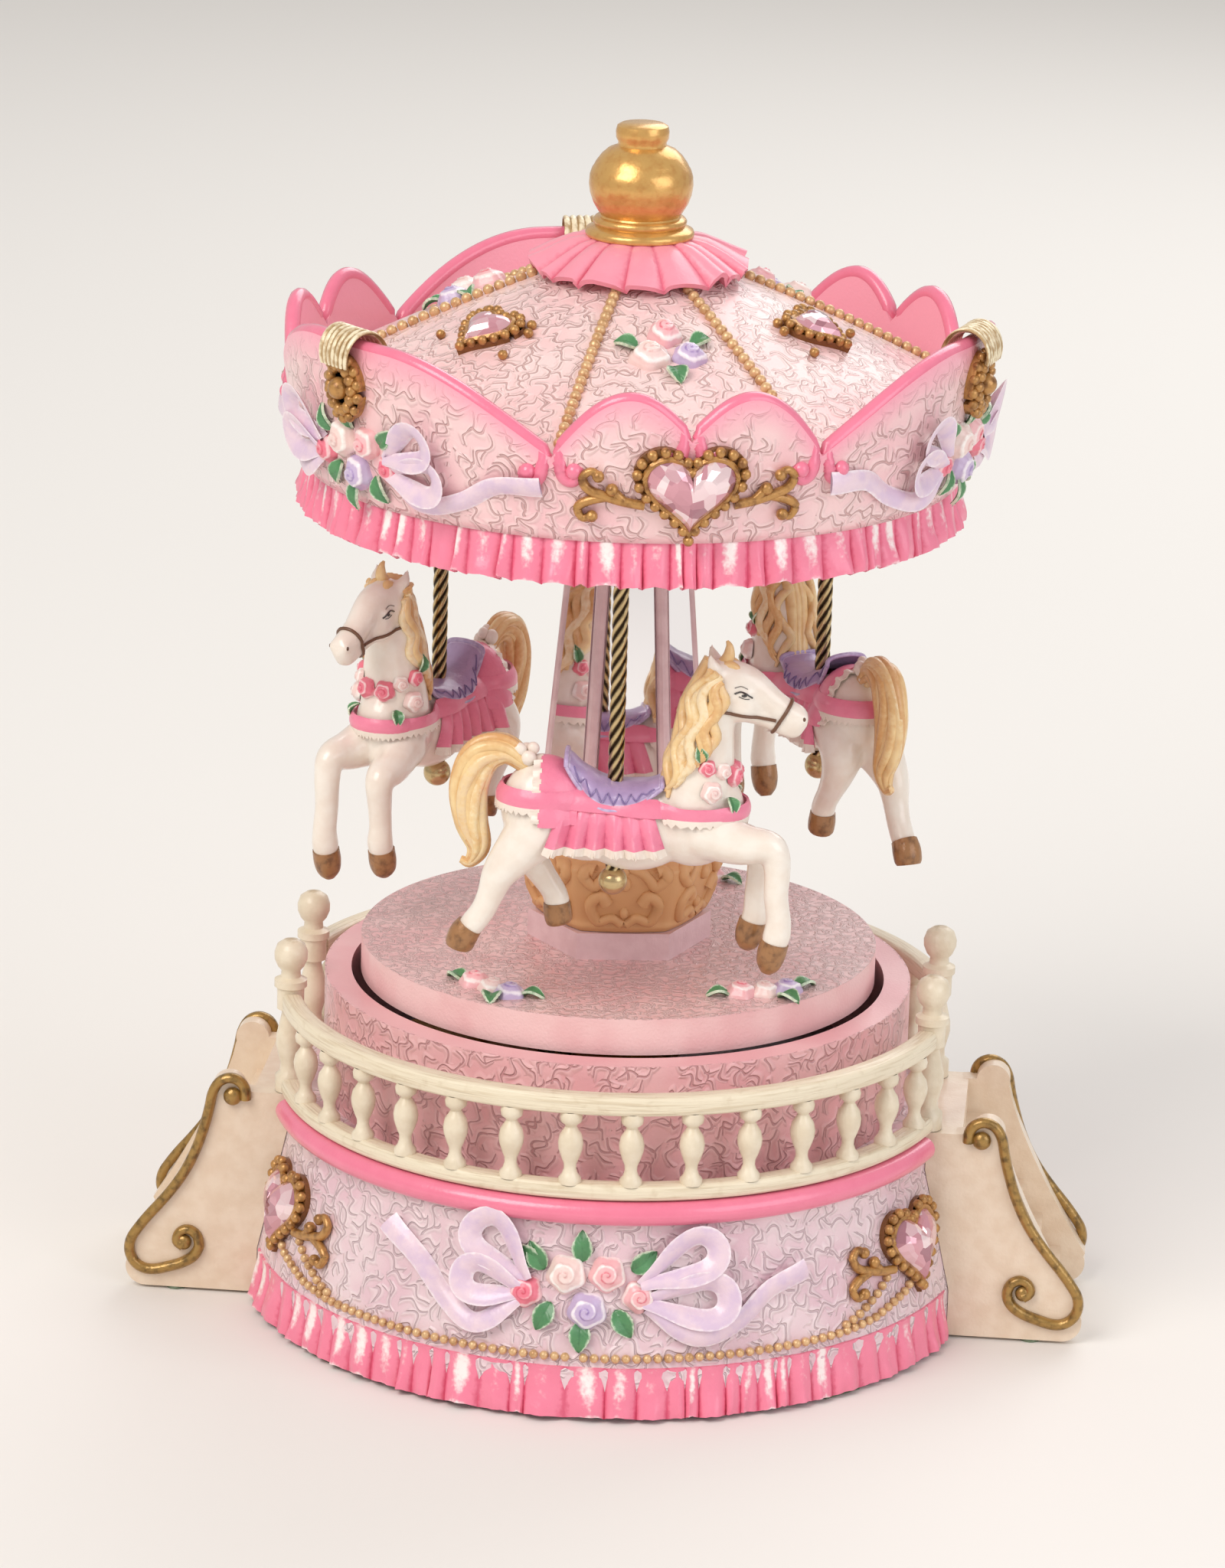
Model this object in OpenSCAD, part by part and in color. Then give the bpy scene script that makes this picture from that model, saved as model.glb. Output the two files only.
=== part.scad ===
// Carousel music box: a cast base with two flights of stairs, a spring-wound
// musical movement inside it, and a turning stage with a mirror column, three
// rising horses and a flared canopy.
// Origin: centre of the underside. +Z up, the stairs lie on +X and -X.

/* [Base shell] */
// Outer radius of the wall at its foot
wall_foot_r = 57; // [55:0.5:60]
// Radius of the strand of beads above the ruffle
bead_r = 0.7; // [0.5:0.1:0.9]
// Outer radius of the wall below the pink rail
wall_top_r = 52.6; // [51.5:0.2:54]
// Height at which the wall starts to lean in
wall_foot_z = 8; // [6:0.5:10]
// Thickness of the cast wall
base_wall = 4; // [3:0.25:5]
// Height of the deck
deck_z = 34.3; // [33.5:0.1:37]
// Thickness of the deck
deck_t = 3.8; // [3:0.1:4.5]
// Inner radius of the ledge that carries the carrier plate
ledge_r = 36; // [34:0.25:37]
// Thickness of the felt under the base
felt_t = 1; // [0.5:0.1:1.5]
// Radius of the pink rail's round section
rail_tube_r = 2; // [1.5:0.1:2.4]

/* [Stage well] */
// Inner radius of the ring round the stage
well_r = 42.3; // [42:0.1:43.5]
// Thickness of the ring
ring_t = 4.2; // [3:0.1:4.6]
// Height of the ring above the deck
ring_h = 19.2; // [16:0.2:22]

/* [Balustrade] */
// Radius of the balustrade's centre line
balustrade_r = 52.1; // [51.8:0.1:52.6]
// Width of the hand rail and the foot rail
rail_w = 3.2; // [2.6:0.1:3.6]
// Height of the foot rail
foot_rail_h = 2.5; // [1.5:0.1:3]
// Height of the hand rail
hand_rail_h = 3.2; // [2:0.1:4]
// Height of the balusters
baluster_h = 11.1; // [8:0.1:14]
// Radius of a baluster at its belly
baluster_r = 1.9; // [1.2:0.1:2.3]
// Number of balusters on each side
balusters = 14; // [8:1:16]
// Angle that the row of balusters is turned by
baluster_turn = 3; // [-3:0.5:3]
// Width of a newel post
post_w = 4.2; // [3:0.1:5]
// Radius of the ball on a newel post
post_ball_r = 2.7; // [2:0.1:3.2]
// Height of a newel post up to its ball
post_h = 20.4; // [19:0.1:24]

/* [Stairs] */
// Distance from the centre to the stringers' toes
stair_reach = 76.4; // [74:0.2:80]
// Distance from the centre to the stringers' top curl
stair_top_x = 60.2; // [59:0.1:62]
// Distance between the middles of two stringers
stair_gauge = 26; // [24:0.25:27]
// Thickness of a stringer
stringer_t = 3.2; // [2:0.1:4]
// Radius of the curl at a stringer's top
stair_curl_r = 2.7; // [2:0.1:3.2]
// Radius of the curl at a stringer's toe
stair_toe_r = 3.2; // [2.4:0.1:4]
// Number of steps
steps = 5; // [3:1:7]
// Width of the gold moulding on a stringer's face
moulding_w = 1.7; // [1:0.1:2.2]
// Thickness of the gold moulding
moulding_t = 0.8; // [0.5:0.1:1.2]

/* [Movement] */
// Height of the bottom cover's underside
cover_z = 9; // [8.5:0.1:9.5]
// Thickness of the bottom cover
cover_t = 2.5; // [2:0.1:3]
// Thickness of the bedplate
bed_t = 2.5; // [2:0.1:3]
// Length of the bedplate
bed_l = 61; // [60:0.5:66]
// Width of the bedplate
bed_w = 45; // [44:0.5:50]
// Module of the gears that drive the stage
drive_m = 0.8; // [0.78:0.01:0.82]
// Thickness of both stage gears
drive_gear_t = 3.2; // [2.5:0.1:4]
// Radius of the spring barrel
barrel_r = 13; // [12.8:0.1:13.2]
// Height of the spring barrel's drum
barrel_h = 8.5; // [8:0.1:9]
// Radius of the barrel's output shaft
shaft_r = 1.6; // [1.4:0.05:2]
// Radius of the pinned cylinder
cylinder_r = 6; // [5:0.1:6.2]
// Length of the pinned cylinder
cylinder_l = 18; // [17:0.5:18]
// Height of a pin on the cylinder
pin_h = 0.45; // [0.3:0.05:0.5]
// Number of teeth on the comb
comb_teeth = 18; // [9:1:18]
// Thickness of the comb
comb_t = 1; // [0.6:0.1:1.4]
// Module of the fine gears
fine_m = 0.5; // [0.49:0.01:0.51]
// Radius of the governor's fan
fan_r = 4.4; // [3:0.1:5]
// Length of the winding key's grip
key_l = 20; // [16:0.5:26]
// Height of the winding key's grip
key_h = 5; // [4:0.25:5.5]
// Radius of the winding key's stem
key_r = 1.5; // [1.2:0.05:1.8]

/* [Stage] */
// Thickness of the carrier plate
carrier_t = 2.5; // [2:0.1:3]
// Radius of the fixed centre post
post_r = 3; // [2.5:0.1:3.4]
// Radius of the stage disc
stage_r = 40.8; // [39:0.1:41.2]
// Thickness of the stage disc
stage_t = 5.8; // [4:0.1:7]
// Radius of the hub's tube
hub_r = 7; // [6:0.1:8]
// Thickness of the hub's flange
flange_t = 3; // [2:0.1:4]
// Radius of the hub's flange
flange_r = 15; // [12:0.25:18]

/* [Column] */
// Height of the column's plinth
plinth_h = 4.3; // [3:0.1:6]
// Corner radius of the plinth
plinth_r = 14.5; // [13:0.1:16]
// Height of the gold bowl
bowl_h = 12; // [9:0.1:14]
// Corner radius of the bowl at its foot
bowl_foot_r = 13.5; // [12:0.1:14.5]
// Corner radius of the bowl at its rim
bowl_rim_r = 16.5; // [15:0.1:18]
// Height of the collar between the bowl and the column
collar_h = 1.6; // [1:0.1:3]
// Height of the column above the collar
column_h = 56.9; // [52:0.1:60]
// Corner radius of the column at its foot
column_foot_r = 13.5; // [12.5:0.1:14]
// Corner radius of the column at its top
column_top_r = 8.7; // [8.2:0.1:10]
// Thickness of the mirrors
mirror_t = 0.7; // [0.5:0.05:0.9]
// Radius of the moulding on the column's edges
stile_r = 1; // [0.8:0.05:1.3]
// Angle of the column's first corner
column_turn = 8; // [0:1:59]

/* [Horses] */
// Angle of the front horse
first_horse = -87; // [-90:1:-84]
// Distance of the poles from the centre
pole_ring_r = 35.3; // [35:0.1:36]
// Radius of a pole
pole_r = 1.25; // [1:0.05:1.5]
// Radius of the head on top of a pole
pole_head_r = 4.2; // [3:0.1:4.4]
// Thickness of the head on top of a pole
pole_head_t = 1.8; // [1:0.1:2]
// Depth of the horse's back below the canopy floor
saddle_drop = 39.3; // [37:0.1:42]
// How much higher the third horse stands at rest
third_rise = 3.7; // [0:0.1:3.75]
// Size of a horse, as a factor on its pattern
horse_k = 1; // [0.94:0.02:1.02]
// Radius of the ball nut under a horse's belly
ball_nut_r = 2.2; // [1.6:0.1:2.6]

/* [Lift cam] */
// Half of the cam's lift
cam_throw = 2.5; // [1:0.1:2.5]
// Angle of the cam's high side
cam_high = 33; // [0:1:359]
// Outer radius of the cam's track
cam_r = 33.6; // [33:0.1:33.7]

/* [Canopy] */
// Thickness of the canopy's floor
floor_t = 2.5; // [2:0.1:3]
// Radius of the crown at its foot
crown_foot_r = 50.8; // [50:0.1:52]
// Radius of the crown at its highest rim
crown_rim_r = 55.3; // [54:0.1:58]
// Thickness of the crown
crown_t = 2.2; // [1.6:0.1:2.6]
// Height of the crown at its outer valleys
crown_low = 12.8; // [12:0.1:14]
// Height of the crown at its big waves
crown_high = 24.8; // [22:0.1:27]
// Height of the crown at its small waves
crown_mid = 22.3; // [20:0.1:24]
// Height of the crown above a heart
crown_notch = 16; // [15.5:0.1:18]
// Angle of the first heart
heart_turn = -76; // [-90:1:-60]
// Height of the canopy's ruffle
ruffle_h = 7; // [5:0.1:8]
// Number of pleats in the canopy's ruffle
canopy_pleats = 60; // [40:1:80]
// Number of pleats in the base's ruffle
base_pleats = 66; // [40:1:80]
// Depth of a pleat
pleat = 0.7; // [0.3:0.05:1]
// Thickness of the roof
roof_t = 2.2; // [1.6:0.1:2.6]
// Radius of the roof at its eaves
roof_r = 51; // [49.5:0.1:51.1]
// Height of the roof from its eaves to its peak
roof_h = 20.5; // [18:0.1:24]
// Radius of the hole at the roof's peak
roof_eye_r = 6; // [5:0.1:7]
// Radius of the cap's ruffle at its hem
cap_r = 17; // [14:0.2:20]
// Height of the cap's ruffle
cap_h = 4.5; // [3.5:0.1:6]
// Number of pleats in the cap
cap_pleats = 20; // [12:1:30]

/* [Finial] */
// Radius of the finial's ball
finial_ball_r = 7.95; // [6:0.05:9]
// Height of the finial
finial_h = 17.5; // [15:0.1:20]
// Radius of the finial's foot
finial_foot_r = 8.4; // [7:0.1:9]
// Radius of the finial's neck
finial_neck_r = 4.1; // [3:0.1:5]

/* [Jewels and flowers] */
// Width of a heart jewel on the canopy and the base
gem_w = 12.4; // [9:0.1:14]
// Width of a heart jewel on the roof
roof_gem_w = 8; // [6:0.1:9]
// Thickness of a jewel
gem_t = 2.4; // [1.6:0.1:3]
// Width of the metal round a jewel
setting_w = 2.2; // [1.6:0.1:3]
// Radius of a cast rose
rose_r = 2.7; // [2:0.1:3.2]
// Radius of a bow's loop
bow_r = 5; // [4:0.1:6]
// Angle of the base's jewels from the stairs
base_gem_turn = 26; // [25:0.5:29]

/* [Fits] */
// Radial clearance of a running shaft
run_fit = 0.05; // [0.02:0.01:0.08]
// Clearance between pieces that are fixed together
fit = 0.1; // [0.05:0.01:0.2]

/* [Hidden] */
$fn = 64;
fine_fn = 24;
cut_fn = 256;
sides = 6;
horses = 3;
hub_teeth = 24;
drive_teeth = 30;

// Heights of the base
rail_z = deck_z - rail_tube_r;
wall_top_z = deck_z - 2 * rail_tube_r - 2.3;
deck_edge_r = wall_top_r - 1.9;
well_top_z = deck_z + ring_h;
hand_rail_z = deck_z + fit + foot_rail_h + baluster_h;
post_angle = asin((stair_gauge / 2 - 0.6) / balustrade_r);
rail_end = post_angle + asin((post_w / 2 + fit) / balustrade_r);
cover_r = wall_foot_r - base_wall - 1;
boss_r = 3.4;
boss_ring_r = ledge_r + 8.5;
ledge_screw_r = ledge_r + 3.1;
case_screw_l = 10;
screw_r = 1.4;
screw_head_r = 2.6;
screw_head_t = 1.6;
felt_pad_r = 4;

carrier_z = deck_z;

// Places in the movement
bed_z = cover_z + cover_t;
bed_top = bed_z + bed_t;
barrel_x = -drive_m * (hub_teeth + drive_teeth) / 2 - fit;
barrel_z = bed_top + fit;
crown_teeth = 40;
pinion_teeth = 10;
crown_m = 0.6;
crown_tooth_r = crown_m * crown_teeth / 2;
crown_tooth_w = 2;
pinion_pitch_r = crown_m * pinion_teeth / 2;
crown_z = barrel_z + barrel_h;
axis_z = crown_z + 1.1 * crown_m + pinion_pitch_r + fit;
bearing_t = 1.8;
arbor_r = 1;
bearing_1_x = barrel_x + barrel_r + 1;
cylinder_x = bearing_1_x + bearing_t + 1.2;
wheel_t = 2;
great_teeth = 28;
governor_pinion_teeth = 10;
great_wheel_x = cylinder_x + cylinder_l + 1;
bearing_2_x = great_wheel_x + wheel_t + 1;
comb_y = -(cylinder_r + pin_h + 0.3);
comb_free_l = 5.8;
comb_l = 15.5;
bearing_half = 3;
cylinder_pins = 54;
governor_y = fine_m * (great_teeth + governor_pinion_teeth) / 2 + 2 * fit;
worm_wheel_teeth = 12;
worm_wheel_r = fine_m * worm_wheel_teeth / 2;
worm_r = 1;
worm_throw = 0.3;
worm_lead = 2 * PI * worm_wheel_r / worm_wheel_teeth;
fan_x = bearing_2_x + 1.6;
fan_y = governor_y + worm_wheel_r + worm_r + 2.5 * fit;
spindle_r = 0.5;
frame_t = 1.1;
frame_x = great_wheel_x - frame_t - 1.1;
frame_l = fan_x + 3 - frame_x;
frame_w = 11;
frame_y = cylinder_r + pin_h + 0.7;
bridge_z = axis_z + worm_wheel_r + 0.6;
fan_z = bridge_z + frame_t + 0.4;
fan_h = carrier_z - 0.5 - fan_z;

// Heights of the stage
post_flange_t = 1;
hub_z = carrier_z + carrier_t + post_flange_t + fit;
stage_z = well_top_z - fit;
plinth_z = stage_z + stage_t;
bowl_z = plinth_z + plinth_h;
collar_z = bowl_z + bowl_h;
column_z = collar_z + collar_h;
floor_z = column_z + column_h;
bore_r = post_r + 1.6;

// Heights of the canopy
crown_foot_z = floor_z + floor_t;
eaves_z = crown_foot_z + crown_low - 0.5;
peak_z = eaves_z + roof_h;
cap_top_z = peak_z + 2.4;
finial_z = cap_top_z + 0.2;
track_w = 6.6;
lift_top_z = crown_foot_z + 6.9;
head_z = lift_top_z + 0.2 + cam_throw / 2;
saddle_z = floor_z - saddle_drop;
belly_z = saddle_z - 12.8 * horse_k;
bush_t = 1.3;

// Radius of the base wall's outside at a height
function wall_r(z) = lookup(z, [[wall_foot_z, wall_foot_r], [wall_top_z, wall_top_r]]);

// Heights above its foot at which the crown's outside changes its slope
crown_bends = [0, 0.17 * crown_high, 0.62 * crown_high, crown_high];

// Radius of the crown's outside at a height above its foot
function crown_r(h) = lookup(h, [for (i = [0 : 3])
    [crown_bends[i], crown_foot_r + [0, 0.38, 0.74, 1][i] * (crown_rim_r - crown_foot_r)]]);

// Angle from the nearest heart, from 0 to 60
function off_heart(a) = abs(((a - heart_turn + 60) % 120 + 120) % 120 - 60);

// Height of the crown's rim above its foot at an angle
function rim_h(a) = let (t = off_heart(a))
    t < 9.5 ? crown_notch + (crown_mid - crown_notch) * sin(90 * t / 9.5)
    : t < 22 ? crown_low + (crown_mid - crown_low) * cos(90 * (t - 9.5) / 12.5)
    : crown_low + (crown_high - crown_low) * sin(min(90, 90 * (t - 22) / 30));

// Radius and height of a point on the roof, at a share of the way down from its peak
function roof_point(s) = [
    roof_eye_r + (roof_r - roof_eye_r) * s,
    peak_z - roof_h * (0.82 * s + 0.18 * s * s)];

// Slope of the roof at a share of the way down
function roof_slope(s) = atan(roof_h * (0.82 + 0.36 * s) / (roof_r - roof_eye_r));

// Outline of a spur gear with straight-sided teeth
function gear_points(teeth, m, play) = [
    for (i = [0 : teeth - 1], p = [[-0.37, -1.05], [-0.17, 0.85], [0.17, 0.85], [0.37, -1.05]])
        let (r = m * teeth / 2 + m * p[1], a = (i + p[0] * (1 - play)) * 360 / teeth)
            [r * cos(a), r * sin(a)]];

// Closed band through a list of rings that each hold the same number of points
module band(rings) {
    n = len(rings);
    m = len(rings[0]);
    polyhedron(
        points = [for (ring = rings, p = ring) p],
        faces = [for (i = [0 : n - 1], j = [0 : m - 1])
            let (a = i * m, b = ((i + 1) % n) * m, k = (j + 1) % m)
                each [[a + j, a + k, b + k], [a + j, b + k, b + j]]]);
}

// Pleated band round the axis from one radius and height to another
module pleated(pleats, top_r, top_z, foot_r, foot_z, t, depth, hem) {
    band([for (i = [0 : 4 * pleats - 1])
        let (a = 90 * i / pleats, wave = [0, 1, 0, -1][i % 4])
            [for (p = [
                [top_r + t, top_z, 0.35], [foot_r + t, foot_z + hem * wave, 1],
                [foot_r, foot_z + hem * wave, 0.4], [top_r, top_z, 0]])
                let (r = p[0] + depth * wave * p[2])
                    [r * cos(a), r * sin(a), p[1]]]]);
}

// Turns and moves children that are drawn facing +X onto an upright round wall
module on_wall(a, r, z, lean = 0) {
    rotate([0, 0, a])
        translate([r, 0, z])
            rotate([0, lean, 0])
                children();
}

// ---------------------------------------------------------------- base

module wall_solid(grow) {
    rotate_extrude()
        polygon([
            [0, 0], [wall_foot_r + grow, 0], [wall_foot_r + grow, wall_foot_z],
            [wall_top_r + grow, wall_top_z], [wall_top_r + grow, deck_z - 2 * rail_tube_r],
            [deck_edge_r + grow, deck_z - 2 * rail_tube_r + grow], [deck_edge_r + grow, deck_z],
            [0, deck_z]]);
}

// The cone that the base wall's outside lies on, without its foot and its shoulder
module wall_cone(grow) {
    slope = (wall_foot_r - wall_top_r) / (wall_top_z - wall_foot_z);
    foot_r = wall_foot_r + wall_foot_z * slope + grow;
    cylinder(r1 = foot_r, r2 = foot_r - deck_z * slope, h = deck_z, $fn = cut_fn);
}

module base_shell() color("#d9a3ae")
    difference() {
        union() {
            rotate_extrude()
                polygon([
                    [wall_foot_r, felt_t], [wall_foot_r, wall_foot_z],
                    [wall_top_r, wall_top_z], [wall_top_r, deck_z - 2 * rail_tube_r],
                    [deck_edge_r, deck_z - 2 * rail_tube_r], [deck_edge_r, deck_z],
                    [ledge_r, deck_z], [ledge_r, deck_z - deck_t],
                    [wall_top_r - base_wall, deck_z - deck_t],
                    [wall_foot_r - base_wall, wall_foot_z], [wall_foot_r - base_wall, felt_t]]);
            for (i = [0 : 3])
                rotate([0, 0, 45 + 90 * i])
                    translate([boss_ring_r, 0, bed_z])
                        cylinder(r = boss_r, h = deck_z - deck_t - bed_z + 0.5);
        }
        for (i = [0 : 3])
            rotate([0, 0, 45 + 90 * i])
                translate([boss_ring_r, 0, bed_z - 1])
                    cylinder(r = screw_r + fit / 2, h = case_screw_l + 1, $fn = fine_fn);
        for (i = [0 : 2])
            rotate([0, 0, 90 + 120 * i])
                translate([ledge_screw_r, 0, deck_z - deck_t - 1])
                    cylinder(r = screw_r + fit / 2, h = deck_t + 2, $fn = fine_fn);
    }

module well_ring() color("#d99aa6")
    rotate_extrude()
        translate([well_r, deck_z])
            square([ring_t, ring_h]);

module pink_rail() color("#f0708f")
    for (side = [0, 180])
        rotate([0, 0, side])
            rotate([0, 0, -90 - rail_half()])
                rotate_extrude(angle = 2 * rail_half())
                    translate([deck_edge_r + rail_tube_r + 2 * fit, rail_z])
                        circle(r = rail_tube_r - fit, $fn = 32);

// Half of the angle that a length of pink rail covers, between two stringers
function rail_half() = 90 - asin((stair_gauge / 2 + stringer_t / 2 + moulding_t + 0.3) / deck_edge_r);

// Half of the angle that the ruffle and the beads cover, between two stringers
function skirt_half() = 90 - asin((stair_gauge / 2 + stringer_t / 2 + moulding_t + 0.6) / wall_foot_r);

// Pleated band that covers a part of the circle only
module pleated_arc(pleats, top_r, top_z, foot_r, foot_z, t, depth, half) {
    n = 4 * round(pleats * half / 180);
    sections = [for (i = [0 : n])
        let (a = -90 - half + 2 * half * i / n, wave = [0, 1, 0, -1][i % 4])
            [for (p = [
                [top_r + t, top_z, 0.35], [foot_r + t, foot_z, 1], [foot_r, foot_z, 0], [top_r, top_z, 0]])
                let (r = p[0] + depth * wave * p[2])
                    [r * cos(a), r * sin(a), p[1]]]];
    m = len(sections[0]);
    polyhedron(
        points = [for (s = sections, p = s) p],
        faces = concat(
            [for (i = [0 : n - 1], j = [0 : m - 1])
                let (a = i * m, b = (i + 1) * m, k = (j + 1) % m)
                    each [[a + j, a + k, b + k], [a + j, b + k, b + j]]],
            [[for (j = [m - 1 : -1 : 0]) j], [for (j = [0 : m - 1]) n * m + j]]));
}

module base_ruffle() color("#f07f9c")
    for (side = [0, 180])
        rotate([0, 0, side])
            pleated_arc(base_pleats, wall_foot_r + 2 * fit, wall_foot_z, wall_foot_r + 2 * fit,
                0.6 * felt_t, 1.2, pleat, skirt_half());

module base_beads() color("#c9a15c")
    for (side = [0, 180])
        rotate([0, 0, side - 90 - skirt_half()])
            rotate_extrude(angle = 2 * skirt_half())
                translate([wall_r(bead_z) + (bead_r + bead_gap) / cos(gem_lean), bead_z])
                    circle(r = bead_r, $fn = 16);

module rail_arc(z, h) {
    rotate([0, 0, -180 + rail_end])
        rotate_extrude(angle = 180 - 2 * rail_end)
            translate([balustrade_r - rail_w / 2, z])
                square([rail_w, h]);
}

module baluster() {
    k = baluster_h + 1;
    translate([0, 0, -0.5])
        rotate_extrude($fn = 20)
            polygon([
                [0, 0], [0.9 * baluster_r, 0], [0.9 * baluster_r, 0.12 * k], [0.5 * baluster_r, 0.17 * k],
                [0.85 * baluster_r, 0.28 * k], [baluster_r, 0.4 * k], [0.8 * baluster_r, 0.55 * k],
                [0.5 * baluster_r, 0.72 * k], [0.5 * baluster_r, 0.78 * k], [0.85 * baluster_r, 0.84 * k],
                [0.85 * baluster_r, k], [0, k]]);
}

module balustrade() {
    span = 180 - 2 * post_angle;
    rail_arc(deck_z + fit, foot_rail_h);
    rail_arc(hand_rail_z, hand_rail_h);
    for (i = [1 : balusters])
        rotate([0, 0, -180 + post_angle + baluster_turn + span * i / (balusters + 1)])
            translate([balustrade_r, 0, deck_z + fit + foot_rail_h])
                baluster();
}

module front_balustrade() color("#e0d5bf") balustrade();
module rear_balustrade() color("#e0d5bf") rotate([0, 0, 180]) balustrade();

module newel_posts() color("#e6dcc8")
    for (side = [0, 180], end = [-1, 1])
        rotate([0, 0, side + end * post_angle])
            translate([balustrade_r, 0, deck_z + fit]) {
                translate([-post_w / 2, -post_w / 2, 0])
                    cube([post_w, post_w, post_h - 3]);
                translate([0, 0, post_h - 3])
                    cylinder(r = 0.62 * post_w, h = 1.2, $fn = 32);
                translate([0, 0, post_h - 2])
                    cylinder(r = 0.42 * post_w, h = 2, $fn = 32);
                translate([0, 0, post_h + 0.8 * post_ball_r])
                    sphere(r = post_ball_r, $fn = 32);
            }

// Side view of the stringer's front edge, from the toe up to the top curl
function stair_curve(inset) = [for (i = [0 : 12])
    let (s = i / 12, x0 = stair_top_x + stair_curl_r, x1 = stair_reach)
        [x1 - inset - (x1 - x0) * (1 - pow(1 - s, 1.3)), stair_toe_r + 2.3
            + (deck_z - stair_curl_r - stair_toe_r - 0.6) * s]];

module stringer_outline() {
    polygon(concat(
        [[deck_edge_r - 6, felt_t / 2], [stair_reach - stair_toe_r, felt_t / 2]],
        stair_curve(0),
        [[stair_top_x, deck_z + 0.4], [stair_top_x - 5, deck_z], [deck_edge_r - 6, deck_z]]));
    translate([stair_top_x, deck_z - 0.1])
        circle(r = stair_curl_r, $fn = 32);
    translate([stair_reach - stair_toe_r, stair_toe_r + felt_t / 2])
        circle(r = stair_toe_r, $fn = 32);
}

module steps_outline() {
    rise = (deck_z - felt_t) / (steps + 1);
    run = (stair_reach - 4 - stair_top_x + 4) / steps;
    polygon(concat(
        [[deck_edge_r - 6, felt_t / 2], [stair_reach - 4, felt_t / 2]],
        [for (i = [0 : steps - 1], top = [0, 1])
            [stair_reach - 4 - run * i, felt_t + rise * (i + top)]],
        [[stair_reach - 4 - run * steps, felt_t + rise * steps],
         [stair_reach - 4 - run * steps, deck_z], [deck_edge_r - 6, deck_z]]));
}

module stairs() {
    difference() {
        union() {
            for (side = [-1, 1])
                translate([0, side * stair_gauge / 2 + stringer_t / 2, 0])
                    rotate([90, 0, 0])
                        linear_extrude(stringer_t)
                            stringer_outline();
            translate([0, stair_gauge / 2, 0])
                rotate([90, 0, 0])
                    linear_extrude(stair_gauge)
                        steps_outline();
        }
        wall_solid(fit);
    }
}

module stairs_right() color("#e2cba6") stairs();
module stairs_left() color("#e2cba6") mirror([1, 0, 0]) stairs();

module scroll_outline() {
    difference() {
        polygon(concat(stair_curve(0), [for (i = [12 : -1 : 0]) stair_curve(moulding_w)[i]]));
        translate([stair_top_x, deck_z - 0.1])
            circle(r = 0.5, $fn = fine_fn);
    }
    for (curl = [
        [stair_top_x, deck_z - 0.1, stair_curl_r],
        [stair_reach - stair_toe_r - 5.4, stair_toe_r + 3.6, stair_toe_r - 0.2]])
        translate([curl[0], curl[1]])
            difference() {
                circle(r = curl[2], $fn = 32);
                circle(r = curl[2] - moulding_w, $fn = fine_fn);
            }
    translate([stair_reach - stair_toe_r - 6, felt_t / 2 + 0.8])
        square([7, moulding_w]);
}

module stair_scrolls() color("#9a6a3a")
    for (end = [0, 1], side = [-1, 1])
        mirror([end, 0, 0])
            translate([0, side * (stair_gauge / 2 + stringer_t / 2) + (side > 0 ? moulding_t : 0), 0])
                rotate([90, 0, 0])
                    linear_extrude(moulding_t)
                        scroll_outline();

// ---------------------------------------------------------------- jewels

module heart_2d(w) {
    r = 0.27 * w;
    for (side = [-1, 1])
        translate([side * 0.23 * w, 0.16 * w])
            circle(r = r, $fn = 32);
    polygon([
        [-0.44 * w, -0.01 * w], [0, -0.46 * w], [0.44 * w, -0.01 * w], [0.23 * w, 0.16 * w + r],
        [0, 0.16 * w], [-0.23 * w, 0.16 * w + r]]);
}

// Stands a flat drawing up so that it faces +X
module facing_x() {
    rotate([90, 0, 90])
        children();
}

module gem(w) {
    facing_x()
        linear_extrude(gem_t)
            heart_2d(w);
}

// The metal round a jewel, with a curl on each side that arms names
module gem_setting(w, arms) {
    facing_x()
        difference() {
            translate([0, 0, -1.5])
                linear_extrude(1.5 + 0.7 * gem_t)
                    union() {
                        heart_2d(w + 2 * setting_w);
                        for (side = arms)
                            translate([side * (w / 2 + setting_w + 0.6), -0.5])
                                difference() {
                                    circle(r = 2.2, $fn = 32);
                                    circle(r = 1, $fn = fine_fn);
                                }
                    }
            linear_extrude(gem_t + 1)
                heart_2d(w + 2 * fit);
        }
}

gem_z = wall_foot_z + 10.5;
gem_stand = 1.2;
rose_stand = 0.8;
// Height of the bead strand, and the gap that keeps it clear of the wall
bead_z = wall_foot_z + 1.6;
bead_gap = 0.1;
gem_lean = atan((wall_foot_r - wall_top_r) / (wall_top_z - wall_foot_z));

module on_base_gems(end) {
    for (side = [0, 180])
        on_wall(side - 90 + end * (90 - base_gem_turn), wall_r(gem_z) + gem_stand, gem_z, -gem_lean)
            children();
}

module base_gem_settings() color("#c08a4a")
    difference() {
        for (end = [-1, 1])
            on_base_gems(end) gem_setting(gem_w, [-end]);
        wall_cone(fit);
    }

module base_gems() color("#f2b8c6")
    for (end = [-1, 1])
        on_base_gems(end) gem(gem_w);

heart_h = 8.1;
heart_lean = 10;

module crown_solid(grow) {
    rotate_extrude($fn = cut_fn)
        polygon(concat(
            [[0, crown_foot_z - 1], [crown_r(0) + grow, crown_foot_z - 1]],
            [for (h = crown_bends) [crown_r(h) + grow, crown_foot_z + h]],
            [[0, crown_foot_z + crown_high]]));
}

module on_crown_hearts() {
    for (i = [0 : 2])
        on_wall(heart_turn + 120 * i, crown_r(heart_h) + gem_stand, crown_foot_z + heart_h, heart_lean)
            children();
}

// Shares of the way down the roof at which its flowers and jewels lie
roof_spot = 0.5;

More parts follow.
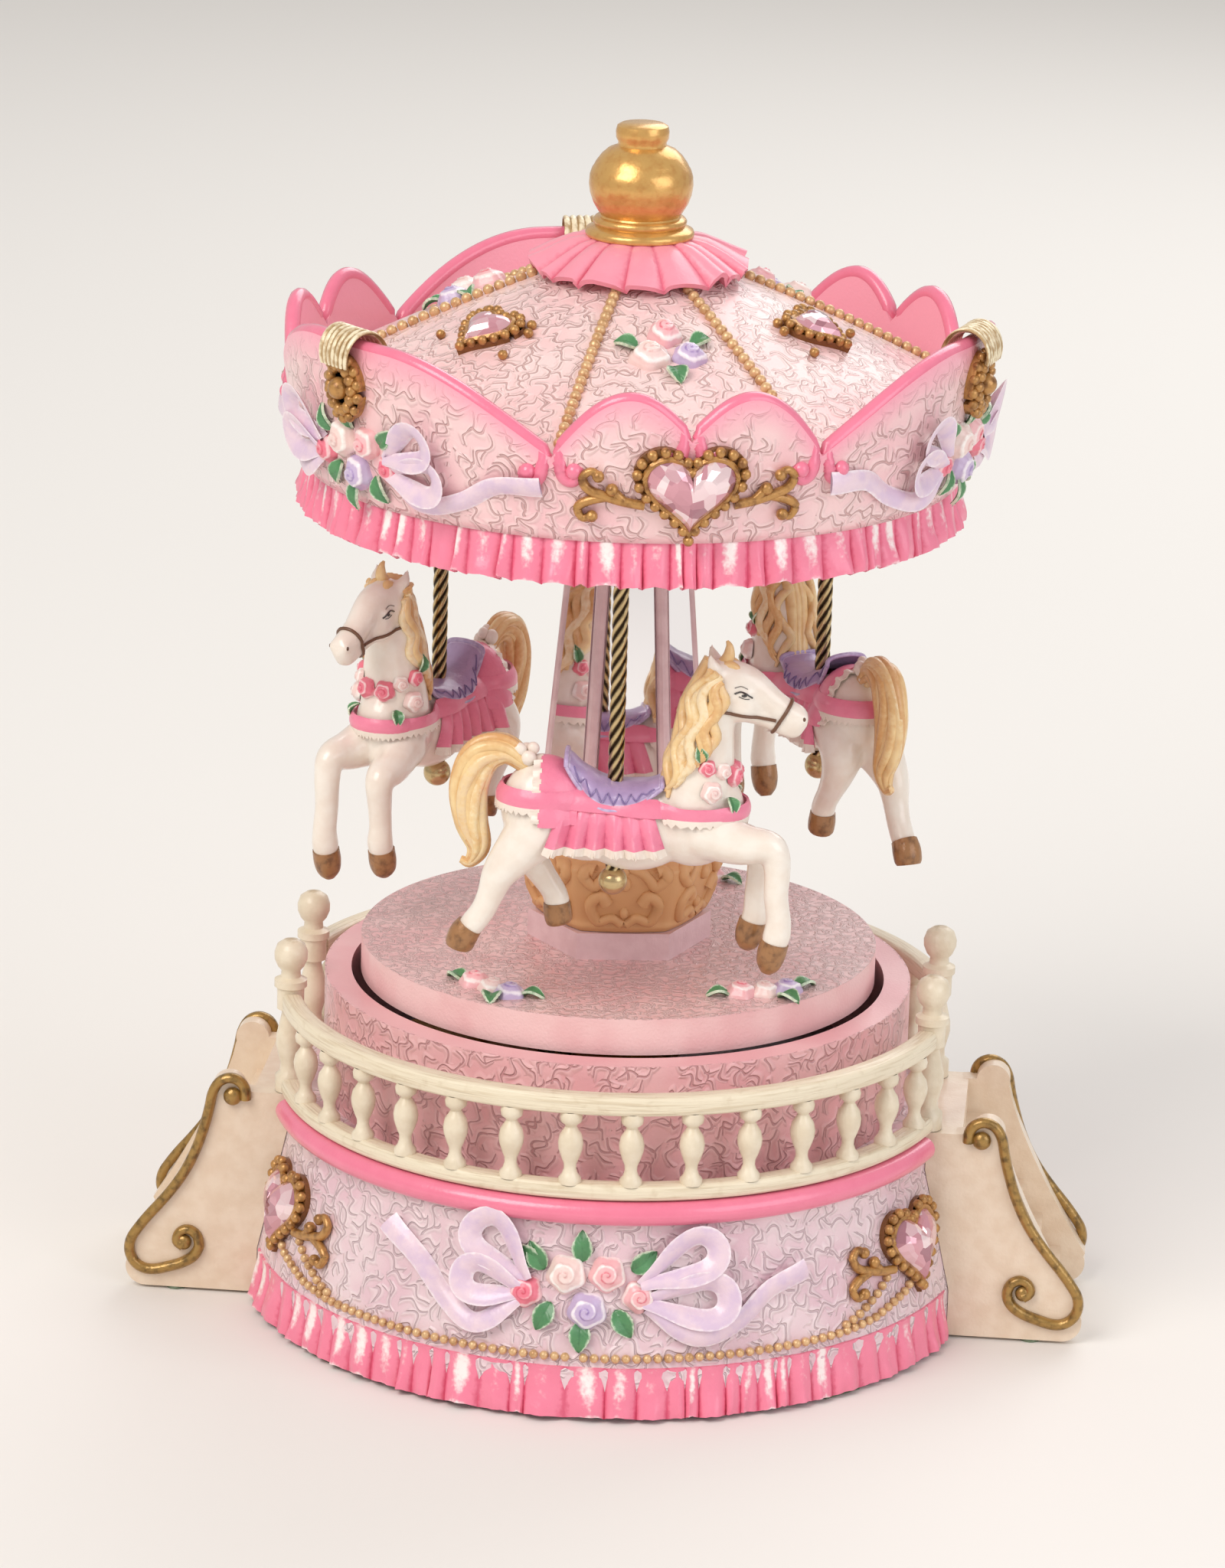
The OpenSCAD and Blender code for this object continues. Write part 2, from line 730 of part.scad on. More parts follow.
module on_roof_gems() {
    for (i = [0 : 2])
        on_wall(heart_turn + 60 + 120 * i, roof_point(roof_spot)[0], roof_point(roof_spot)[1],
            roof_slope(roof_spot) - 90)
            translate([1, 0, 0])
                children();
}

module roof_solid(grow) {
    rotate_extrude($fn = cut_fn)
        polygon(concat(
            [[0, eaves_z - 5], [roof_r, eaves_z - 5]],
            [for (i = [10 : -1 : 0]) roof_point(i / 10) + [0, grow]],
            [[0, peak_z + grow]]));
}

module canopy_gem_settings() color("#c08a4a") {
    difference() {
        on_crown_hearts() gem_setting(gem_w, [-1, 1]);
        crown_solid(fit);
    }
    difference() {
        on_roof_gems() gem_setting(roof_gem_w, [-1, 1]);
        roof_solid(fit);
    }
}

module canopy_gems() color("#f2b8c6") {
    on_crown_hearts() gem(gem_w);
    on_roof_gems() gem(roof_gem_w);
}

// ---------------------------------------------------------------- flowers

// Roses in a cluster: one in the middle and others round it
module roses(n, r) {
    sphere(r = r, $fn = fine_fn);
    for (i = [0 : n - 1])
        rotate([360 * i / n, 0, 0])
            translate([-0.2 * r, 0, 1.75 * r])
                sphere(r = 0.85 * r, $fn = fine_fn);
}

// Two loops of a bow, seen from +X
module bow(r) {
    for (side = [-1, 1])
        translate([0, side * 2.15 * r, 0.1 * r])
            rotate([0, 90, 0])
                rotate_extrude($fn = 32)
                    translate([r - 1.2, 0])
                        circle(r = 1.2, $fn = 16);
}

bouquet_z = wall_foot_z + 9.5;

module base_bouquets() color("#e7a9bd")
    difference() {
        for (side = [0, 180])
            on_wall(side - 88, wall_r(bouquet_z) + rose_stand, bouquet_z, -gem_lean) {
                roses(6, rose_r);
                bow(bow_r);
            }
        wall_cone(fit);
    }

module canopy_bouquets() color("#e7a9bd") {
    difference() {
        for (i = [0 : 2])
            on_wall(heart_turn + 60 + 120 * i, crown_r(heart_h) + rose_stand, crown_foot_z + heart_h, heart_lean) {
                roses(5, rose_r);
                bow(0.8 * bow_r);
            }
        crown_solid(fit);
    }
    difference() {
        for (i = [0 : 2])
            on_wall(heart_turn + 120 * i, roof_point(roof_spot)[0], roof_point(roof_spot)[1],
                roof_slope(roof_spot) - 90)
                roses(4, 0.85 * rose_r);
        roof_solid(fit);
    }
}

// ---------------------------------------------------------------- case

module bottom_cover() color("#8a6a52")
    difference() {
        translate([0, 0, cover_z])
            cylinder(r = cover_r, h = cover_t);
        for (i = [0 : 3])
            rotate([0, 0, 45 + 90 * i])
                translate([boss_ring_r, 0, cover_z - 1])
                    cylinder(r = screw_r + fit, h = cover_t + 2, $fn = fine_fn);
        for (p = bed_screws)
            translate([p[0], p[1], cover_z - 1])
                cylinder(r = screw_r + fit, h = cover_t + 2, $fn = fine_fn);
        translate([barrel_x, 0, cover_z - 1])
            cylinder(r = key_r + 0.8, h = cover_t + 2, $fn = 32);
    }

module screw(length) {
    cylinder(r = screw_r, h = length, $fn = fine_fn);
    translate([0, 0, -screw_head_t])
        difference() {
            cylinder(r = screw_head_r, h = screw_head_t, $fn = 32);
            translate([-screw_head_r, -0.35, -0.1])
                cube([2 * screw_head_r, 0.7, 0.8]);
        }
}

module case_screws() color("#b9b4aa") {
    for (i = [0 : 3])
        rotate([0, 0, 45 + 90 * i])
            translate([boss_ring_r, 0, cover_z])
                screw(case_screw_l);
    for (i = [0 : 2])
        rotate([0, 0, 90 + 120 * i])
            translate([ledge_screw_r, 0, carrier_z + carrier_t])
                rotate([180, 0, 0])
                    screw(carrier_t + deck_t - 0.5);
}

module felt_pads() color("#6f7f6a") {
    for (i = [0 : 3])
        rotate([0, 0, 45 + 90 * i])
            translate([wall_foot_r - base_wall / 2, 0, 0])
                intersection() {
                    cylinder(r = felt_pad_r, h = felt_t);
                    translate([-base_wall / 2, -felt_pad_r, 0])
                        cube([base_wall, 2 * felt_pad_r, felt_t]);
                }
    for (end = [-1, 1], side = [-1, 1])
        translate([end * (stair_reach - 8), side * stair_gauge / 2, 0])
            cylinder(r = stringer_t / 2, h = felt_t / 2, $fn = fine_fn);
}

// ---------------------------------------------------------------- movement

bed_x0 = barrel_x - barrel_r - 1.5;
bed_screws = [[bed_x0 + 3.2, bed_w / 2 - 6.5], [bed_x0 + bed_l - 3.2, -bed_w / 2 + 6],
    [bed_x0 + bed_l - 3.2, bed_w / 2 - 4]];
comb_x = cylinder_x - 0.5;
comb_w = cylinder_l + 1;
comb_holes = [[comb_x + 4, comb_y - comb_l + 3.2], [comb_x + comb_w - 4, comb_y - comb_l + 3.2]];

module movement_bedplate() color("#c9c2b4")
    difference() {
        union() {
            translate([bed_x0, -bed_w / 2, bed_z])
                cube([bed_l, bed_w, bed_t]);
            for (x = [bearing_1_x, bearing_2_x])
                translate([x, -bearing_half, bed_z])
                    cube([bearing_t, 2 * bearing_half, axis_z + 2.4 - bed_z]);
            translate([comb_x, comb_y - comb_l, bed_z])
                cube([comb_w, comb_l - comb_free_l, axis_z - comb_t / 2 - bed_z]);
        }
        translate([bearing_1_x - 1, 0, axis_z])
            rotate([0, 90, 0])
                cylinder(r = arbor_r + run_fit, h = bearing_2_x - bearing_1_x + 5, $fn = fine_fn);
        translate([barrel_x, 0, bed_z - 1])
            cylinder(r = key_r + run_fit, h = bed_t + 2, $fn = 32);
        for (p = bed_screws)
            translate([p[0], p[1], bed_z - 1])
                cylinder(r = screw_r + fit / 2, h = bed_t + 2, $fn = fine_fn);
        for (p = comb_holes)
            translate([p[0], p[1], axis_z - 6])
                cylinder(r = screw_r + fit / 2, h = 8, $fn = fine_fn);
    }

module movement_screws() color("#b9b4aa") {
    for (p = bed_screws)
        translate([p[0], p[1], cover_z])
            screw(cover_t + bed_t - 0.3);
    for (p = comb_holes)
        translate([p[0], p[1], axis_z + comb_t / 2])
            rotate([180, 0, 0])
                screw(4.5);
}

module comb() color("#cfd2d6")
    difference() {
        translate([comb_x, comb_y - comb_l, axis_z - comb_t / 2])
            cube([comb_w, comb_l, comb_t]);
        for (i = [1 : comb_teeth - 1])
            translate([comb_x + comb_w * i / comb_teeth - 0.12, comb_y - comb_free_l, axis_z - comb_t])
                cube([0.24, comb_free_l + 1, 2 * comb_t]);
        for (p = comb_holes)
            translate([p[0], p[1], axis_z - comb_t])
                cylinder(r = screw_r + fit, h = 2 * comb_t, $fn = fine_fn);
    }

module spring_barrel() color("#c8a860")
    translate([barrel_x, 0, 0])
        difference() {
            union() {
                translate([0, 0, barrel_z])
                    cylinder(r = barrel_r, h = barrel_h);
                translate([0, 0, barrel_z])
                    cylinder(r = shaft_r, h = hub_z + drive_gear_t + 1 - barrel_z, $fn = 32);
                intersection() {
                    for (i = [0 : crown_teeth - 1])
                        rotate([0, 0, (i + 0.5) * 360 / crown_teeth])
                            translate([crown_tooth_r - crown_tooth_w / 2, 0, crown_z])
                                rotate([90, 0, 90])
                                    linear_extrude(crown_tooth_w)
                                        polygon([
                                            [-0.62 * crown_m, -0.2], [0.62 * crown_m, -0.2],
                                            [0.24 * crown_m, 1.85 * crown_m],
                                            [-0.24 * crown_m, 1.85 * crown_m]]);
                    translate([0, 0, crown_z - 1])
                        cylinder(r = barrel_r, h = 5);
                }
            }
            difference() {
                translate([0, 0, barrel_z - 1])
                    cylinder(r = barrel_r - 1, h = barrel_h);
                translate([0, 0, barrel_z - 2])
                    cylinder(r = key_r + 1.2, h = barrel_h + 3, $fn = 32);
            }
            translate([0, 0, barrel_z - 1])
                cylinder(r = key_r + run_fit, h = barrel_h - 1, $fn = 32);
        }

spring_turns = 4;
spring_t = 0.5;

function spring_r(a) = key_r + 2.4 + (barrel_r - 1 - key_r - 3.4) * a / (360 * spring_turns);

module mainspring() color("#5d6670")
    translate([barrel_x, 0, barrel_z + 0.5])
        linear_extrude(barrel_h - 2.5)
            polygon(concat(
                [for (a = [0 : 15 : 360 * spring_turns]) spring_r(a) * [cos(a), sin(a)]],
                [for (a = [360 * spring_turns : -15 : 0]) (spring_r(a) + spring_t) * [cos(a), sin(a)]]));

module drive_gear() color("#d4af5f")
    translate([barrel_x, 0, hub_z])
        difference() {
            linear_extrude(drive_gear_t)
                polygon(gear_points(drive_teeth, drive_m, 0.12));
            translate([0, 0, -1])
                cylinder(r = shaft_r + fit / 5, h = drive_gear_t + 2, $fn = 32);
        }

module along_x() {
    rotate([90, 0, 90])
        children();
}

module music_cylinder() color("#d9b66a")
    translate([0, 0, axis_z]) {
        translate([barrel_x + crown_tooth_r - crown_tooth_w / 2, 0, 0])
            along_x()
                linear_extrude(crown_tooth_w)
                    rotate([0, 0, 90])
                        polygon(gear_points(pinion_teeth, crown_m, 0.3));
        translate([barrel_x + crown_tooth_r, 0, 0])
            along_x()
                cylinder(r = arbor_r, h = bearing_2_x + bearing_t - barrel_x - crown_tooth_r,
                    $fn = fine_fn);
        translate([cylinder_x, 0, 0])
            along_x()
                cylinder(r = cylinder_r, h = cylinder_l);
        translate([cylinder_x + cylinder_l - 0.5, 0, 0])
            along_x()
                cylinder(r = 2.2, h = 2, $fn = 32);
        translate([great_wheel_x, 0, 0])
            along_x()
                linear_extrude(wheel_t)
                    polygon(gear_points(great_teeth, fine_m, 0.2));
        for (i = [0 : cylinder_pins - 1])
            translate([cylinder_x + 0.8 + (cylinder_l - 1.6) * ((i * 7) % comb_teeth) / (comb_teeth - 1), 0, 0])
                rotate([i * 360 / cylinder_pins, 0, 0])
                    translate([0, 0, cylinder_r - 0.3])
                        cylinder(r = 0.22, h = pin_h + 0.3, $fn = 16);
    }

module governor_wheel() color("#d4af5f")
    translate([0, governor_y, axis_z]) {
        translate([frame_x + 0.2, 0, 0])
            along_x()
                cylinder(r = 0.6, h = frame_l - 0.4, $fn = fine_fn);
        translate([great_wheel_x, 0, 0])
            along_x()
                linear_extrude(wheel_t)
                    rotate([0, 0, 180 / governor_pinion_teeth])
                        polygon(gear_points(governor_pinion_teeth, fine_m, 0.3));
        translate([fan_x - 0.6, 0, 0])
            along_x()
                linear_extrude(1.2)
                    polygon(gear_points(worm_wheel_teeth, fine_m, 0.45));
    }

module governor_fan() color("#cfd2d6")
    translate([fan_x, fan_y, 0]) {
        translate([0, 0, bed_top + frame_t - 0.6])
            cylinder(r = spindle_r, h = fan_z + fan_h - bed_top - frame_t + 0.6,
                $fn = fine_fn);
        translate([0, 0, axis_z - 2 * worm_lead])
            linear_extrude(4 * worm_lead, twist = -360 * 4, slices = 40, segments = 8)
                rotate([0, 0, -90])
                    translate([-worm_throw, 0])
                        circle(r = worm_r, $fn = 8);
        translate([0, 0, fan_z])
            cylinder(r = 1.2, h = fan_h, $fn = fine_fn);
        for (side = [0, 180])
            rotate([0, 0, side])
                translate([0, -0.2, fan_z])
                    cube([fan_r, 0.4, fan_h]);
    }

module governor_frame() color("#bdb6a6")
    difference() {
        union() {
            translate([frame_x, frame_y, bed_top])
                cube([frame_l, frame_w, frame_t]);
            for (x = [frame_x, frame_x + frame_l - frame_t])
                translate([x, frame_y, bed_top])
                    cube([frame_t, frame_w, bridge_z + frame_t - bed_top]);
            translate([fan_x - 1.6, frame_y + 1, bridge_z])
                cube([frame_x + frame_l - fan_x + 1.6, frame_w - 1, frame_t]);
        }
        translate([frame_x - 1, governor_y, axis_z])
            rotate([0, 90, 0])
                cylinder(r = 0.6 + run_fit, h = frame_l + 2, $fn = fine_fn);
        translate([fan_x, fan_y, bed_top + frame_t - 0.7])
            cylinder(r = spindle_r + run_fit, h = bridge_z + 2 * frame_t - bed_top, $fn = fine_fn);
    }

module winding_key() color("#d8c07a")
    translate([barrel_x, 0, 0]) {
        translate([0, 0, cover_z - key_h - 1])
            cylinder(r = key_r, h = barrel_z + barrel_h - 3 - cover_z + key_h + 1, $fn = 32);
        translate([0, 0, cover_z - key_h - 1.5])
            cylinder(r = 2.4, h = key_h + 0.5, $fn = 32);
        for (side = [-1, 1])
            translate([side * (key_l / 2 - key_h / 2), 1.1, cover_z - key_h / 2 - 1.2])
                rotate([90, 0, 0])
                    cylinder(r = key_h / 2, h = 2.2, $fn = 32);
        translate([-key_l / 2 + key_h / 2, -1.1, cover_z - 0.8 * key_h - 1])
            cube([key_l - key_h, 2.2, 0.6 * key_h]);
    }

// ---------------------------------------------------------------- stage

module carrier_plate() color("#8e8f8a")
    difference() {
        translate([0, 0, carrier_z])
            cylinder(r = well_r - fit, h = carrier_t);
        translate([0, 0, carrier_z - 1])
            cylinder(r = post_r + fit / 5, h = carrier_t + 2);
        translate([barrel_x, 0, carrier_z - 1])
            cylinder(r = shaft_r + run_fit, h = carrier_t + 2, $fn = 32);
        for (i = [0 : 2])
            rotate([0, 0, 90 + 120 * i])
                translate([ledge_screw_r, 0, carrier_z - 1])
                    cylinder(r = screw_r + fit, h = carrier_t + 2, $fn = fine_fn);
    }

module centre_post() color("#c4c6c8") {
    translate([0, 0, carrier_z])
        cylinder(r = post_r, h = lift_top_z + 1.6 - carrier_z);
    translate([0, 0, carrier_z + carrier_t])
        cylinder(r = hub_r - 0.5, h = post_flange_t);
}

module lift_cam() color("#d8d3c4") {
    cam_z = crown_foot_z + 0.6;
    difference() {
        union() {
            translate([0, 0, cam_z])
                difference() {
                    cylinder(r = cam_r, h = lift_top_z - cam_z);
                    translate([0, 0, -1])
                        cylinder(r = cam_r - track_w, h = 20);
                }
            for (i = [0 : 2])
                rotate([0, 0, 120 * i])
                    translate([0, -3, cam_z])
                        cube([cam_r - track_w / 2, 6, 0.9]);
            translate([0, 0, cam_z])
                cylinder(r = post_r + 3, h = lift_top_z - cam_z);
        }
        rotate([0, 0, cam_high])
            translate([cam_r, 0, lift_top_z])
                rotate([0, -atan(cam_throw / cam_r), 0])
                    translate([-2.5 * cam_r, -1.2 * cam_r, 0])
                        cube([3 * cam_r, 2.4 * cam_r, 20]);
        translate([0, 0, cam_z - 1])
            cylinder(r = post_r + fit / 5, h = 20);
    }
}

module turntable_hub() color("#d4af5f")
    difference() {
        union() {
            translate([0, 0, hub_z])
                linear_extrude(drive_gear_t)
                    rotate([0, 0, 180 / hub_teeth + 180])
                        polygon(gear_points(hub_teeth, drive_m, 0.12));
            translate([0, 0, hub_z + drive_gear_t])
                cylinder(r = hub_r, h = stage_z - hub_z - drive_gear_t);
            translate([0, 0, stage_z - flange_t])
                cylinder(r = flange_r, h = flange_t);
        }
        translate([0, 0, hub_z - 1])
            cylinder(r = post_r + run_fit, h = stage_z - hub_z + 2);
    }

module platform_disc() color("#d79aa4")
    difference() {
        translate([0, 0, stage_z])
            cylinder(r = stage_r, h = stage_t);
        translate([0, 0, stage_z - 1])
            cylinder(r = bore_r, h = stage_t + 2);
    }

stage_rose_angles = [-122, -48, 72];

module platform_roses() color("#eebccb")
    difference() {
        for (a = stage_rose_angles)
            rotate([0, 0, a])
                translate([stage_r - 6.5, 0, plinth_z])
                    rotate([0, -90, 0])
                        roses(4, 0.85 * rose_r);
        translate([0, 0, plinth_z - 20 + fit])
            cylinder(r = 2 * stage_r, h = 20);
    }

module hexagon(r, h) {
    rotate([0, 0, column_turn])
        cylinder(r = r, h = h, $fn = sides);
}

module hex_taper(r0, r1, z0, z1) {
    hull() {
        translate([0, 0, z0])
            hexagon(r0, 0.01);
        translate([0, 0, z1 - 0.01])
            hexagon(r1, 0.01);
    }
}

module column_plinth() color("#eccbd0")
    difference() {
        translate([0, 0, plinth_z])
            hexagon(plinth_r, plinth_h);
        translate([0, 0, plinth_z - 1])
            cylinder(r = bore_r, h = plinth_h + 2);
    }

module column_bowl() color("#b5713a")
    difference() {
        union() {
            hex_taper(bowl_foot_r, bowl_rim_r, bowl_z, bowl_z + 0.75 * bowl_h);
            hex_taper(bowl_rim_r, column_foot_r + 0.6, bowl_z + 0.75 * bowl_h, collar_z);
        }
        translate([0, 0, bowl_z - 1])
            cylinder(r = bore_r, h = bowl_h + 2);
    }

module column_frame() color("#e6bfc6")
    difference() {
        union() {
            hex_taper(column_foot_r - mirror_t - 0.3, column_top_r - mirror_t - 0.3, column_z, floor_z);
            translate([0, 0, collar_z])
                hexagon(column_foot_r, collar_h);
            for (i = [0 : sides - 1])
                rotate([0, 0, column_turn + 360 * i / sides])
                    hull() {
                        translate([column_foot_r - stile_r, 0, column_z - 0.5])
                            cylinder(r = stile_r, h = 0.01, $fn = 12);
                        translate([column_top_r - stile_r, 0, floor_z - 0.01])
                            cylinder(r = stile_r, h = 0.01, $fn = 12);
                    }
        }
        translate([0, 0, collar_z - 1])
            cylinder(r = bore_r, h = column_h + collar_h + 2);
    }

// Distance of the column's faces from the axis, from the corner radius
function face_d(r) = (r - mirror_t - 0.3) * cos(180 / sides);

// Half of a mirror's width, from the corner radius
function face_half(r) = (r - mirror_t - 0.3) / 2 - 1.15 * stile_r;

module mirror_panels() color("#dfe6ea")
    for (i = [0 : sides - 1])
        rotate([0, 0, column_turn + 360 * (i + 0.5) / sides])
            hull() {
                for (end = [
                    [column_foot_r, column_z + fit], [column_top_r, floor_z - fit - 0.02]])
                    translate([face_d(end[0]) + fit / 2, -face_half(end[0]), end[1]])
                        cube([mirror_t, 2 * face_half(end[0]), 0.02]);
            }

module canopy_floor() color("#d8b4b8")
    difference() {
        translate([0, 0, floor_z])
            cylinder(r = crown_foot_r - crown_t - 2 * fit, h = floor_t);
        translate([0, 0, floor_z - 1])
            cylinder(r = post_r + run_fit, h = floor_t + 2);
        for (i = [0 : horses - 1])
            rotate([0, 0, first_horse + 120 * i])
                translate([pole_ring_r, 0, floor_z - 1])
                    cylinder(r = pole_r + bush_t + fit / 2, h = floor_t + 2, $fn = 32);
    }

module pole_bushes() color("#d4af5f")
    for (i = [0 : horses - 1])
        rotate([0, 0, first_horse + 120 * i])
            translate([pole_ring_r, 0, floor_z - 2.5])
                difference() {
                    union() {
                        cylinder(r = pole_r + bush_t, h = floor_t + 2.9, $fn = 32);
                        cylinder(r = pole_r + bush_t + 0.9, h = 2.4, $fn = 32);
                    }
                    translate([0, 0, -1])
                        cylinder(r = pole_r + run_fit, h = floor_t + 6, $fn = 32);
                }

// ---------------------------------------------------------------- canopy

module crown_wall() color("#eab5c0")
    band([for (a = [0 : 3 : 357])
        let (top = rim_h(a), levels = [0, crown_bends[1], min(crown_bends[2], top - 0.8), top])
            concat(
                [for (h = levels) [crown_r(h) * cos(a), crown_r(h) * sin(a), crown_foot_z + h]],
                [for (i = [3 : -1 : 0])
                    let (h = levels[i], r = crown_r(h) - crown_t)
                        [r * cos(a), r * sin(a), crown_foot_z + h]])]);

module shell_ornaments() color("#d8b070")
    for (i = [0 : 2])
        rotate([0, 0, heart_turn + 60 + 120 * i])
            difference() {
                translate([crown_rim_r - crown_t / 2, 0, crown_foot_z + crown_high - 3])
                    rotate([90, 0, 0])
                        cylinder(r = 4.6, h = 9, center = true, $fn = 32);
                translate([crown_rim_r - crown_t - fit - 3.5, -6, crown_foot_z + crown_high - 20])
                    cube([crown_t + 2 * fit + 3.9, 12, 20 + fit]);
            }

module canopy_ruffle() color("#f07f9c")
    pleated(canopy_pleats, crown_foot_r - crown_t - fit, crown_foot_z - fit, crown_foot_r - 1.2,
        crown_foot_z - ruffle_h, 1.9, pleat, 0.3);

module roof_shell() color("#efc6cd")
    rotate_extrude()
        polygon(concat(
            [for (i = [0 : 10]) roof_point(i / 10)],
            [for (i = [10 : -1 : 0]) roof_point(i / 10) - [0, roof_t / cos(roof_slope(i / 10))]]));

module roof_beads() color("#d8b070")
    difference() {
        for (i = [0 : 2], side = [-22, 22])
            rotate([0, 0, heart_turn + 120 * i + side])
                for (s = [0.25 : 0.05 : 0.95])
                    translate([roof_point(s)[0], 0, roof_point(s)[1] + 0.3])
                        sphere(r = 0.9, $fn = 16);
        roof_solid(fit);
    }

module cap_ruffle() color("#f07f9c")
    band([for (i = [0 : 4 * cap_pleats - 1])
        let (a = 90 * i / cap_pleats, wave = [0, 1, 0, -1][i % 4])
            [for (p = [
                [roof_eye_r + 2.2, cap_top_z, 0], [roof_eye_r + 5, cap_top_z - 1.2, 0.3],
                [cap_r, cap_top_z - cap_h, 1], [cap_r - 1.2, cap_top_z - cap_h - 1, 1],
                [roof_eye_r + 1, peak_z + 0.8, 0], [roof_eye_r - 2, peak_z + 0.8, 0],
                [roof_eye_r - 2, cap_top_z, 0]])
                let (r = p[0], z = p[1] + 0.5 * wave * p[2])
                    [r * cos(a), r * sin(a), z]]]);

module finial() color("#d2a45c") {
    k = finial_h / 17.5;
    translate([0, 0, finial_z])
        rotate_extrude()
            polygon(concat(
                [[0, 0], [finial_foot_r, 0], [finial_foot_r, 0.9 * k], [finial_foot_r - 1.2, 1.5 * k],
                 [finial_foot_r - 1.2, 2.3 * k], [finial_foot_r - 1.8, 3.2 * k]],
                [for (a = [-60 : 10 : 60])
                    [finial_ball_r - 4.3 + 4.3 * cos(a), 8.6 * k + 4.9 * k * sin(a)]],
                [[finial_neck_r + 0.4, 14 * k], [finial_neck_r, 15 * k], [finial_neck_r + 0.1, finial_h],
                 [0, finial_h]]));
    translate([0, 0, peak_z - roof_t])
        cylinder(r = roof_eye_r - 2 - fit, h = finial_z + 0.5 - peak_z + roof_t);
}

// ---------------------------------------------------------------- horses

// A rounded limb through points that each give x, y, z and a radius
module limb(points) {
    for (i = [0 : len(points) - 2])
        hull()
            for (p = [points[i], points[i + 1]])
                translate([p[0], p[1], p[2]])
                    sphere(r = p[3], $fn = 8);
}

// The horse's trunk, drawn with its pole along Z and its back at z = 0
module trunk(grow) {
    hull()
        for (p = [[-10.6, -3.6, 7.2], [0, -6.4, 6.4], [12.6, -4.6, 7.2]])
            translate([p[0], 0, p[1]])
                scale([1, 0.86, 1])
                    sphere(r = p[2] + grow, $fn = 14);
}

module horse_pattern() {
    trunk(0);
    limb([[13.5, 0, -1, 5.8], [14, 0, 8, 4.6], [14.6, 0, 15.2, 3.9], [20.5, 0, 13.2, 3], [25.6, 0, 10.8, 2.6]]);
    limb([[8.6, 0, 0, 1.8], [10.2, 0, 8.5, 2.1], [12.8, 0, 17.5, 2.2], [15.2, 0, 20.6, 1.5]]);
    for (side = [-1, 1])
        limb([[13.4, side * 1.9, 18, 1.3], [13.6, side * 2.5, 21, 0.6]]);
    limb([[15.5, -3.4, -6, 4.2], [23.6, -3.8, -7.6, 2.6], [25.4, -3.8, -14.5, 1.9], [26.3, -3.8, -20, 1.8],
        [25.2, -3.8, -24.4, 2.3]]);
    limb([[14.5, 3.4, -8, 4.2], [22.6, 3.8, -9.6, 2.5], [22.4, 3.8, -16.5, 1.8], [22, 3.8, -21, 1.7],
        [21.4, 3.8, -23.6, 2.1]]);
    limb([[-12.6, -3.2, -6.4, 4.8], [-16.8, -3.8, -13.5, 2.8], [-18.8, -3.8, -20, 1.9], [-20.6, -3.8, -23, 1.8],
        [-22, -3.8, -25.4, 2.2]]);
    limb([[-11.5, 3.2, -7.4, 4.8], [-12.4, 3.8, -13.5, 2.6], [-9.6, 3.8, -18.6, 1.9], [-8.2, 3.8, -21, 1.8],
        [-7.4, 3.8, -23.2, 2.1]]);
    limb([[-13.6, 0, 2.2, 2.2], [-18.6, 0, 3.2, 2.9], [-22, 0, -1, 2.9], [-21.4, 0, -7, 2.9],
        [-20.4, 0, -11.4, 2], [-21.6, 0, -13.2, 1.4]]);
}

module pole_hole() {
    translate([0, 0, -20])
        cylinder(r = pole_r + fit, h = 40, $fn = 32);
}

module horse_place(i, rise) {
    rotate([0, 0, first_horse + 120 * i])
        translate([pole_ring_r, 0, saddle_z + rise])
            rotate([0, 0, 90])
                children();
}

module horse_casting() {
    difference() {
        scale(horse_k)
            horse_pattern();
        pole_hole();
    }
}

module saddle_casting() {
    difference() {
        scale(horse_k)
            difference() {
                union() {
                    intersection() {
                        trunk(1.2);
                        translate([-10, -9, -10.5])
                            cube([18.5, 18, 16]);
                    }
                    intersection() {
                        trunk(2.2);
                        translate([-7.6, -9, -2.6])
                            cube([14, 18, 10]);
                    }
                }
                trunk(0.08);
                horse_pattern();
            }
        pole_hole();
    }
}

// The rod with its head above the canopy floor and the ball nut under the belly
module pole(i, rise) {
    rotate([0, 0, first_horse + 120 * i])
        translate([pole_ring_r, 0, rise]) {
            translate([0, 0, belly_z - ball_nut_r])
                cylinder(r = pole_r, h = head_z - belly_z + ball_nut_r + 0.5, $fn = 32);
            translate([0, 0, head_z])
                cylinder(r = pole_head_r, h = pole_head_t, $fn = 32);
            translate([0, 0, belly_z - fit - ball_nut_r])
                sphere(r = ball_nut_r, $fn = 32);
        }
}

module front_horse() color("#ebe2d3") horse_place(0, 0) horse_casting();
module front_saddle() color("#e36f90") horse_place(0, 0) saddle_casting();
module front_pole() color("#9c8452") pole(0, 0);
module right_horse() color("#ebe2d3") horse_place(1, third_rise) horse_casting();
module right_saddle() color("#e36f90") horse_place(1, third_rise) saddle_casting();
module right_pole() color("#9c8452") pole(1, third_rise);
module left_horse() color("#ebe2d3") horse_place(2, 0) horse_casting();
module left_saddle() color("#e36f90") horse_place(2, 0) saddle_casting();
module left_pole() color("#9c8452") pole(2, 0);

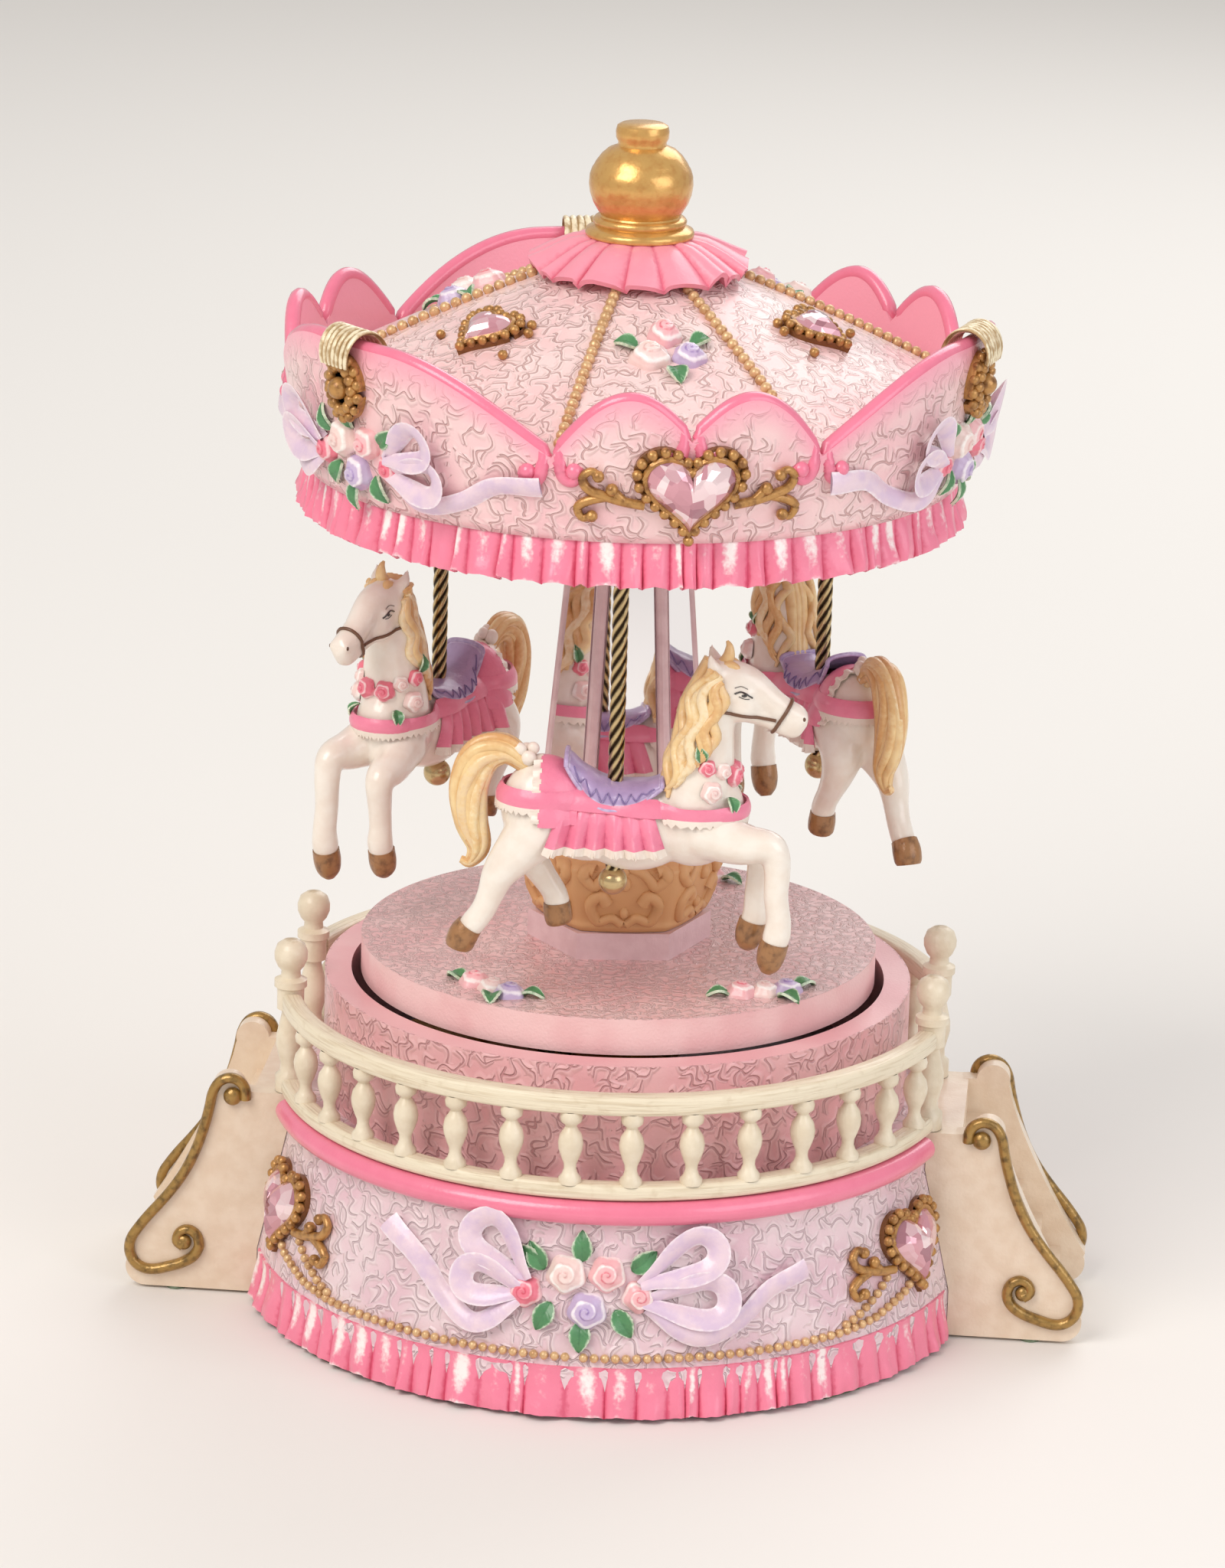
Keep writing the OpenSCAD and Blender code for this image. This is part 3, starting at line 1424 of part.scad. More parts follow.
base_shell();
well_ring();
pink_rail();
base_ruffle();
base_beads();
front_balustrade();
rear_balustrade();
newel_posts();
stairs_left();
stairs_right();
stair_scrolls();
base_gem_settings();
base_gems();
base_bouquets();
bottom_cover();
case_screws();
felt_pads();
carrier_plate();
centre_post();
lift_cam();
movement_bedplate();
movement_screws();
comb();
governor_frame();
spring_barrel();
mainspring();
drive_gear();
music_cylinder();
governor_wheel();
governor_fan();
winding_key();
turntable_hub();
platform_disc();
platform_roses();
column_plinth();
column_bowl();
column_frame();
mirror_panels();
canopy_floor();
pole_bushes();
crown_wall();
shell_ornaments();
canopy_ruffle();
canopy_gem_settings();
canopy_gems();
canopy_bouquets();
roof_shell();
roof_beads();
cap_ruffle();
finial();
front_horse();
front_saddle();
front_pole();
right_horse();
right_saddle();
right_pole();
left_horse();
left_saddle();
left_pole();
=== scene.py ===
"""Dressed model of a carousel music box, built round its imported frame.

Pieces are modelled in millimetres in the frame of the music box: +Z runs up the
carousel's axis, the stairs lie on +X and -X, and the front faces -Y. A piece is
turned into metres when it is finished.
"""

import logging
import math
import random
from collections.abc import Callable, Sequence
from dataclasses import dataclass
from enum import Enum

import bmesh
import bpy
from mathutils import Matrix, Vector
from mathutils.bvhtree import BVHTree

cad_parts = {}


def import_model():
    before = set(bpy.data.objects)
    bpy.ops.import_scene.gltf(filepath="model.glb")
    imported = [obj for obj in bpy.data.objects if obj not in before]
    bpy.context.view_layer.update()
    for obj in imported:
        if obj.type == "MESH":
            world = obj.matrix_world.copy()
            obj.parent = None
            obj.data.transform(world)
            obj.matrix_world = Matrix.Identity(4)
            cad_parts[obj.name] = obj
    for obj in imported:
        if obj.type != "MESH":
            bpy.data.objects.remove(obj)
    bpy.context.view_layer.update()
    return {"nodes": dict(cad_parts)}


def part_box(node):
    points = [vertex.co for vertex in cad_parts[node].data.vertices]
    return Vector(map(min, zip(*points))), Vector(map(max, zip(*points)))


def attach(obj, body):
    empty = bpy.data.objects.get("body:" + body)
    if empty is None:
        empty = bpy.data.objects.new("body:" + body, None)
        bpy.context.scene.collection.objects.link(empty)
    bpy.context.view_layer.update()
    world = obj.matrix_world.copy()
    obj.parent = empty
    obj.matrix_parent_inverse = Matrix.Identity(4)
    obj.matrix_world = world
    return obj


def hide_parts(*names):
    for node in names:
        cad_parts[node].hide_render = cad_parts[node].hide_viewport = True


LOG = logging.getLogger("carousel")

Colour = tuple[float, float, float, float]
Place = Callable[[float, float], Vector]
Share = Callable[[float, float], float]

MM = 0.001
MM_PER_M = 1000.0
FLOOR_GAP = 0.2  # lowest point of a thickened piece over the floor
THROW = 1.3  # offset, in wall thicknesses, over which a point counts as thrown out of a fold
UP = Vector((0.0, 0.0, 1.0))


def srgb(code: str) -> Colour:
    """Turn a six-digit colour code into linear light.

    Args:
        code: Red, green and blue as two hexadecimal digits each.

    Returns:
        The colour with an alpha of one.
    """
    parts = [int(code[i:i + 2], 16) / 255 for i in (0, 2, 4)]
    linear = [p / 12.92 if p <= 0.04045 else ((p + 0.055) / 1.055) ** 2.4 for p in parts]
    return (linear[0], linear[1], linear[2], 1.0)


def polar(radius: float, angle: float, height: float) -> Vector:
    """Return the point at a radius, an angle in degrees and a height."""
    turn = math.radians(angle)
    return Vector((radius * math.cos(turn), radius * math.sin(turn), height))


def lerp(first: float, last: float, share: float) -> float:
    """Return the value at a share of the way between two values."""
    return first + (last - first) * share


def lookup(x: float, table: Sequence[tuple[float, float]]) -> float:
    """Read a value from a table of pairs, on straight lines between them.

    Args:
        x: Where to read.
        table: Pairs of place and value, in rising order of place.

    Returns:
        The value, held at the table's ends outside them.
    """
    if x <= table[0][0]:
        return table[0][1]
    for (x0, y0), (x1, y1) in zip(table, table[1:]):
        if x <= x1:
            return lerp(y0, y1, (x - x0) / (x1 - x0))
    return table[-1][1]


def spline(points: Sequence[Sequence[float]], steps: int) -> list[Vector]:
    """Draw a smooth curve through points.

    Args:
        points: Points that the curve passes through, each of three or four numbers.
        steps: Steps from each point to the next.

    Returns:
        Points along the curve, with as many numbers each as the given ones.
    """
    given = [Vector(p) for p in points]
    padded = [2 * given[0] - given[1], *given, 2 * given[-1] - given[-2]]
    curve = []
    for a, b, c, d in zip(padded, padded[1:], padded[2:], padded[3:]):
        for step in range(steps):
            t = step / steps
            curve.append(0.5 * (2 * b + (c - a) * t + (2 * a - 5 * b + 4 * c - d) * t ** 2
                                + (3 * b - a - 3 * c + d) * t ** 3))
    curve.append(given[-1])
    return curve


# ------------------------------------------------------------------ finishes

class Graph:
    """The node graph of one material."""

    def __init__(self, name: str) -> None:
        """Start a material that has only a shader and its output."""
        self.material = bpy.data.materials.new(name)
        self.material.use_nodes = True
        self.tree = self.material.node_tree
        self.tree.nodes.clear()
        self.shader = self.add("ShaderNodeBsdfPrincipled")
        output = self.add("ShaderNodeOutputMaterial")
        self.feed(output, "Surface", self.shader.outputs["BSDF"])

    def feed(self, node: bpy.types.Node, socket: str | int, value: object) -> None:
        """Link a socket to another one, or set its value."""
        if isinstance(value, bpy.types.NodeSocket):
            self.tree.links.new(value, node.inputs[socket])
        else:
            node.inputs[socket].default_value = value

    def add(self, kind: str, inputs: dict | None = None, **settings: object) -> bpy.types.Node:
        """Add a node.

        Args:
            kind: Blender's name of the node.
            inputs: Sockets with the values or sockets that feed them.
            settings: Properties of the node itself.

        Returns:
            The new node.
        """
        node = self.tree.nodes.new(kind)
        for key, value in settings.items():
            setattr(node, key, value)
        for key, value in (inputs or {}).items():
            self.feed(node, key, value)
        return node

    def place(self) -> bpy.types.NodeSocket:
        """Return the object's coordinates in millimetres."""
        coords = self.add("ShaderNodeTexCoord")
        scale = (MM_PER_M, MM_PER_M, MM_PER_M)
        return self.add("ShaderNodeMapping", {"Vector": coords.outputs["Object"],
                                              "Scale": scale}).outputs["Vector"]

    def noise(self, at: bpy.types.NodeSocket, scale: float, detail: float = 2.0,
              colour: bool = False) -> bpy.types.NodeSocket:
        """Return a cloudy noise at a scale per millimetre, as a number or as three."""
        node = self.add("ShaderNodeTexNoise", {"Vector": at, "Scale": scale, "Detail": detail})
        return node.outputs["Color" if colour else 0]

    def span(self, value: bpy.types.NodeSocket, low: float, high: float,
             start: float = 0.0, end: float = 1.0) -> bpy.types.NodeSocket:
        """Stretch a stretch of values smoothly to another one and hold it at both ends."""
        node = self.add("ShaderNodeMapRange",
                        {"Value": value, "From Min": low, "From Max": high, "To Min": start, "To Max": end},
                        interpolation_type="SMOOTHSTEP")
        return node.outputs[0]

    def math(self, operation: str, first: object, second: object = 0.0) -> bpy.types.NodeSocket:
        """Return one sum of two numbers."""
        return self.add("ShaderNodeMath", {0: first, 1: second}, operation=operation).outputs[0]

    def mix(self, share: object, first: object, last: object) -> bpy.types.NodeSocket:
        """Return a colour between two colours."""
        return self.add("ShaderNodeMix", {0: share, 6: first, 7: last}, data_type="RGBA").outputs[2]

    def vector(self, operation: str, first: object, second: object = (0.0, 0.0, 0.0)) -> bpy.types.NodeSocket:
        """Return one sum of two vectors, a number for a dot product."""
        node = self.add("ShaderNodeVectorMath", {0: first, 1: second}, operation=operation)
        return node.outputs["Value" if operation == "DOT_PRODUCT" else "Vector"]

    def attribute(self, name: str) -> bpy.types.NodeSocket:
        """Return a number that each point of the mesh carries."""
        return self.add("ShaderNodeAttribute", attribute_name=name).outputs["Fac"]

    def bump(self, height: bpy.types.NodeSocket, strength: float, depth: float) -> None:
        """Raise the surface by a height, with a depth in millimetres."""
        node = self.add("ShaderNodeBump", {"Height": height, "Strength": strength, "Distance": depth * MM})
        self.feed(self.shader, "Normal", node.outputs[0])

    def dress(self, **sockets: object) -> bpy.types.Material:
        """Feed the shader, with a socket's words joined by underscores, and return the material."""
        for words, value in sockets.items():
            self.feed(self.shader, words.replace("_", " ").title().replace("Ior", "IOR"), value)
        return self.material


@dataclass(frozen=True)
class Finish:
    """A finish that pieces share. Each kind draws its own material."""

    name: str
    slot: str
    colour: str
    roughness: float = 0.4

    def material(self) -> bpy.types.Material:
        """Return the finish's material, which is drawn once."""
        return bpy.data.materials.get(self.name) or self.draw(Graph(self.name))

    def draw(self, graph: Graph) -> bpy.types.Material:
        """Draw the material."""
        raise NotImplementedError


@dataclass(frozen=True)
class CrackleResin(Finish):
    """Cast resin covered with short wavy grooves that hold a dark wash.

    Attributes:
        groove: Colour in the grooves.
        pearl_highlight: Colour of the painted highlight on the ridges, also laid in random pale patches.
        plain: Colour where the tone is one, which has no grooves.
        cell: Distance between strokes.
        depth: Depth of the relief.
        contrast: How strongly the grooves are coloured.
        above: Height under which the resin is smooth.
        beyond: Radius inside which the resin is smooth.
    """

    groove: str = "a06a68"
    pearl_highlight: str = "f6e3e0"
    plain: str = "f39ab0"
    cell: float = 4.3
    depth: float = 0.24
    contrast: float = 0.5
    above: float = -1000.0
    beyond: float = 0.0

    def _reach(self, graph: Graph, at: bpy.types.NodeSocket) -> bpy.types.NodeSocket:
        """Return one where the part is grooved: above a height, beyond a radius and off its plain edges."""
        axes = graph.add("ShaderNodeSeparateXYZ", {0: at}).outputs
        square = graph.math("ADD", graph.math("MULTIPLY", axes[0], axes[0]),
                            graph.math("MULTIPLY", axes[1], axes[1]))
        high = graph.math("GREATER_THAN", axes[2], self.above)
        outer = graph.math("GREATER_THAN", square, self.beyond ** 2)
        bare = graph.math("SUBTRACT", 1.0, graph.attribute("tone"))
        return graph.math("MULTIPLY", bare, graph.math("MULTIPLY", high, outer))

    def _strokes(self, graph: Graph, at: bpy.types.NodeSocket,
                 shift: float) -> tuple[bpy.types.NodeSocket, bpy.types.NodeSocket]:
        """Return one family of winding strokes, one to a cell, and the ridges beside them."""
        moved = graph.add("ShaderNodeMapping", {"Vector": at, "Location": (shift, shift, shift)}).outputs[0]
        cells = graph.add("ShaderNodeTexVoronoi", {"Vector": moved, "Scale": 1.0 / self.cell,
                                                   "Randomness": 0.85},
                          feature="F1").outputs
        normal = graph.add("ShaderNodeTexCoord").outputs["Normal"]
        local = graph.vector("SUBTRACT", moved, cells["Position"])
        chance = graph.vector("SUBTRACT", cells["Color"], (0.5, 0.5, 0.5))
        across = graph.vector("NORMALIZE", graph.vector("CROSS_PRODUCT", normal, chance))
        along = graph.vector("CROSS_PRODUCT", normal, across)
        run = graph.vector("DOT_PRODUCT", local, along)
        swing = graph.math("SINE", graph.math("MULTIPLY", run, math.tau / (0.82 * self.cell)))
        bend = graph.math("MULTIPLY", swing, 0.14 * self.cell)
        away = graph.math("ABSOLUTE", graph.math("SUBTRACT", graph.vector("DOT_PRODUCT", local, across),
                                                 bend))
        piece = graph.span(graph.math("ABSOLUTE", run), 0.5 * self.cell, 0.58 * self.cell, 1.0, 0.0)
        line = graph.math("MULTIPLY", piece, graph.span(away, 0.015 * self.cell, 0.055 * self.cell, 1.0, 0.0))
        ridge = graph.math("MULTIPLY", piece, graph.span(away, 0.08 * self.cell, 0.25 * self.cell, 1.0, 0.0))
        return line, ridge

    def draw(self, graph: Graph) -> bpy.types.Material:
        """Draw winding grooves in short strokes, and a pale painted highlight on the ridges beside them."""
        at = graph.place()
        drift = graph.vector("SUBTRACT", graph.noise(at, 1.2 / self.cell, 0.0, colour=True), (0.5, 0.5, 0.5))
        pushed = graph.add("ShaderNodeVectorMath", {0: drift, "Scale": 0.5 * self.cell},
                           operation="SCALE").outputs[0]
        warped = graph.vector("ADD", at, pushed)
        gate = self._reach(graph, at)
        families = [self._strokes(graph, warped, shift) for shift in (0.0, 57.0)]
        groove, ridge = families[0]
        for line, rise in families[1:]:
            groove, ridge = graph.math("MAXIMUM", groove, line), graph.math("MAXIMUM", ridge, rise)
        groove, ridge = graph.math("MULTIPLY", gate, groove), graph.math("MULTIPLY", gate, ridge)
        patch = graph.span(graph.noise(at, 0.09), 0.35, 0.65)
        ground = graph.mix(graph.math("MULTIPLY", 0.45, patch), srgb(self.colour), srgb(self.pearl_highlight))
        # Painted highlight: the ridges beside the strokes are lightened towards the highlight colour.
        lit = graph.mix(graph.math("MULTIPLY", 0.4, ridge), ground, srgb(self.pearl_highlight))
        lined = graph.mix(graph.math("MULTIPLY", self.contrast, groove), lit, srgb(self.groove))
        whole = graph.mix(graph.attribute("tone"), lined, srgb(self.plain))
        hollow = graph.math("MULTIPLY", groove, -1.6)
        grain = graph.math("MULTIPLY", graph.noise(at, 2.2), 0.25)
        graph.bump(graph.math("ADD", graph.math("ADD", ridge, hollow), grain), 0.75, self.depth)
        return graph.dress(base_color=whole, roughness=self.roughness, coat_weight=0.35, coat_roughness=0.2)


@dataclass(frozen=True)
class PaintedResin(Finish):
    """Painted resin with a tip colour where tone is one and a wash colour where wash is one."""

    tip: str = "fff4f0"
    wash: str = "8a4a50"
    mottle: float = 0.12
    coat: float = 0.3
    grain: float = 0.12

    def draw(self, graph: Graph) -> bpy.types.Material:
        """Draw the ground, its tips and its wash, with a brushed and uneven coat of paint."""
        at = graph.place()
        cloud = graph.noise(at, 0.35, 3.0)
        uneven = graph.math("MULTIPLY", graph.math("SUBTRACT", graph.noise(at, 1.3, 3.0), 0.5), 0.9)
        tone = graph.span(graph.math("ADD", graph.attribute("tone"), uneven), 0.35, 0.95)
        wash = graph.span(graph.math("ADD", graph.attribute("wash"), uneven), 0.3, 1.0)
        ground = graph.mix(graph.math("MULTIPLY", self.mottle, graph.span(cloud, 0.3, 0.7)),
                           srgb(self.colour), srgb(self.wash))
        tipped = graph.mix(tone, ground, srgb(self.tip))
        washed = graph.mix(graph.math("MULTIPLY", 0.85, wash), tipped, srgb(self.wash))
        graph.bump(graph.noise(at, 1.8, 3.0), 0.5, self.grain)
        return graph.dress(base_color=washed, roughness=self.roughness, coat_weight=self.coat,
                           coat_roughness=0.15)


@dataclass(frozen=True)
class RailResin(Finish):
    """Cream resin with a grain that runs round the axis, as on a carved wooden rail."""

    wash: str = "b59a72"

    def draw(self, graph: Graph) -> bpy.types.Material:
        """Draw long fine streaks that follow the rail."""
        at = graph.place()
        parts = graph.add("ShaderNodeSeparateXYZ", {0: at})
        x, y, z = parts.outputs[0], parts.outputs[1], parts.outputs[2]
        around = graph.math("MULTIPLY", graph.math("ARCTAN2", y, x), 6.0)
        out = graph.math("SQRT", graph.math("ADD", graph.math("MULTIPLY", x, x),
                                            graph.math("MULTIPLY", y, y)))
        along = graph.add("ShaderNodeCombineXYZ", {0: graph.math("MULTIPLY", out, 2.6), 1: around,
                                                   2: graph.math("MULTIPLY", z, 2.6)})
        streak = graph.noise(along.outputs[0], 1.0, 3.0)
        cloud = graph.noise(at, 0.5, 2.0)
        share = graph.math("MULTIPLY", graph.span(streak, 0.45, 0.7), 0.35)
        stained = graph.mix(share, srgb(self.colour), srgb(self.wash))
        dirty = graph.math("MULTIPLY", graph.span(cloud, 0.55, 0.8), 0.25)
        worn = graph.mix(dirty, stained, srgb(self.wash))
        graph.bump(streak, 0.6, 0.35)
        return graph.dress(base_color=worn, roughness=self.roughness, coat_weight=0.15)


@dataclass(frozen=True)
class GoldPaint(Finish):
    """Gold paint over resin, rubbed bright on its high spots and dark in its hollows."""

    dark: str = "6b3d1c"
    wear: float = 0.55
    metal: float = 0.55
    relief: float = 0.15

    def draw(self, graph: Graph) -> bpy.types.Material:
        """Draw bright gold with blotches of the dark under-coat."""
        at = graph.place()
        blotch = graph.math("ADD", graph.noise(at, 0.8, 4.0),
                            graph.math("MULTIPLY", graph.attribute("wash"), 0.5))
        share = graph.math("MULTIPLY", graph.span(blotch, 0.42, 0.75), self.wear)
        painted = graph.mix(share, srgb(self.colour), srgb(self.dark))
        graph.bump(graph.noise(at, 1.6, 3.0), 0.6, self.relief)
        return graph.dress(base_color=painted, metallic=self.metal, roughness=self.roughness, coat_weight=0.2)


@dataclass(frozen=True)
class Jewel(Finish):
    """Faceted clear pink plastic with a foil back, which sends light back out of its facets."""

    flash: str = "f7dfe2"
    shade: str = "a8707e"

    def draw(self, graph: Graph) -> bpy.types.Material:
        """Draw the foil's shards as painted shade, pink and painted glints that show through the polished
        front.
        """
        at = graph.place()
        cells = graph.add("ShaderNodeTexVoronoi", {"Vector": at, "Scale": 0.42}, feature="F1")
        shard = graph.add("ShaderNodeSeparateColor", {0: cells.outputs["Color"]}).outputs[0]
        # Each shard is painted from shade through the pink to a bright glint: painted shade and painted
        # glints of the foil back.
        deep = graph.mix(graph.span(shard, 0.05, 0.4), srgb(self.shade), srgb(self.colour))
        foil = graph.mix(graph.span(shard, 0.5, 0.95), deep, srgb(self.flash))
        return graph.dress(base_color=foil, metallic=0.35, roughness=self.roughness, coat_weight=1.0,
                           coat_roughness=0.02)


@dataclass(frozen=True)
class Metal(Finish):
    """Bare or plated metal with fine scratches and, where wash is one, a dark hollow."""

    dark: str = "3a2c18"
    scratch: float = 0.05
    metal: float = 0.92

    def draw(self, graph: Graph) -> bpy.types.Material:
        """Draw a brushed metal that is tarnished in patches."""
        at = graph.place()
        stain = graph.math("MULTIPLY", graph.span(graph.noise(at, 0.6, 4.0), 0.5, 0.8), 0.3)
        hollow = graph.math("MAXIMUM", stain, graph.span(graph.attribute("wash"), 0.15, 0.9))
        tarnished = graph.mix(hollow, srgb(self.colour), srgb(self.dark))
        streaks = graph.add("ShaderNodeMapping", {"Vector": at, "Scale": (6.0, 6.0, 0.6)}).outputs[0]
        graph.bump(graph.noise(streaks, 1.0, 3.0), 0.4, self.scratch)
        return graph.dress(base_color=tarnished, metallic=self.metal, roughness=self.roughness)


@dataclass(frozen=True)
class Fibre(Finish):
    """Felt or pressed board: matt, with a short fibre."""

    fleck: str = "8a8a78"
    pitch: float = 2.0

    def draw(self, graph: Graph) -> bpy.types.Material:
        """Draw two scales of fibre."""
        at = graph.place()
        fibre = graph.noise(at, self.pitch, 5.0)
        mottled = graph.mix(graph.span(fibre, 0.4, 0.65), srgb(self.colour), srgb(self.fleck))
        graph.bump(fibre, 0.8, 0.3)
        return graph.dress(base_color=mottled, roughness=self.roughness)


BASE_CRACKLE = CrackleResin("lilac_pink_crackle", "crackle_pink", "dfbcc6", 0.32, groove="a98490",
                            pearl_highlight="f1e4e4", plain="dfbcc6", contrast=0.42)
RING_CRACKLE = CrackleResin("rose_crackle", "crackle_pink", "e6a9ae", 0.4, groove="b06c72",
                            pearl_highlight="f0c6c6", plain="e6a9ae", contrast=0.55, beyond=46.2)
CANOPY_CRACKLE = CrackleResin("pale_pink_crackle", "crackle_pink", "f1c1c5", 0.34, groove="b0706c",
                              pearl_highlight="f8dfdb", plain="f7a5b8")
ROOF_CRACKLE = CrackleResin("roof_crackle", "crackle_pink", "f2cac9", 0.34, groove="b0726c",
                            pearl_highlight="f9e4df", plain="f2cac9", cell=3.8)
DISC_CRACKLE = CrackleResin("stage_pebble", "crackle_pink", "e6b3b4", 0.4, groove="c08c8c",
                            pearl_highlight="f6d9d6", plain="e0b0b4", cell=2.3, depth=0.4, contrast=0.22, above=59.1)
TRIM_PINK = PaintedResin("trim_pink", "gloss_pink", "ee7f9b", 0.28, tip="f6a9b8", wash="cf4f72", coat=0.6)
# On the ruffles the tip colour is a painted highlight on the pleat crests and the wash colour painted shade
# in their valleys.
RUFFLE_PINK = PaintedResin("ruffle_pink", "gloss_pink", "f286a1", 0.32, tip="fbefed", wash="d95476")
CAP_PINK = PaintedResin("cap_pink", "gloss_pink", "f59aad", 0.4, tip="fbc3ca", wash="e2708a")
CREAM = RailResin("cream_rail", "cream_resin", "e9ddc4", 0.42)
TURNED_CREAM = PaintedResin("turned_cream", "cream_resin", "e9ddc6", 0.42, tip="f5ecd9", wash="b59a72",
                            mottle=0.25)
STAIR_CREAM = PaintedResin("stair_cream", "stair_resin", "ead8c2", 0.42, tip="f5eadb", wash="c7a27c",
                           mottle=0.22)
TRIM_GOLD = GoldPaint("brown_gold", "gold_paint", "a98548", 0.3, dark="54401f", wear=0.8, metal=0.5)
BEAD_GOLD = GoldPaint("bead_gold", "gold_paint", "dfb888", 0.34, dark="a8743f", wear=0.7, metal=0.3)
SETTING_GOLD = GoldPaint("setting_gold", "gold_paint", "c08f52", 0.34, dark="6a3d1c", wear=0.8, metal=0.45)
FINIAL_GOLD = GoldPaint("finial_gold", "gold_paint", "dcae66", 0.27, dark="c07a3a", wear=0.4, metal=0.6,
                        relief=0.06)
SHELL_CREAM = GoldPaint("gilt_cream", "gold_paint", "f3e6c6", 0.36, dark="a37a3c", wear=0.8, metal=0.15)
BOWL_COPPER = GoldPaint("copper_gold", "copper_gold", "b8561c", 0.13, dark="5e2609", wear=0.6, metal=1.0,
                        relief=0.05)
COLUMN_PINK = PaintedResin("column_pearl", "crackle_pink", "dfc3c4", 0.35, tip="efdcd8", wash="b98a90",
                           mottle=0.3)
PLINTH_PINK = PaintedResin("plinth_pink", "crackle_pink", "e6c6c9", 0.42, tip="f3dcdc", wash="c79aa0",
                           mottle=0.3)
FLOOR_PINK = PaintedResin("floor_pink", "crackle_pink", "dcb3b8", 0.5, wash="b5838b", mottle=0.4)
WHITE_ROSE = PaintedResin("white_rose", "bloom_resin", "f3d9d3", 0.33, tip="fbf3ee", wash="dba6a2")
PINK_ROSE = PaintedResin("pink_rose", "bloom_resin", "ec7d90", 0.33, tip="f9ccd0", wash="d43656")
BLUSH_ROSE = PaintedResin("blush_rose", "bloom_resin", "f2bdc0", 0.33, tip="fbe9e6", wash="dc4560")
LILAC_ROSE = PaintedResin("lilac_rose", "bloom_resin", "cbb8d8", 0.33, tip="f2eaf2", wash="8a6bb0")
LEAF_GREEN = PaintedResin("leaf_green", "bloom_resin", "57935f", 0.36, tip="dbe9cf", wash="326443",
                          mottle=0.35)
RIBBON_LILAC = PaintedResin("ribbon_lilac", "bloom_resin", "ebd2dc", 0.3, tip="f8edf1", wash="bfa6d6",
                            mottle=0.4)
HEART_PINK = Jewel("heart_jewel", "jewel", "d79aa6", 0.05)
MIRROR = Metal("mirror_film", "mirror_film", "e6dcdf", 0.2, dark="cdbcc2", scratch=0.0, metal=0.45)
HORSE_WHITE = PaintedResin("horse_white", "horse_resin", "f2eadf", 0.28, tip="faf5ee", wash="cfa27c",
                           mottle=0.16,
                           coat=0.6, grain=0.06)
HAIR_BLOND = PaintedResin("hair_blond", "horse_resin", "f0d29b", 0.34, tip="f8ebc9", wash="d3954f",
                          mottle=0.45)
HOOF_BROWN = GoldPaint("hoof_brown", "horse_resin", "a3754b", 0.33, dark="5f4029", wear=0.7, metal=0.15)
SADDLE_LILAC = PaintedResin("saddle_lilac", "saddle_resin", "b6a0c8", 0.34, tip="d3c5df", wash="6f5b94",
                            mottle=0.25)
BLANKET_PINK = PaintedResin("blanket_pink", "saddle_resin", "f088a4", 0.34, tip="f9b9c6", wash="cf5c80",
                            mottle=0.2)
LACE_WHITE = PaintedResin("lace_white", "saddle_resin", "efe4d8", 0.4, tip="fbf6ef", wash="c79a86")
BRIDLE_BROWN = PaintedResin("bridle_brown", "horse_resin", "6e4a33", 0.4, tip="8a6144", wash="4a2f20")
EYE_DARK = PaintedResin("eye_dark", "horse_resin", "2c2624", 0.15, tip="4a403a", wash="14100f", coat=1.0)
POLE_BRASS = Metal("antique_brass", "pole_brass", "cdb486", 0.24, dark="2e2114")
BRASS = Metal("plain_brass", "brass", "cfac62", 0.3, dark="8a6a34")
STEEL = Metal("bright_steel", "steel", "b9bbbd", 0.32, dark="7c7d7e")
ZINC = Metal("cast_zinc", "zinc", "b1aca2", 0.5, dark="8a857c", scratch=0.2)
BOARD = Fibre("sealed_board", "board", "8a6a50", 0.7, fleck="a1815f", pitch=1.2)
FELT = Fibre("green_felt", "felt", "66745f", 0.95, fleck="7d8b74", pitch=2.5)
NYLON = PaintedResin("nylon", "cam_plastic", "d9d2c2", 0.5, wash="b8b09c")


# ------------------------------------------------------------------ shaping

Spot = Callable[[float, float, float], Vector]


@dataclass(frozen=True)
class Seat:
    """A place on a round wall, with a frame of its own.

    From the seat, u runs round the wall, v runs up its face and w stands off it.

    Attributes:
        angle: Where the seat lies round the axis, in degrees.
        radius: Radius of the wall there.
        height: Height of the seat.
        lean: How far the face turns upwards, in degrees: 90 faces straight up.
        turn: Turn of the design on the face, in degrees, anticlockwise.
        size: Scale of the design.
    """

    angle: float
    radius: float
    height: float
    lean: float = 0.0
    turn: float = 0.0
    size: float = 1.0

    def point(self, u: float, v: float, w: float) -> Vector:
        """Return the point at u, v and w from the seat."""
        turn, lean = math.radians(self.turn), math.radians(self.lean)
        across = self.size * (u * math.cos(turn) - v * math.sin(turn))
        rise = self.size * (u * math.sin(turn) + v * math.cos(turn))
        off = self.size * w
        radius = self.radius + off * math.cos(lean) - rise * math.sin(lean)
        height = self.height + rise * math.cos(lean) + off * math.sin(lean)
        return polar(radius, self.angle + math.degrees(across / self.radius), height)


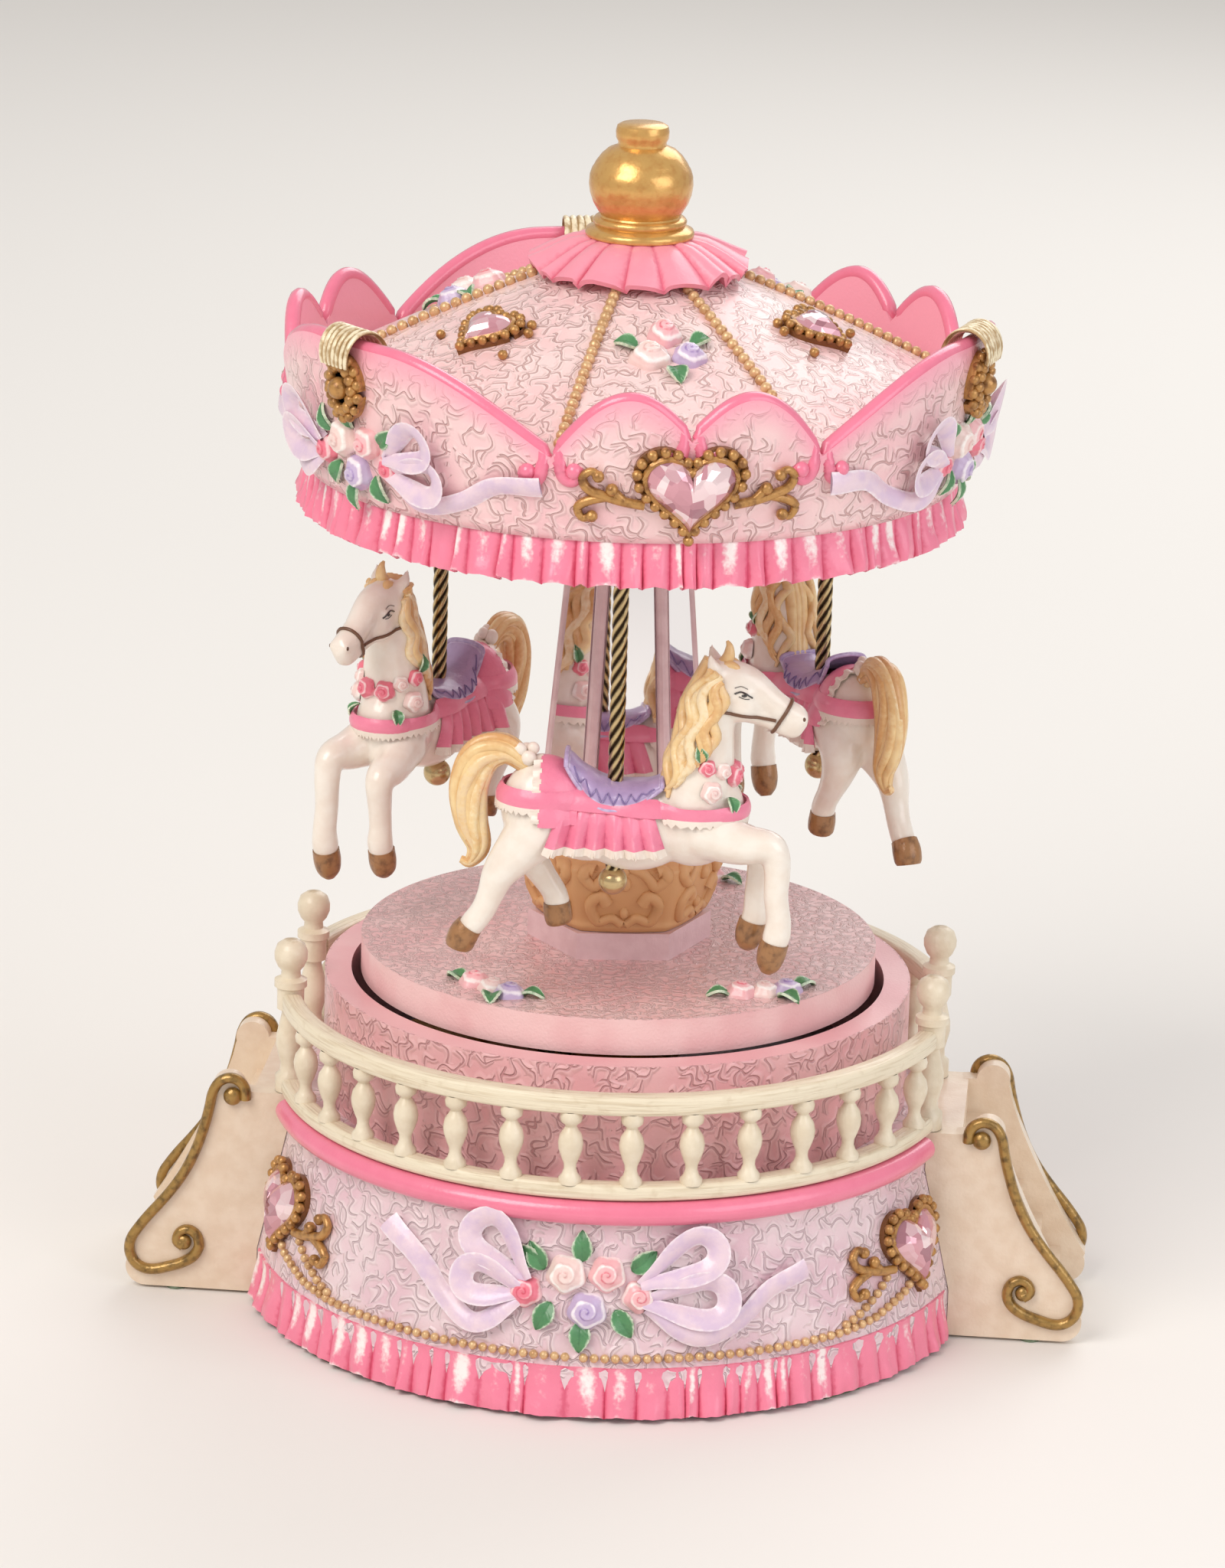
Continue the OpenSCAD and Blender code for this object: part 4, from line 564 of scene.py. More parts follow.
class Shape:
    """A mesh in millimetres whose points carry a tone and a wash for the finish."""

    def __init__(self) -> None:
        """Start with nothing in it."""
        self.mesh = bmesh.new()
        self.tone = self.mesh.verts.layers.float.new("tone")
        self.wash = self.mesh.verts.layers.float.new("wash")

    def paint(self, verts: Sequence[bmesh.types.BMVert], tone: float = 0.0, wash: float = 0.0) -> None:
        """Give points one tone and one wash."""
        for vert in verts:
            vert[self.tone], vert[self.wash] = tone, wash

    def lay(self, verts: Sequence[bmesh.types.BMVert], spot: Spot) -> None:
        """Carry points from a flat design to its place."""
        for vert in verts:
            vert.co = spot(*vert.co)

    def sheet(self, across: int, along: int, place: Place, tone: Share | None = None,
              wash: Share | None = None) -> list[bmesh.types.BMVert]:
        """Bend a flat grid to a surface.

        Args:
            across: Steps in the first direction.
            along: Steps in the second direction.
            place: Gives a point from two shares, each between 0 and 1.
            tone: Gives the tone from the same two shares.
            wash: Gives the wash from the same two shares.

        Returns:
            The sheet's points.
        """
        made = bmesh.ops.create_grid(self.mesh, x_segments=across, y_segments=along, size=0.5)["verts"]
        for vert in made:
            u, v = vert.co.x + 0.5, vert.co.y + 0.5
            vert.co = place(u, v)
            if tone:
                vert[self.tone] = tone(u, v)
            if wash:
                vert[self.wash] = wash(u, v)
        return made

    def tube(self, path: Sequence[Vector], radius: float | Sequence[float] | None = None, sides: int = 8,
             flat: float = 1.0, lift: Vector = UP, tone: float = 0.0, wash: float = 0.0,
             ) -> list[bmesh.types.BMVert]:
        """Sweep a round or flattened section along a path and close its ends.

        Args:
            path: Points of three numbers, or of four, whose last is then the radius.
            radius: One radius or one for each point, if the points don't hold it.
            sides: Sides of the section.
            flat: Thickness of the section as a share of its width.
            lift: Direction that the thickness keeps as near to as it can.
            tone: Tone of the points.
            wash: Wash of the points.

        Returns:
            The tube's points.
        """
        centres = [Vector(p[:3]) for p in path]
        if radius is None:
            radii = [p[3] for p in path]
        else:
            radii = list(radius) if isinstance(radius, Sequence) else [radius] * len(centres)
        frames = []
        for i in range(len(centres)):
            ahead = (centres[min(i + 1, len(centres) - 1)] - centres[max(i - 1, 0)]).normalized()
            side = ahead.cross(lift)
            if side.length < 0.05:
                side = frames[-1][0] if frames else ahead.orthogonal()
            side.normalize()
            if frames and side.dot(frames[-1][0]) < 0:
                side.negate()
            frames.append((side, side.cross(ahead).normalized()))
        last = len(centres) - 1

        def place(u: float, v: float) -> Vector:
            row = round(u * (last + 2)) - 1
            here = min(max(row, 0), last)
            if row != here:
                return centres[here].copy()
            side, rise = frames[here]
            turn = math.tau * v
            return (centres[here] + side * (radii[here] * math.cos(turn))
                    + rise * (radii[here] * flat * math.sin(turn)))

        made = self.sheet(last + 2, sides, place)
        self.paint(made, tone, wash)
        return made

    def ball(self, centre: Sequence[float], radius: float, scale: Sequence[float] = (1.0, 1.0, 1.0),
             fine: int = 1, tone: float = 0.0, wash: float = 0.0) -> list[bmesh.types.BMVert]:
        """Make a ball, stretched along the axes if asked, with eight sides for each unit of fineness."""
        made = bmesh.ops.create_uvsphere(self.mesh, u_segments=8 * fine, v_segments=5 * fine,
                                         radius=radius)["verts"]
        for vert in made:
            vert.co = Vector(centre) + Vector(c * s for c, s in zip(vert.co, scale))
        self.paint(made, tone, wash)
        return made

    def lathe(self, profile: Sequence[Sequence[float]], steps: int = 32, centre: Vector | None = None,
              ) -> list[bmesh.types.BMVert]:
        """Turn a profile round an upright axis.

        Args:
            profile: Radius and height of each point of the profile.
            steps: Steps round the axis.
            centre: Foot of the axis.

        Returns:
            The turned points.
        """
        foot = centre or Vector()
        rim = [self.mesh.verts.new(foot + Vector((r, 0.0, z))) for r, z in profile]
        edges = [self.mesh.edges.new(pair) for pair in zip(rim, rim[1:])]
        before = set(self.mesh.verts) - set(rim)
        bmesh.ops.spin(self.mesh, geom=rim + edges, cent=foot, axis=UP, angle=math.tau, steps=steps,
                       use_merge=True, use_duplicate=False)
        return [v for v in self.mesh.verts if v not in before]

    def outline(self, points: Sequence[Vector], depth: Vector) -> list[bmesh.types.BMVert]:
        """Make a plate from a closed outline.

        Args:
            points: Points round the outline, on a plane.
            depth: From the outline's face to the opposite one.

        Returns:
            The plate's points.
        """
        made = bmesh.ops.create_circle(self.mesh, cap_ends=True, segments=len(points), radius=1.0)["verts"]
        for vert, point in zip(made, points):
            vert.co = point
        face = made[0].link_faces[0]
        rear = bmesh.ops.extrude_face_region(self.mesh, geom=[face], use_keep_orig=True)["geom"]
        moved = [item for item in rear if isinstance(item, bmesh.types.BMVert)]
        bmesh.ops.translate(self.mesh, verts=moved, vec=depth)
        return made + moved

    def copy(self) -> "Shape":
        """Return a copy of the shape."""
        other = Shape()
        other.mesh.free()
        other.mesh = self.mesh.copy()
        other.tone, other.wash = (other.mesh.verts.layers.float[name] for name in ("tone", "wash"))
        return other

    def melt(self, voxel: float, rounds: int) -> None:
        """Melt overlapping solids into one smooth skin.

        Args:
            voxel: Size of the cells that the skin is drawn in.
            rounds: Rounds of smoothing.
        """
        data = bpy.data.meshes.new("melting")
        self.mesh.to_mesh(data)
        holder = bpy.data.objects.new("melting", data)
        bpy.context.scene.collection.objects.link(holder)
        remesh = holder.modifiers.new("melt", "REMESH")
        remesh.mode, remesh.voxel_size = "VOXEL", voxel
        smooth = holder.modifiers.new("soften", "SMOOTH")
        smooth.factor, smooth.iterations = 0.5, rounds
        graph = bpy.context.evaluated_depsgraph_get()
        melted = bpy.data.meshes.new_from_object(holder.evaluated_get(graph), depsgraph=graph)
        self.mesh.free()
        self.mesh = bmesh.new()
        self.mesh.from_mesh(melted)
        self.tone = self.mesh.verts.layers.float.new("tone")
        self.wash = self.mesh.verts.layers.float.new("wash")
        bpy.data.objects.remove(holder)
        for mesh in (data, melted):
            bpy.data.meshes.remove(mesh)

    def _thicken(self, thickness: float) -> None:
        """Give an open surface a wall, and hold back the points that a tight fold would throw out."""
        mark = self.mesh.verts.layers.int.new("mark")
        self.mesh.verts.index_update()
        starts = [vert.co.copy() for vert in self.mesh.verts]
        for vert in self.mesh.verts:
            vert[mark] = vert.index
        bmesh.ops.solidify(self.mesh, geom=self.mesh.faces, thickness=thickness)
        for vert in self.mesh.verts:
            start = starts[vert[mark]]
            shift = vert.co - start
            if shift.length > THROW * thickness:
                vert.co = start + shift.normalized() * thickness
            vert.co.z = max(vert.co.z, FLOOR_GAP)
        self.mesh.verts.layers.int.remove(mark)

    def finish(self, name: str, finish: Finish, body: str = "base", replaces: Sequence[str] = (),
               thickness: float = 0.0, sharp: float = 50.0, weld: float = 0.004) -> bpy.types.Object:
        """Turn the shape into a finished piece of the model.

        Args:
            name: The piece's name.
            finish: Its finish.
            body: The body that it moves with.
            replaces: CAD nodes that it stands for.
            thickness: Wall given to an open surface, inwards.
            sharp: Edges sharper than this many degrees stay crisp.
            weld: Points closer than this are joined.

        Returns:
            The piece.
        """
        bmesh.ops.remove_doubles(self.mesh, verts=self.mesh.verts, dist=weld)
        bmesh.ops.dissolve_degenerate(self.mesh, edges=self.mesh.edges, dist=weld / 2)
        bmesh.ops.recalc_face_normals(self.mesh, faces=self.mesh.faces)
        if thickness:
            self._thicken(thickness)
        bmesh.ops.scale(self.mesh, vec=(MM, MM, MM), verts=self.mesh.verts)
        data = bpy.data.meshes.new(name)
        self.mesh.to_mesh(data)
        self.mesh.free()
        data.shade_smooth()
        data.set_sharp_from_angle(angle=math.radians(sharp))
        data.materials.append(finish.material())
        piece = bpy.data.objects.new(name, data)
        bpy.context.scene.collection.objects.link(piece)
        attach(piece, body)
        if replaces:
            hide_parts(*replaces)
        LOG.info("%s: %d faces", name, len(data.polygons))
        return piece


# ------------------------------------------------------------------ ornaments

@dataclass(frozen=True)
class Rose:
    """A full-blown rose with petals wound round its heart.

    Attributes:
        radius: Radius over the outer petals.
        rise: Height of the middle over the edge, as a share of the radius.
        petals: Petals met on one turn round the heart.
    """

    radius: float = 2.6
    rise: float = 0.78
    petals: int = 5

    def add(self, shape: Shape, spot: Spot, u: float, v: float, sink: float = 0.6, spin: float = 0.0) -> None:
        """Add the rose to a shape.

        Args:
            shape: Where it is added.
            spot: Carries it to its place.
            u: Its place across the design.
            v: Its place up the design.
            sink: How far its edge lies under the surface.
            spin: Turn of the spiral in turns.
        """
        def form(across: float, along: float) -> tuple[float, float]:
            turn, out = across, along
            coil = 2.35 * out ** 0.8 - turn + spin
            ring = coil % 1.0
            lip = ring ** 2.2 if ring < 0.82 else (1 - (ring - 0.82) / 0.18)
            wave = 0.5 + 0.5 * math.cos(math.tau * (self.petals * turn / 2 + 1.3 * out + spin))
            lobe = 1 + 0.07 * math.cos(math.tau * self.petals * (turn + 0.06))
            roll = 0.20 * lip * (0.35 + 0.65 * out) * (0.6 + 0.4 * wave)
            height = self.rise * (1 - out ** 2.4) - 0.1 + roll
            return out * (lobe if out > 0.6 else 1.0), height if out < 0.999 else -0.35

        def place(across: float, along: float) -> Vector:
            out, height = form(across, along)
            turn = math.tau * across
            return spot(u + self.radius * out * math.cos(turn), v + self.radius * out * math.sin(turn),
                        self.radius * height - sink + 0.35 * self.radius)

        def tone(across: float, along: float) -> float:
            ring = (2.35 * along ** 0.8 - across + spin) % 1.0
            lip = lookup(ring, ((0.0, 0.1), (0.45, 0.35), (0.72, 0.95), (0.86, 1.0), (1.0, 0.1)))
            return lip * lookup(along, ((0.0, 0.2), (0.3, 0.45), (0.6, 1.0), (1.0, 1.0)))

        # The wash is painted shade in the crevices between the petals, strongest towards the heart of the
        # rose.
        def wash(across: float, along: float) -> float:
            ring = (2.35 * along ** 0.8 - across + spin) % 1.0
            hollow = lookup(ring, ((0.0, 1.0), (0.25, 0.5), (0.5, 0.2), (0.88, 0.3), (1.0, 1.0)))
            return hollow * lookup(along, ((0.0, 1.0), (0.3, 0.95), (0.55, 0.5), (1.0, 0.15)))

        shape.sheet(48, 18, place, tone, wash)


@dataclass(frozen=True)
class Leaf:
    """A veined leaf with a toothed edge, folded along its middle."""

    length: float = 4.6
    width: float = 2.5

    def add(self, shape: Shape, spot: Spot, u: float, v: float, heading: float, off: float = 0.2) -> None:
        """Add the leaf to a shape, growing from a point in a heading in degrees."""
        turn = math.radians(heading)
        ahead, side = Vector((math.cos(turn), math.sin(turn))), Vector((-math.sin(turn), math.cos(turn)))

        def place(across: float, along: float) -> Vector:
            half = abs(2 * across - 1)
            teeth = 0.12 * ((along * 7 + 0.35 * half) % 1.0) if half > 0.9 and 0.06 < along < 0.97 else 0.0
            blade = math.sin(math.pi * along ** 0.8) ** 0.75 if 0 < along < 1 else 0.0
            wide = self.width / 2 * blade + teeth
            out = (2 * across - 1) * wide
            vein = 0.10 * math.cos(math.tau * (along * 7 - 2.2 * half)) * math.sin(math.pi * half)
            height = 0.55 * half * wide / self.width * 2 + vein + 0.7 * math.sin(math.pi * along) + off
            at = ahead * (along * self.length) + side * out
            return spot(u + at.x, v + at.y, height)

        def tone(across: float, along: float) -> float:
            return 0.75 * max(0.0, abs(2 * across - 1) - 0.6) / 0.4 + 0.25 * along ** 3

        shape.sheet(12, 22, place, tone, lambda across, along: 0.55 * (1 - abs(2 * across - 1)) ** 3)


@dataclass(frozen=True)
class Ribbon:
    """A flat ribbon, tied in loops and hanging in wavy tails.

    Attributes:
        width: Width of the ribbon.
        thickness: Its thickness.
    """

    width: float = 3.2
    thickness: float = 0.55

    def run(self, shape: Shape, spot: Spot, path: Sequence[Vector], spread: Sequence[float],
            tilt: float) -> None:
        """Lay a ribbon along a path.

        Args:
            shape: Where it is added.
            spot: Carries it to its place.
            path: Points of its middle line on the design.
            spread: Its width at each point, as a share of the full width.
            tilt: How far one edge stands off more than the other one, as a share of the width.
        """
        last = len(path) - 1

        def place(u: float, v: float) -> Vector:
            here = min(round(u * last), last)
            ahead = path[min(here + 1, last)] - path[max(here - 1, 0)]
            side = Vector((-ahead.y, ahead.x, 0.0))
            side = side.normalized() if side.length > 1e-6 else Vector((0.0, 1.0, 0.0))
            wide = self.width * spread[here]
            face = v * 2 if v <= 0.5 else 2 - v * 2
            edge = (face - 0.5) * wide
            bulge = 0.35 * self.thickness * (1 - (2 * face - 1) ** 2)
            skin = (0.5 if 0 < v < 0.5 else -0.5 if 0.5 < v < 1 else 0.0) * self.thickness
            at = path[here] + side * edge
            return spot(at.x, at.y, at.z + tilt * edge + bulge + skin)

        def tone(u: float, v: float) -> float:
            face = v * 2 if v <= 0.5 else 2 - v * 2
            return lookup(abs(2 * face - 1), ((0.5, 0.1), (1.0, 0.75)))

        shape.sheet(last, 8, place, tone, lambda u, v: 0.35 * math.sin(math.pi * u * 3) ** 4)

    def loop(self, shape: Shape, spot: Spot, start: Vector, tip: Vector, swell: float) -> None:
        """Add a loop of a bow from a knot to its tip and back, with its two sides a swell apart."""
        ahead = tip - start
        side = Vector((-ahead.y, ahead.x, 0.0)).normalized()
        path, spread = [], []
        for step in range(25):
            t = step / 24
            reach, bow = math.sin(math.pi * t) ** 0.8, math.sin(math.tau * t)
            rise = 0.9 + 1.3 * math.sin(math.pi * t) + 0.5 * (t - 0.5)
            path.append(start + ahead * reach + side * (bow * swell / 2) + Vector((0.0, 0.0, rise)))
            spread.append(lerp(0.5, 1.0, min(1.0, 2.2 * math.sin(math.pi * t))))
        self.run(shape, spot, path, spread, 0.55)

    def tail(self, shape: Shape, spot: Spot, points: Sequence[Sequence[float]]) -> None:
        """Add a tail through points of the design, wavy, with a notched end."""
        path = [Vector((p.x, p.y, 0.8)) for p in spline([(u, v, 0.0) for u, v in points], 9)]
        last = len(path) - 1
        for here, point in enumerate(path):
            point.z += 0.55 * math.sin(here / last * math.pi * 2.6)
        spread = [lookup(here / last, ((0.0, 0.55), (0.15, 0.95), (0.8, 1.0),
                                       (1.0, 1.12))) for here in range(last + 1)]
        self.run(shape, spot, path, spread, 0.25)


def heart_points(width: float, count: int = 64) -> list[Vector]:
    """Return points round an upright heart whose bounds are centred.

    Args:
        width: Width of the heart.
        count: How many points.

    Returns:
        The points, on the plane of the design.
    """
    scale = width / 32
    points = []
    for step in range(count):
        t = math.tau * step / count
        x = 16 * math.sin(t) ** 3
        y = 13 * math.cos(t) - 5 * math.cos(2 * t) - 2 * math.cos(3 * t) - math.cos(4 * t)
        points.append(Vector((x * scale, (y + 2.5) * scale, 0.0)))
    return points


@dataclass(frozen=True)
class HeartGem:
    """A faceted heart in a setting of beads and a gold rim, with curled arms beside it.

    Attributes:
        width: Width of the gem.
        depth: How far its middle stands off its edge.
        bead: Radius of the beads round it.
    """

    width: float = 12.0
    depth: float = 2.2
    bead: float = 0.85

    def gem(self, shape: Shape, spot: Spot, off: float) -> None:
        """Cut the gem: a girdle, a ring of facets and a table broken into small facets."""
        count = 28
        rim = heart_points(self.width, count)
        made = bmesh.ops.create_circle(shape.mesh, cap_ends=True, segments=count, radius=1.0)["verts"]
        for vert, point in zip(made, rim):
            vert.co = point
        face = made[0].link_faces[0]
        points = set(made)
        outer = 1.0
        for share, rise in ((0.80, 0.5), (0.52, 0.82), (0.26, 0.95)):
            inner = bmesh.ops.extrude_face_region(shape.mesh, geom=[face])["geom"]
            verts = [item for item in inner if isinstance(item, bmesh.types.BMVert)]
            face = next(item for item in inner if isinstance(item, bmesh.types.BMFace))
            before = {v: v.co.copy() for v in verts}
            middle = sum((c for c in before.values()), Vector()) / len(verts)
            scale = share / outer
            outer = share
            for vert, co in before.items():
                vert.co = Vector((middle.x + (co.x - middle.x) * scale, middle.y + (co.y - middle.y) * scale,
                                  self.depth * rise))
            points.update(verts)
        top = bmesh.ops.poke(shape.mesh, faces=[face])["verts"]
        top[0].co.z = self.depth
        points.update(top)
        quads = [f for v in points for f in v.link_faces if len(f.verts) == 4]
        bmesh.ops.triangulate(shape.mesh, faces=list(set(quads)), quad_method="ALTERNATE")
        for vert in points:
            vert.co = spot(vert.co.x, vert.co.y, vert.co.z + off)

    def setting(self, shape: Shape, spot: Spot, back: float, arms: Sequence[int] = (-1, 1)) -> None:
        """Add the plate, its gold rims, its beads and its arms.

        Args:
            shape: Where they are added.
            spot: Carries them to their place.
            back: How far the plate's back lies under the surface.
            arms: Sides that an arm grows from: -1 for the left and 1 for the right.
        """
        plate = shape.outline(heart_points(self.width + 4.6 * self.bead, 64), Vector((0.0, 0.0, -back - 0.9)))
        for vert in plate:
            vert.co.z += 0.9
            vert[shape.wash] = 0.7
        shape.lay(plate, spot)
        rim = heart_points(self.width + 0.5, 64)
        shape.tube([spot(p.x, p.y, 1.3) for p in [*rim, rim[0]]], 0.5, 6)
        loop = heart_points(self.width + 3.2 * self.bead, 240)
        travelled = 0.0
        for first, second in zip(loop, [*loop[1:], loop[0]]):
            travelled += (second - first).length
            if travelled >= self.bead * 2.1:
                travelled = 0.0
                shape.ball(spot(second.x, second.y, 1.25), self.bead)
        for side in arms:
            self._arm(shape, spot, side)

    def _arm(self, shape: Shape, spot: Spot, side: int) -> None:
        """Add one arm that splits into two curls."""
        out = self.width / 2
        routes = (((0.2, -1.6, 0.75), (3.2, -1.1, 0.75), (6.0, -0.3, 0.75), (8.4, 0.7, 0.75), (9.2, 2.4, 0.7),
                   (8.0, 3.5, 0.6), (6.9, 2.8, 0.75)),
                  ((5.4, -0.5, 0.6), (8.2, -1.1, 0.75), (9.9, -2.3, 0.7), (9.2, -3.9, 0.6),
                   (7.8, -3.5, 0.75)),
                  ((2.8, -1.2, 0.6), (4.0, -0.2, 0.7), (4.9, 0.8, 0.8)))
        for route in routes:
            curve = spline([(side * (out + u), v, 0.7, r) for u, v, r in route], 5)
            shape.tube([Vector((*spot(*p[:3]), p[3])) for p in curve], sides=8)
            end = curve[-1]
            shape.ball(spot(end.x, end.y, 0.9), 1.25 * end[3])


@dataclass(frozen=True)
class Bouquet:
    """Roses and leaves tied with a bow whose long tails hang along the wall.

    Attributes:
        roses: Place, radius and colour name of each rose.
        leaves: Place and heading of each leaf.
        loops: Knot, tip and swell of each loop.
        tails: Points of each tail.
    """

    roses: tuple[tuple[float, float, float, str], ...]
    leaves: tuple[tuple[float, float, float], ...]
    loops: tuple[tuple[tuple[float, float], tuple[float, float], float], ...] = ()
    tails: tuple[tuple[tuple[float, float], ...], ...] = ()

    FINISHES = {"white": WHITE_ROSE, "pink": PINK_ROSE, "blush": BLUSH_ROSE, "lilac": LILAC_ROSE}

    def dress(self, name: str, spots: Sequence[Spot], replaces: Sequence[str] = (), body: str = "base",
              leaf: Leaf = Leaf(), ribbon: Ribbon = Ribbon()) -> None:
        """Make the bouquet's pieces in every place where it stands.

        Args:
            name: Start of the pieces' names.
            spots: Carries the design to each of its places.
            replaces: CAD nodes that the bouquets stand for.
            body: Body that they move with.
            leaf: Leaf used.
            ribbon: Ribbon used.
        """
        for colour, finish in self.FINISHES.items():
            chosen = [rose for rose in self.roses if rose[3] == colour]
            if not chosen:
                continue
            shape = Shape()
            for place, spot in enumerate(spots):
                for number, (u, v, radius, _) in enumerate(chosen):
                    spin = 0.37 * number + 0.21 * place + 0.13 * len(colour)
                    Rose(radius).add(shape, spot, u, v, spin=spin)
            shape.finish(f"{name}_{colour}_roses", finish, body, replaces, sharp=75)
        if self.leaves:
            shape = Shape()
            for spot in spots:
                for u, v, heading in self.leaves:
                    leaf.add(shape, spot, u, v, heading)
            shape.finish(f"{name}_leaves", LEAF_GREEN, body, thickness=0.4, sharp=70)
        if self.loops or self.tails:
            shape = Shape()
            for spot in spots:
                for start, tip, swell in self.loops:
                    ribbon.loop(shape, spot, Vector((*start, 0.0)), Vector((*tip, 0.0)), swell)
                for tail in self.tails:
                    ribbon.tail(shape, spot, tail)
            shape.finish(f"{name}_ribbons", RIBBON_LILAC, body, sharp=60)


def bead_line(shape: Shape, path: Sequence[Vector], radius: float, pitch: float) -> None:
    """Set small balls at an even pitch along a path.

    Args:
        shape: Where they are added.
        path: Points of the path.
        radius: Radius of a bead.
        pitch: From one bead to the next.
    """
    left = pitch / 2
    for first, second in zip(path, path[1:]):
        length = (second - first).length
        while left <= length:
            shape.ball(first.lerp(second, left / length), radius)
            left += pitch
        left -= length


@dataclass(frozen=True)
class Ruffle:
    """A gathered ruffle round the axis, with uneven pleats, a painted highlight on their crests and painted
    shade in their valleys.

    Attributes:
        rows: Radius and height from its gathered edge to its hem.
        pleats: Pleats on a full circle.
        depth: How far a ridge stands off its valleys at the hem.
        lift: How far a ridge stands over its valleys at the hem.
        seed: Seed of the unevenness.
        unrest: How uneven the pleats are, from 0 to 1.
    """

    rows: tuple[tuple[float, float], ...]
    pleats: int
    depth: float = 1.5
    lift: float = 0.4
    seed: int = 1
    unrest: float = 0.5

    def add(self, shape: Shape, start: float, end: float) -> None:
        """Add the ruffle from one angle to another one, in degrees."""
        rng = random.Random(self.seed)
        count = round(self.pleats * (end - start) / 360)
        sizes = [rng.uniform(1 - self.unrest, 1 + self.unrest) for _ in range(count)]
        heights = [rng.uniform(1 - self.unrest, 1.0) for _ in range(count)]
        lean = [rng.uniform(-0.3, 0.3) for _ in range(count)]
        drops = [rng.uniform(0.0, 1.0) for _ in range(count)]
        marks = [sum(sizes[:i]) / sum(sizes) for i in range(count + 1)]
        radii = [(i / (len(self.rows) - 1), row[0]) for i, row in enumerate(self.rows)]
        levels = [(i / (len(self.rows) - 1), row[1]) for i, row in enumerate(self.rows)]

        def ridge(u: float) -> tuple[int, float, float]:
            number = min(int(u * count), count - 1)
            within = u * count - number
            return number, within, math.sin(math.pi * within) ** 0.6 if 0 < within < 1 else 0.0

        def place(u: float, v: float) -> Vector:
            number, within, high = ridge(u)
            high *= heights[number]
            share = lerp(marks[number], marks[number + 1], within)
            slip = lean[number] * v * math.sin(math.pi * within) / count
            flare = 0.25 + 0.75 * v
            arch = math.sin(math.pi * within)
            crease = 0.14 * self.depth * math.cos(math.tau * (2 * within + 0.3 * number)) * arch
            crumple = 0.16 * self.depth * math.sin(5.5 * v + 2.1 * number) * arch * min(1.0, 2 * v)
            radius = lookup(v, radii) + self.depth * flare * (high - 0.5) + crease * v + crumple
            height = lookup(v, levels) + self.lift * v * ((high - 0.5) * 2 + drops[number] * high)
            return polar(radius, start + (end - start) * (share + slip), height)

        # The tone is a painted highlight on the crest of each pleat, with white along the hem.
        def tone(u: float, v: float) -> float:
            number, _, high = ridge(u)
            crest = high ** 4 * (0.25 + drops[number]) * (0.35 + 0.65 * math.sin(math.pi * min(1.0, 0.2 + v)))
            return min(1.0, 0.9 * crest + (0.45 * drops[number] if v > 0.9 else 0.0))

        # The wash is painted shade in the valleys between the pleats.
        shape.sheet(count * 8, 8, place, tone, lambda u, v: 0.95 * (1 - ridge(u)[2]) ** 1.3)


def swept_arc(shape: Shape, section: Sequence[Sequence[float]], start: float, end: float, steps: int,
              ) -> list[bmesh.types.BMVert]:
    """Sweep a closed section round the axis between two angles and cap its ends.

    Args:
        shape: Where it is added.
        section: Radius and height of each point of the section.
        start: First angle in degrees.
        end: Last angle in degrees.
        steps: Steps between the angles.

    Returns:
        The points of the arc.
    """
    middle = (sum(p[0] for p in section) / len(section), sum(p[1] for p in section) / len(section))

    def place(u: float, v: float) -> Vector:
        row = round(u * (steps + 2)) - 1
        here = min(max(row, 0), steps)
        radius, height = section[round(v * len(section)) % len(section)] if row == here else middle
        return polar(radius, lerp(start, end, here / steps), height)

    return shape.sheet(steps + 2, len(section), place)


def rounded_section(inner: float, outer: float, low: float, high: float, fillet: float, steps: int = 3,
                    ) -> list[tuple[float, float]]:
    """Return a rounded rectangle between two radii and two heights, as radius and height pairs."""
    corners = ((outer - fillet, high - fillet, 0.0), (inner + fillet, high - fillet, 90.0),
               (inner + fillet, low + fillet, 180.0), (outer - fillet, low + fillet, 270.0))
    section = []
    for r, z, first in corners:
        for step in range(steps + 1):
            turn = math.radians(first + 90 * step / steps)
            section.append((r + fillet * math.cos(turn), z + fillet * math.sin(turn)))
    return section


# ------------------------------------------------------------------ the base

BASE_BOUQUET = Bouquet(
    roses=((-2.8, 2.2, 3.1, "white"), (3.5, 2.5, 2.9, "blush"), (0.6, -3.2, 3.0, "lilac"),
           (-8.9, -0.9, 2.6, "pink"), (8.4, -0.9, 2.6, "blush")),
    leaves=((-6.2, 2.6, 122), (-0.4, 4.2, 92), (7.2, 3.0, 38), (-4.9, -2.2, -114), (-0.2, -4.8, -92),
            (4.8, -2.9, -60), (-7.0, 3.4, 150)),
    loops=(((-8.5, 1.0), (-17.0, 9.0), 6.0), ((-8.5, -1.0), (-18.5, 0.6), 5.0),
           ((8.5, 1.0), (20.0, 7.0), 5.6), ((8.5, -1.5), (21.7, -1.6), 6.0)),
    tails=(((-9.5, -2.0), (-15.6, -6.6), (-21.0, -4.2), (-27.0, 1.5), (-33.0, 5.6)),
           ((9.5, -2.5), (17.0, -7.2), (24.0, -5.2), (29.0, -1.0), (35.0, 1.2))))

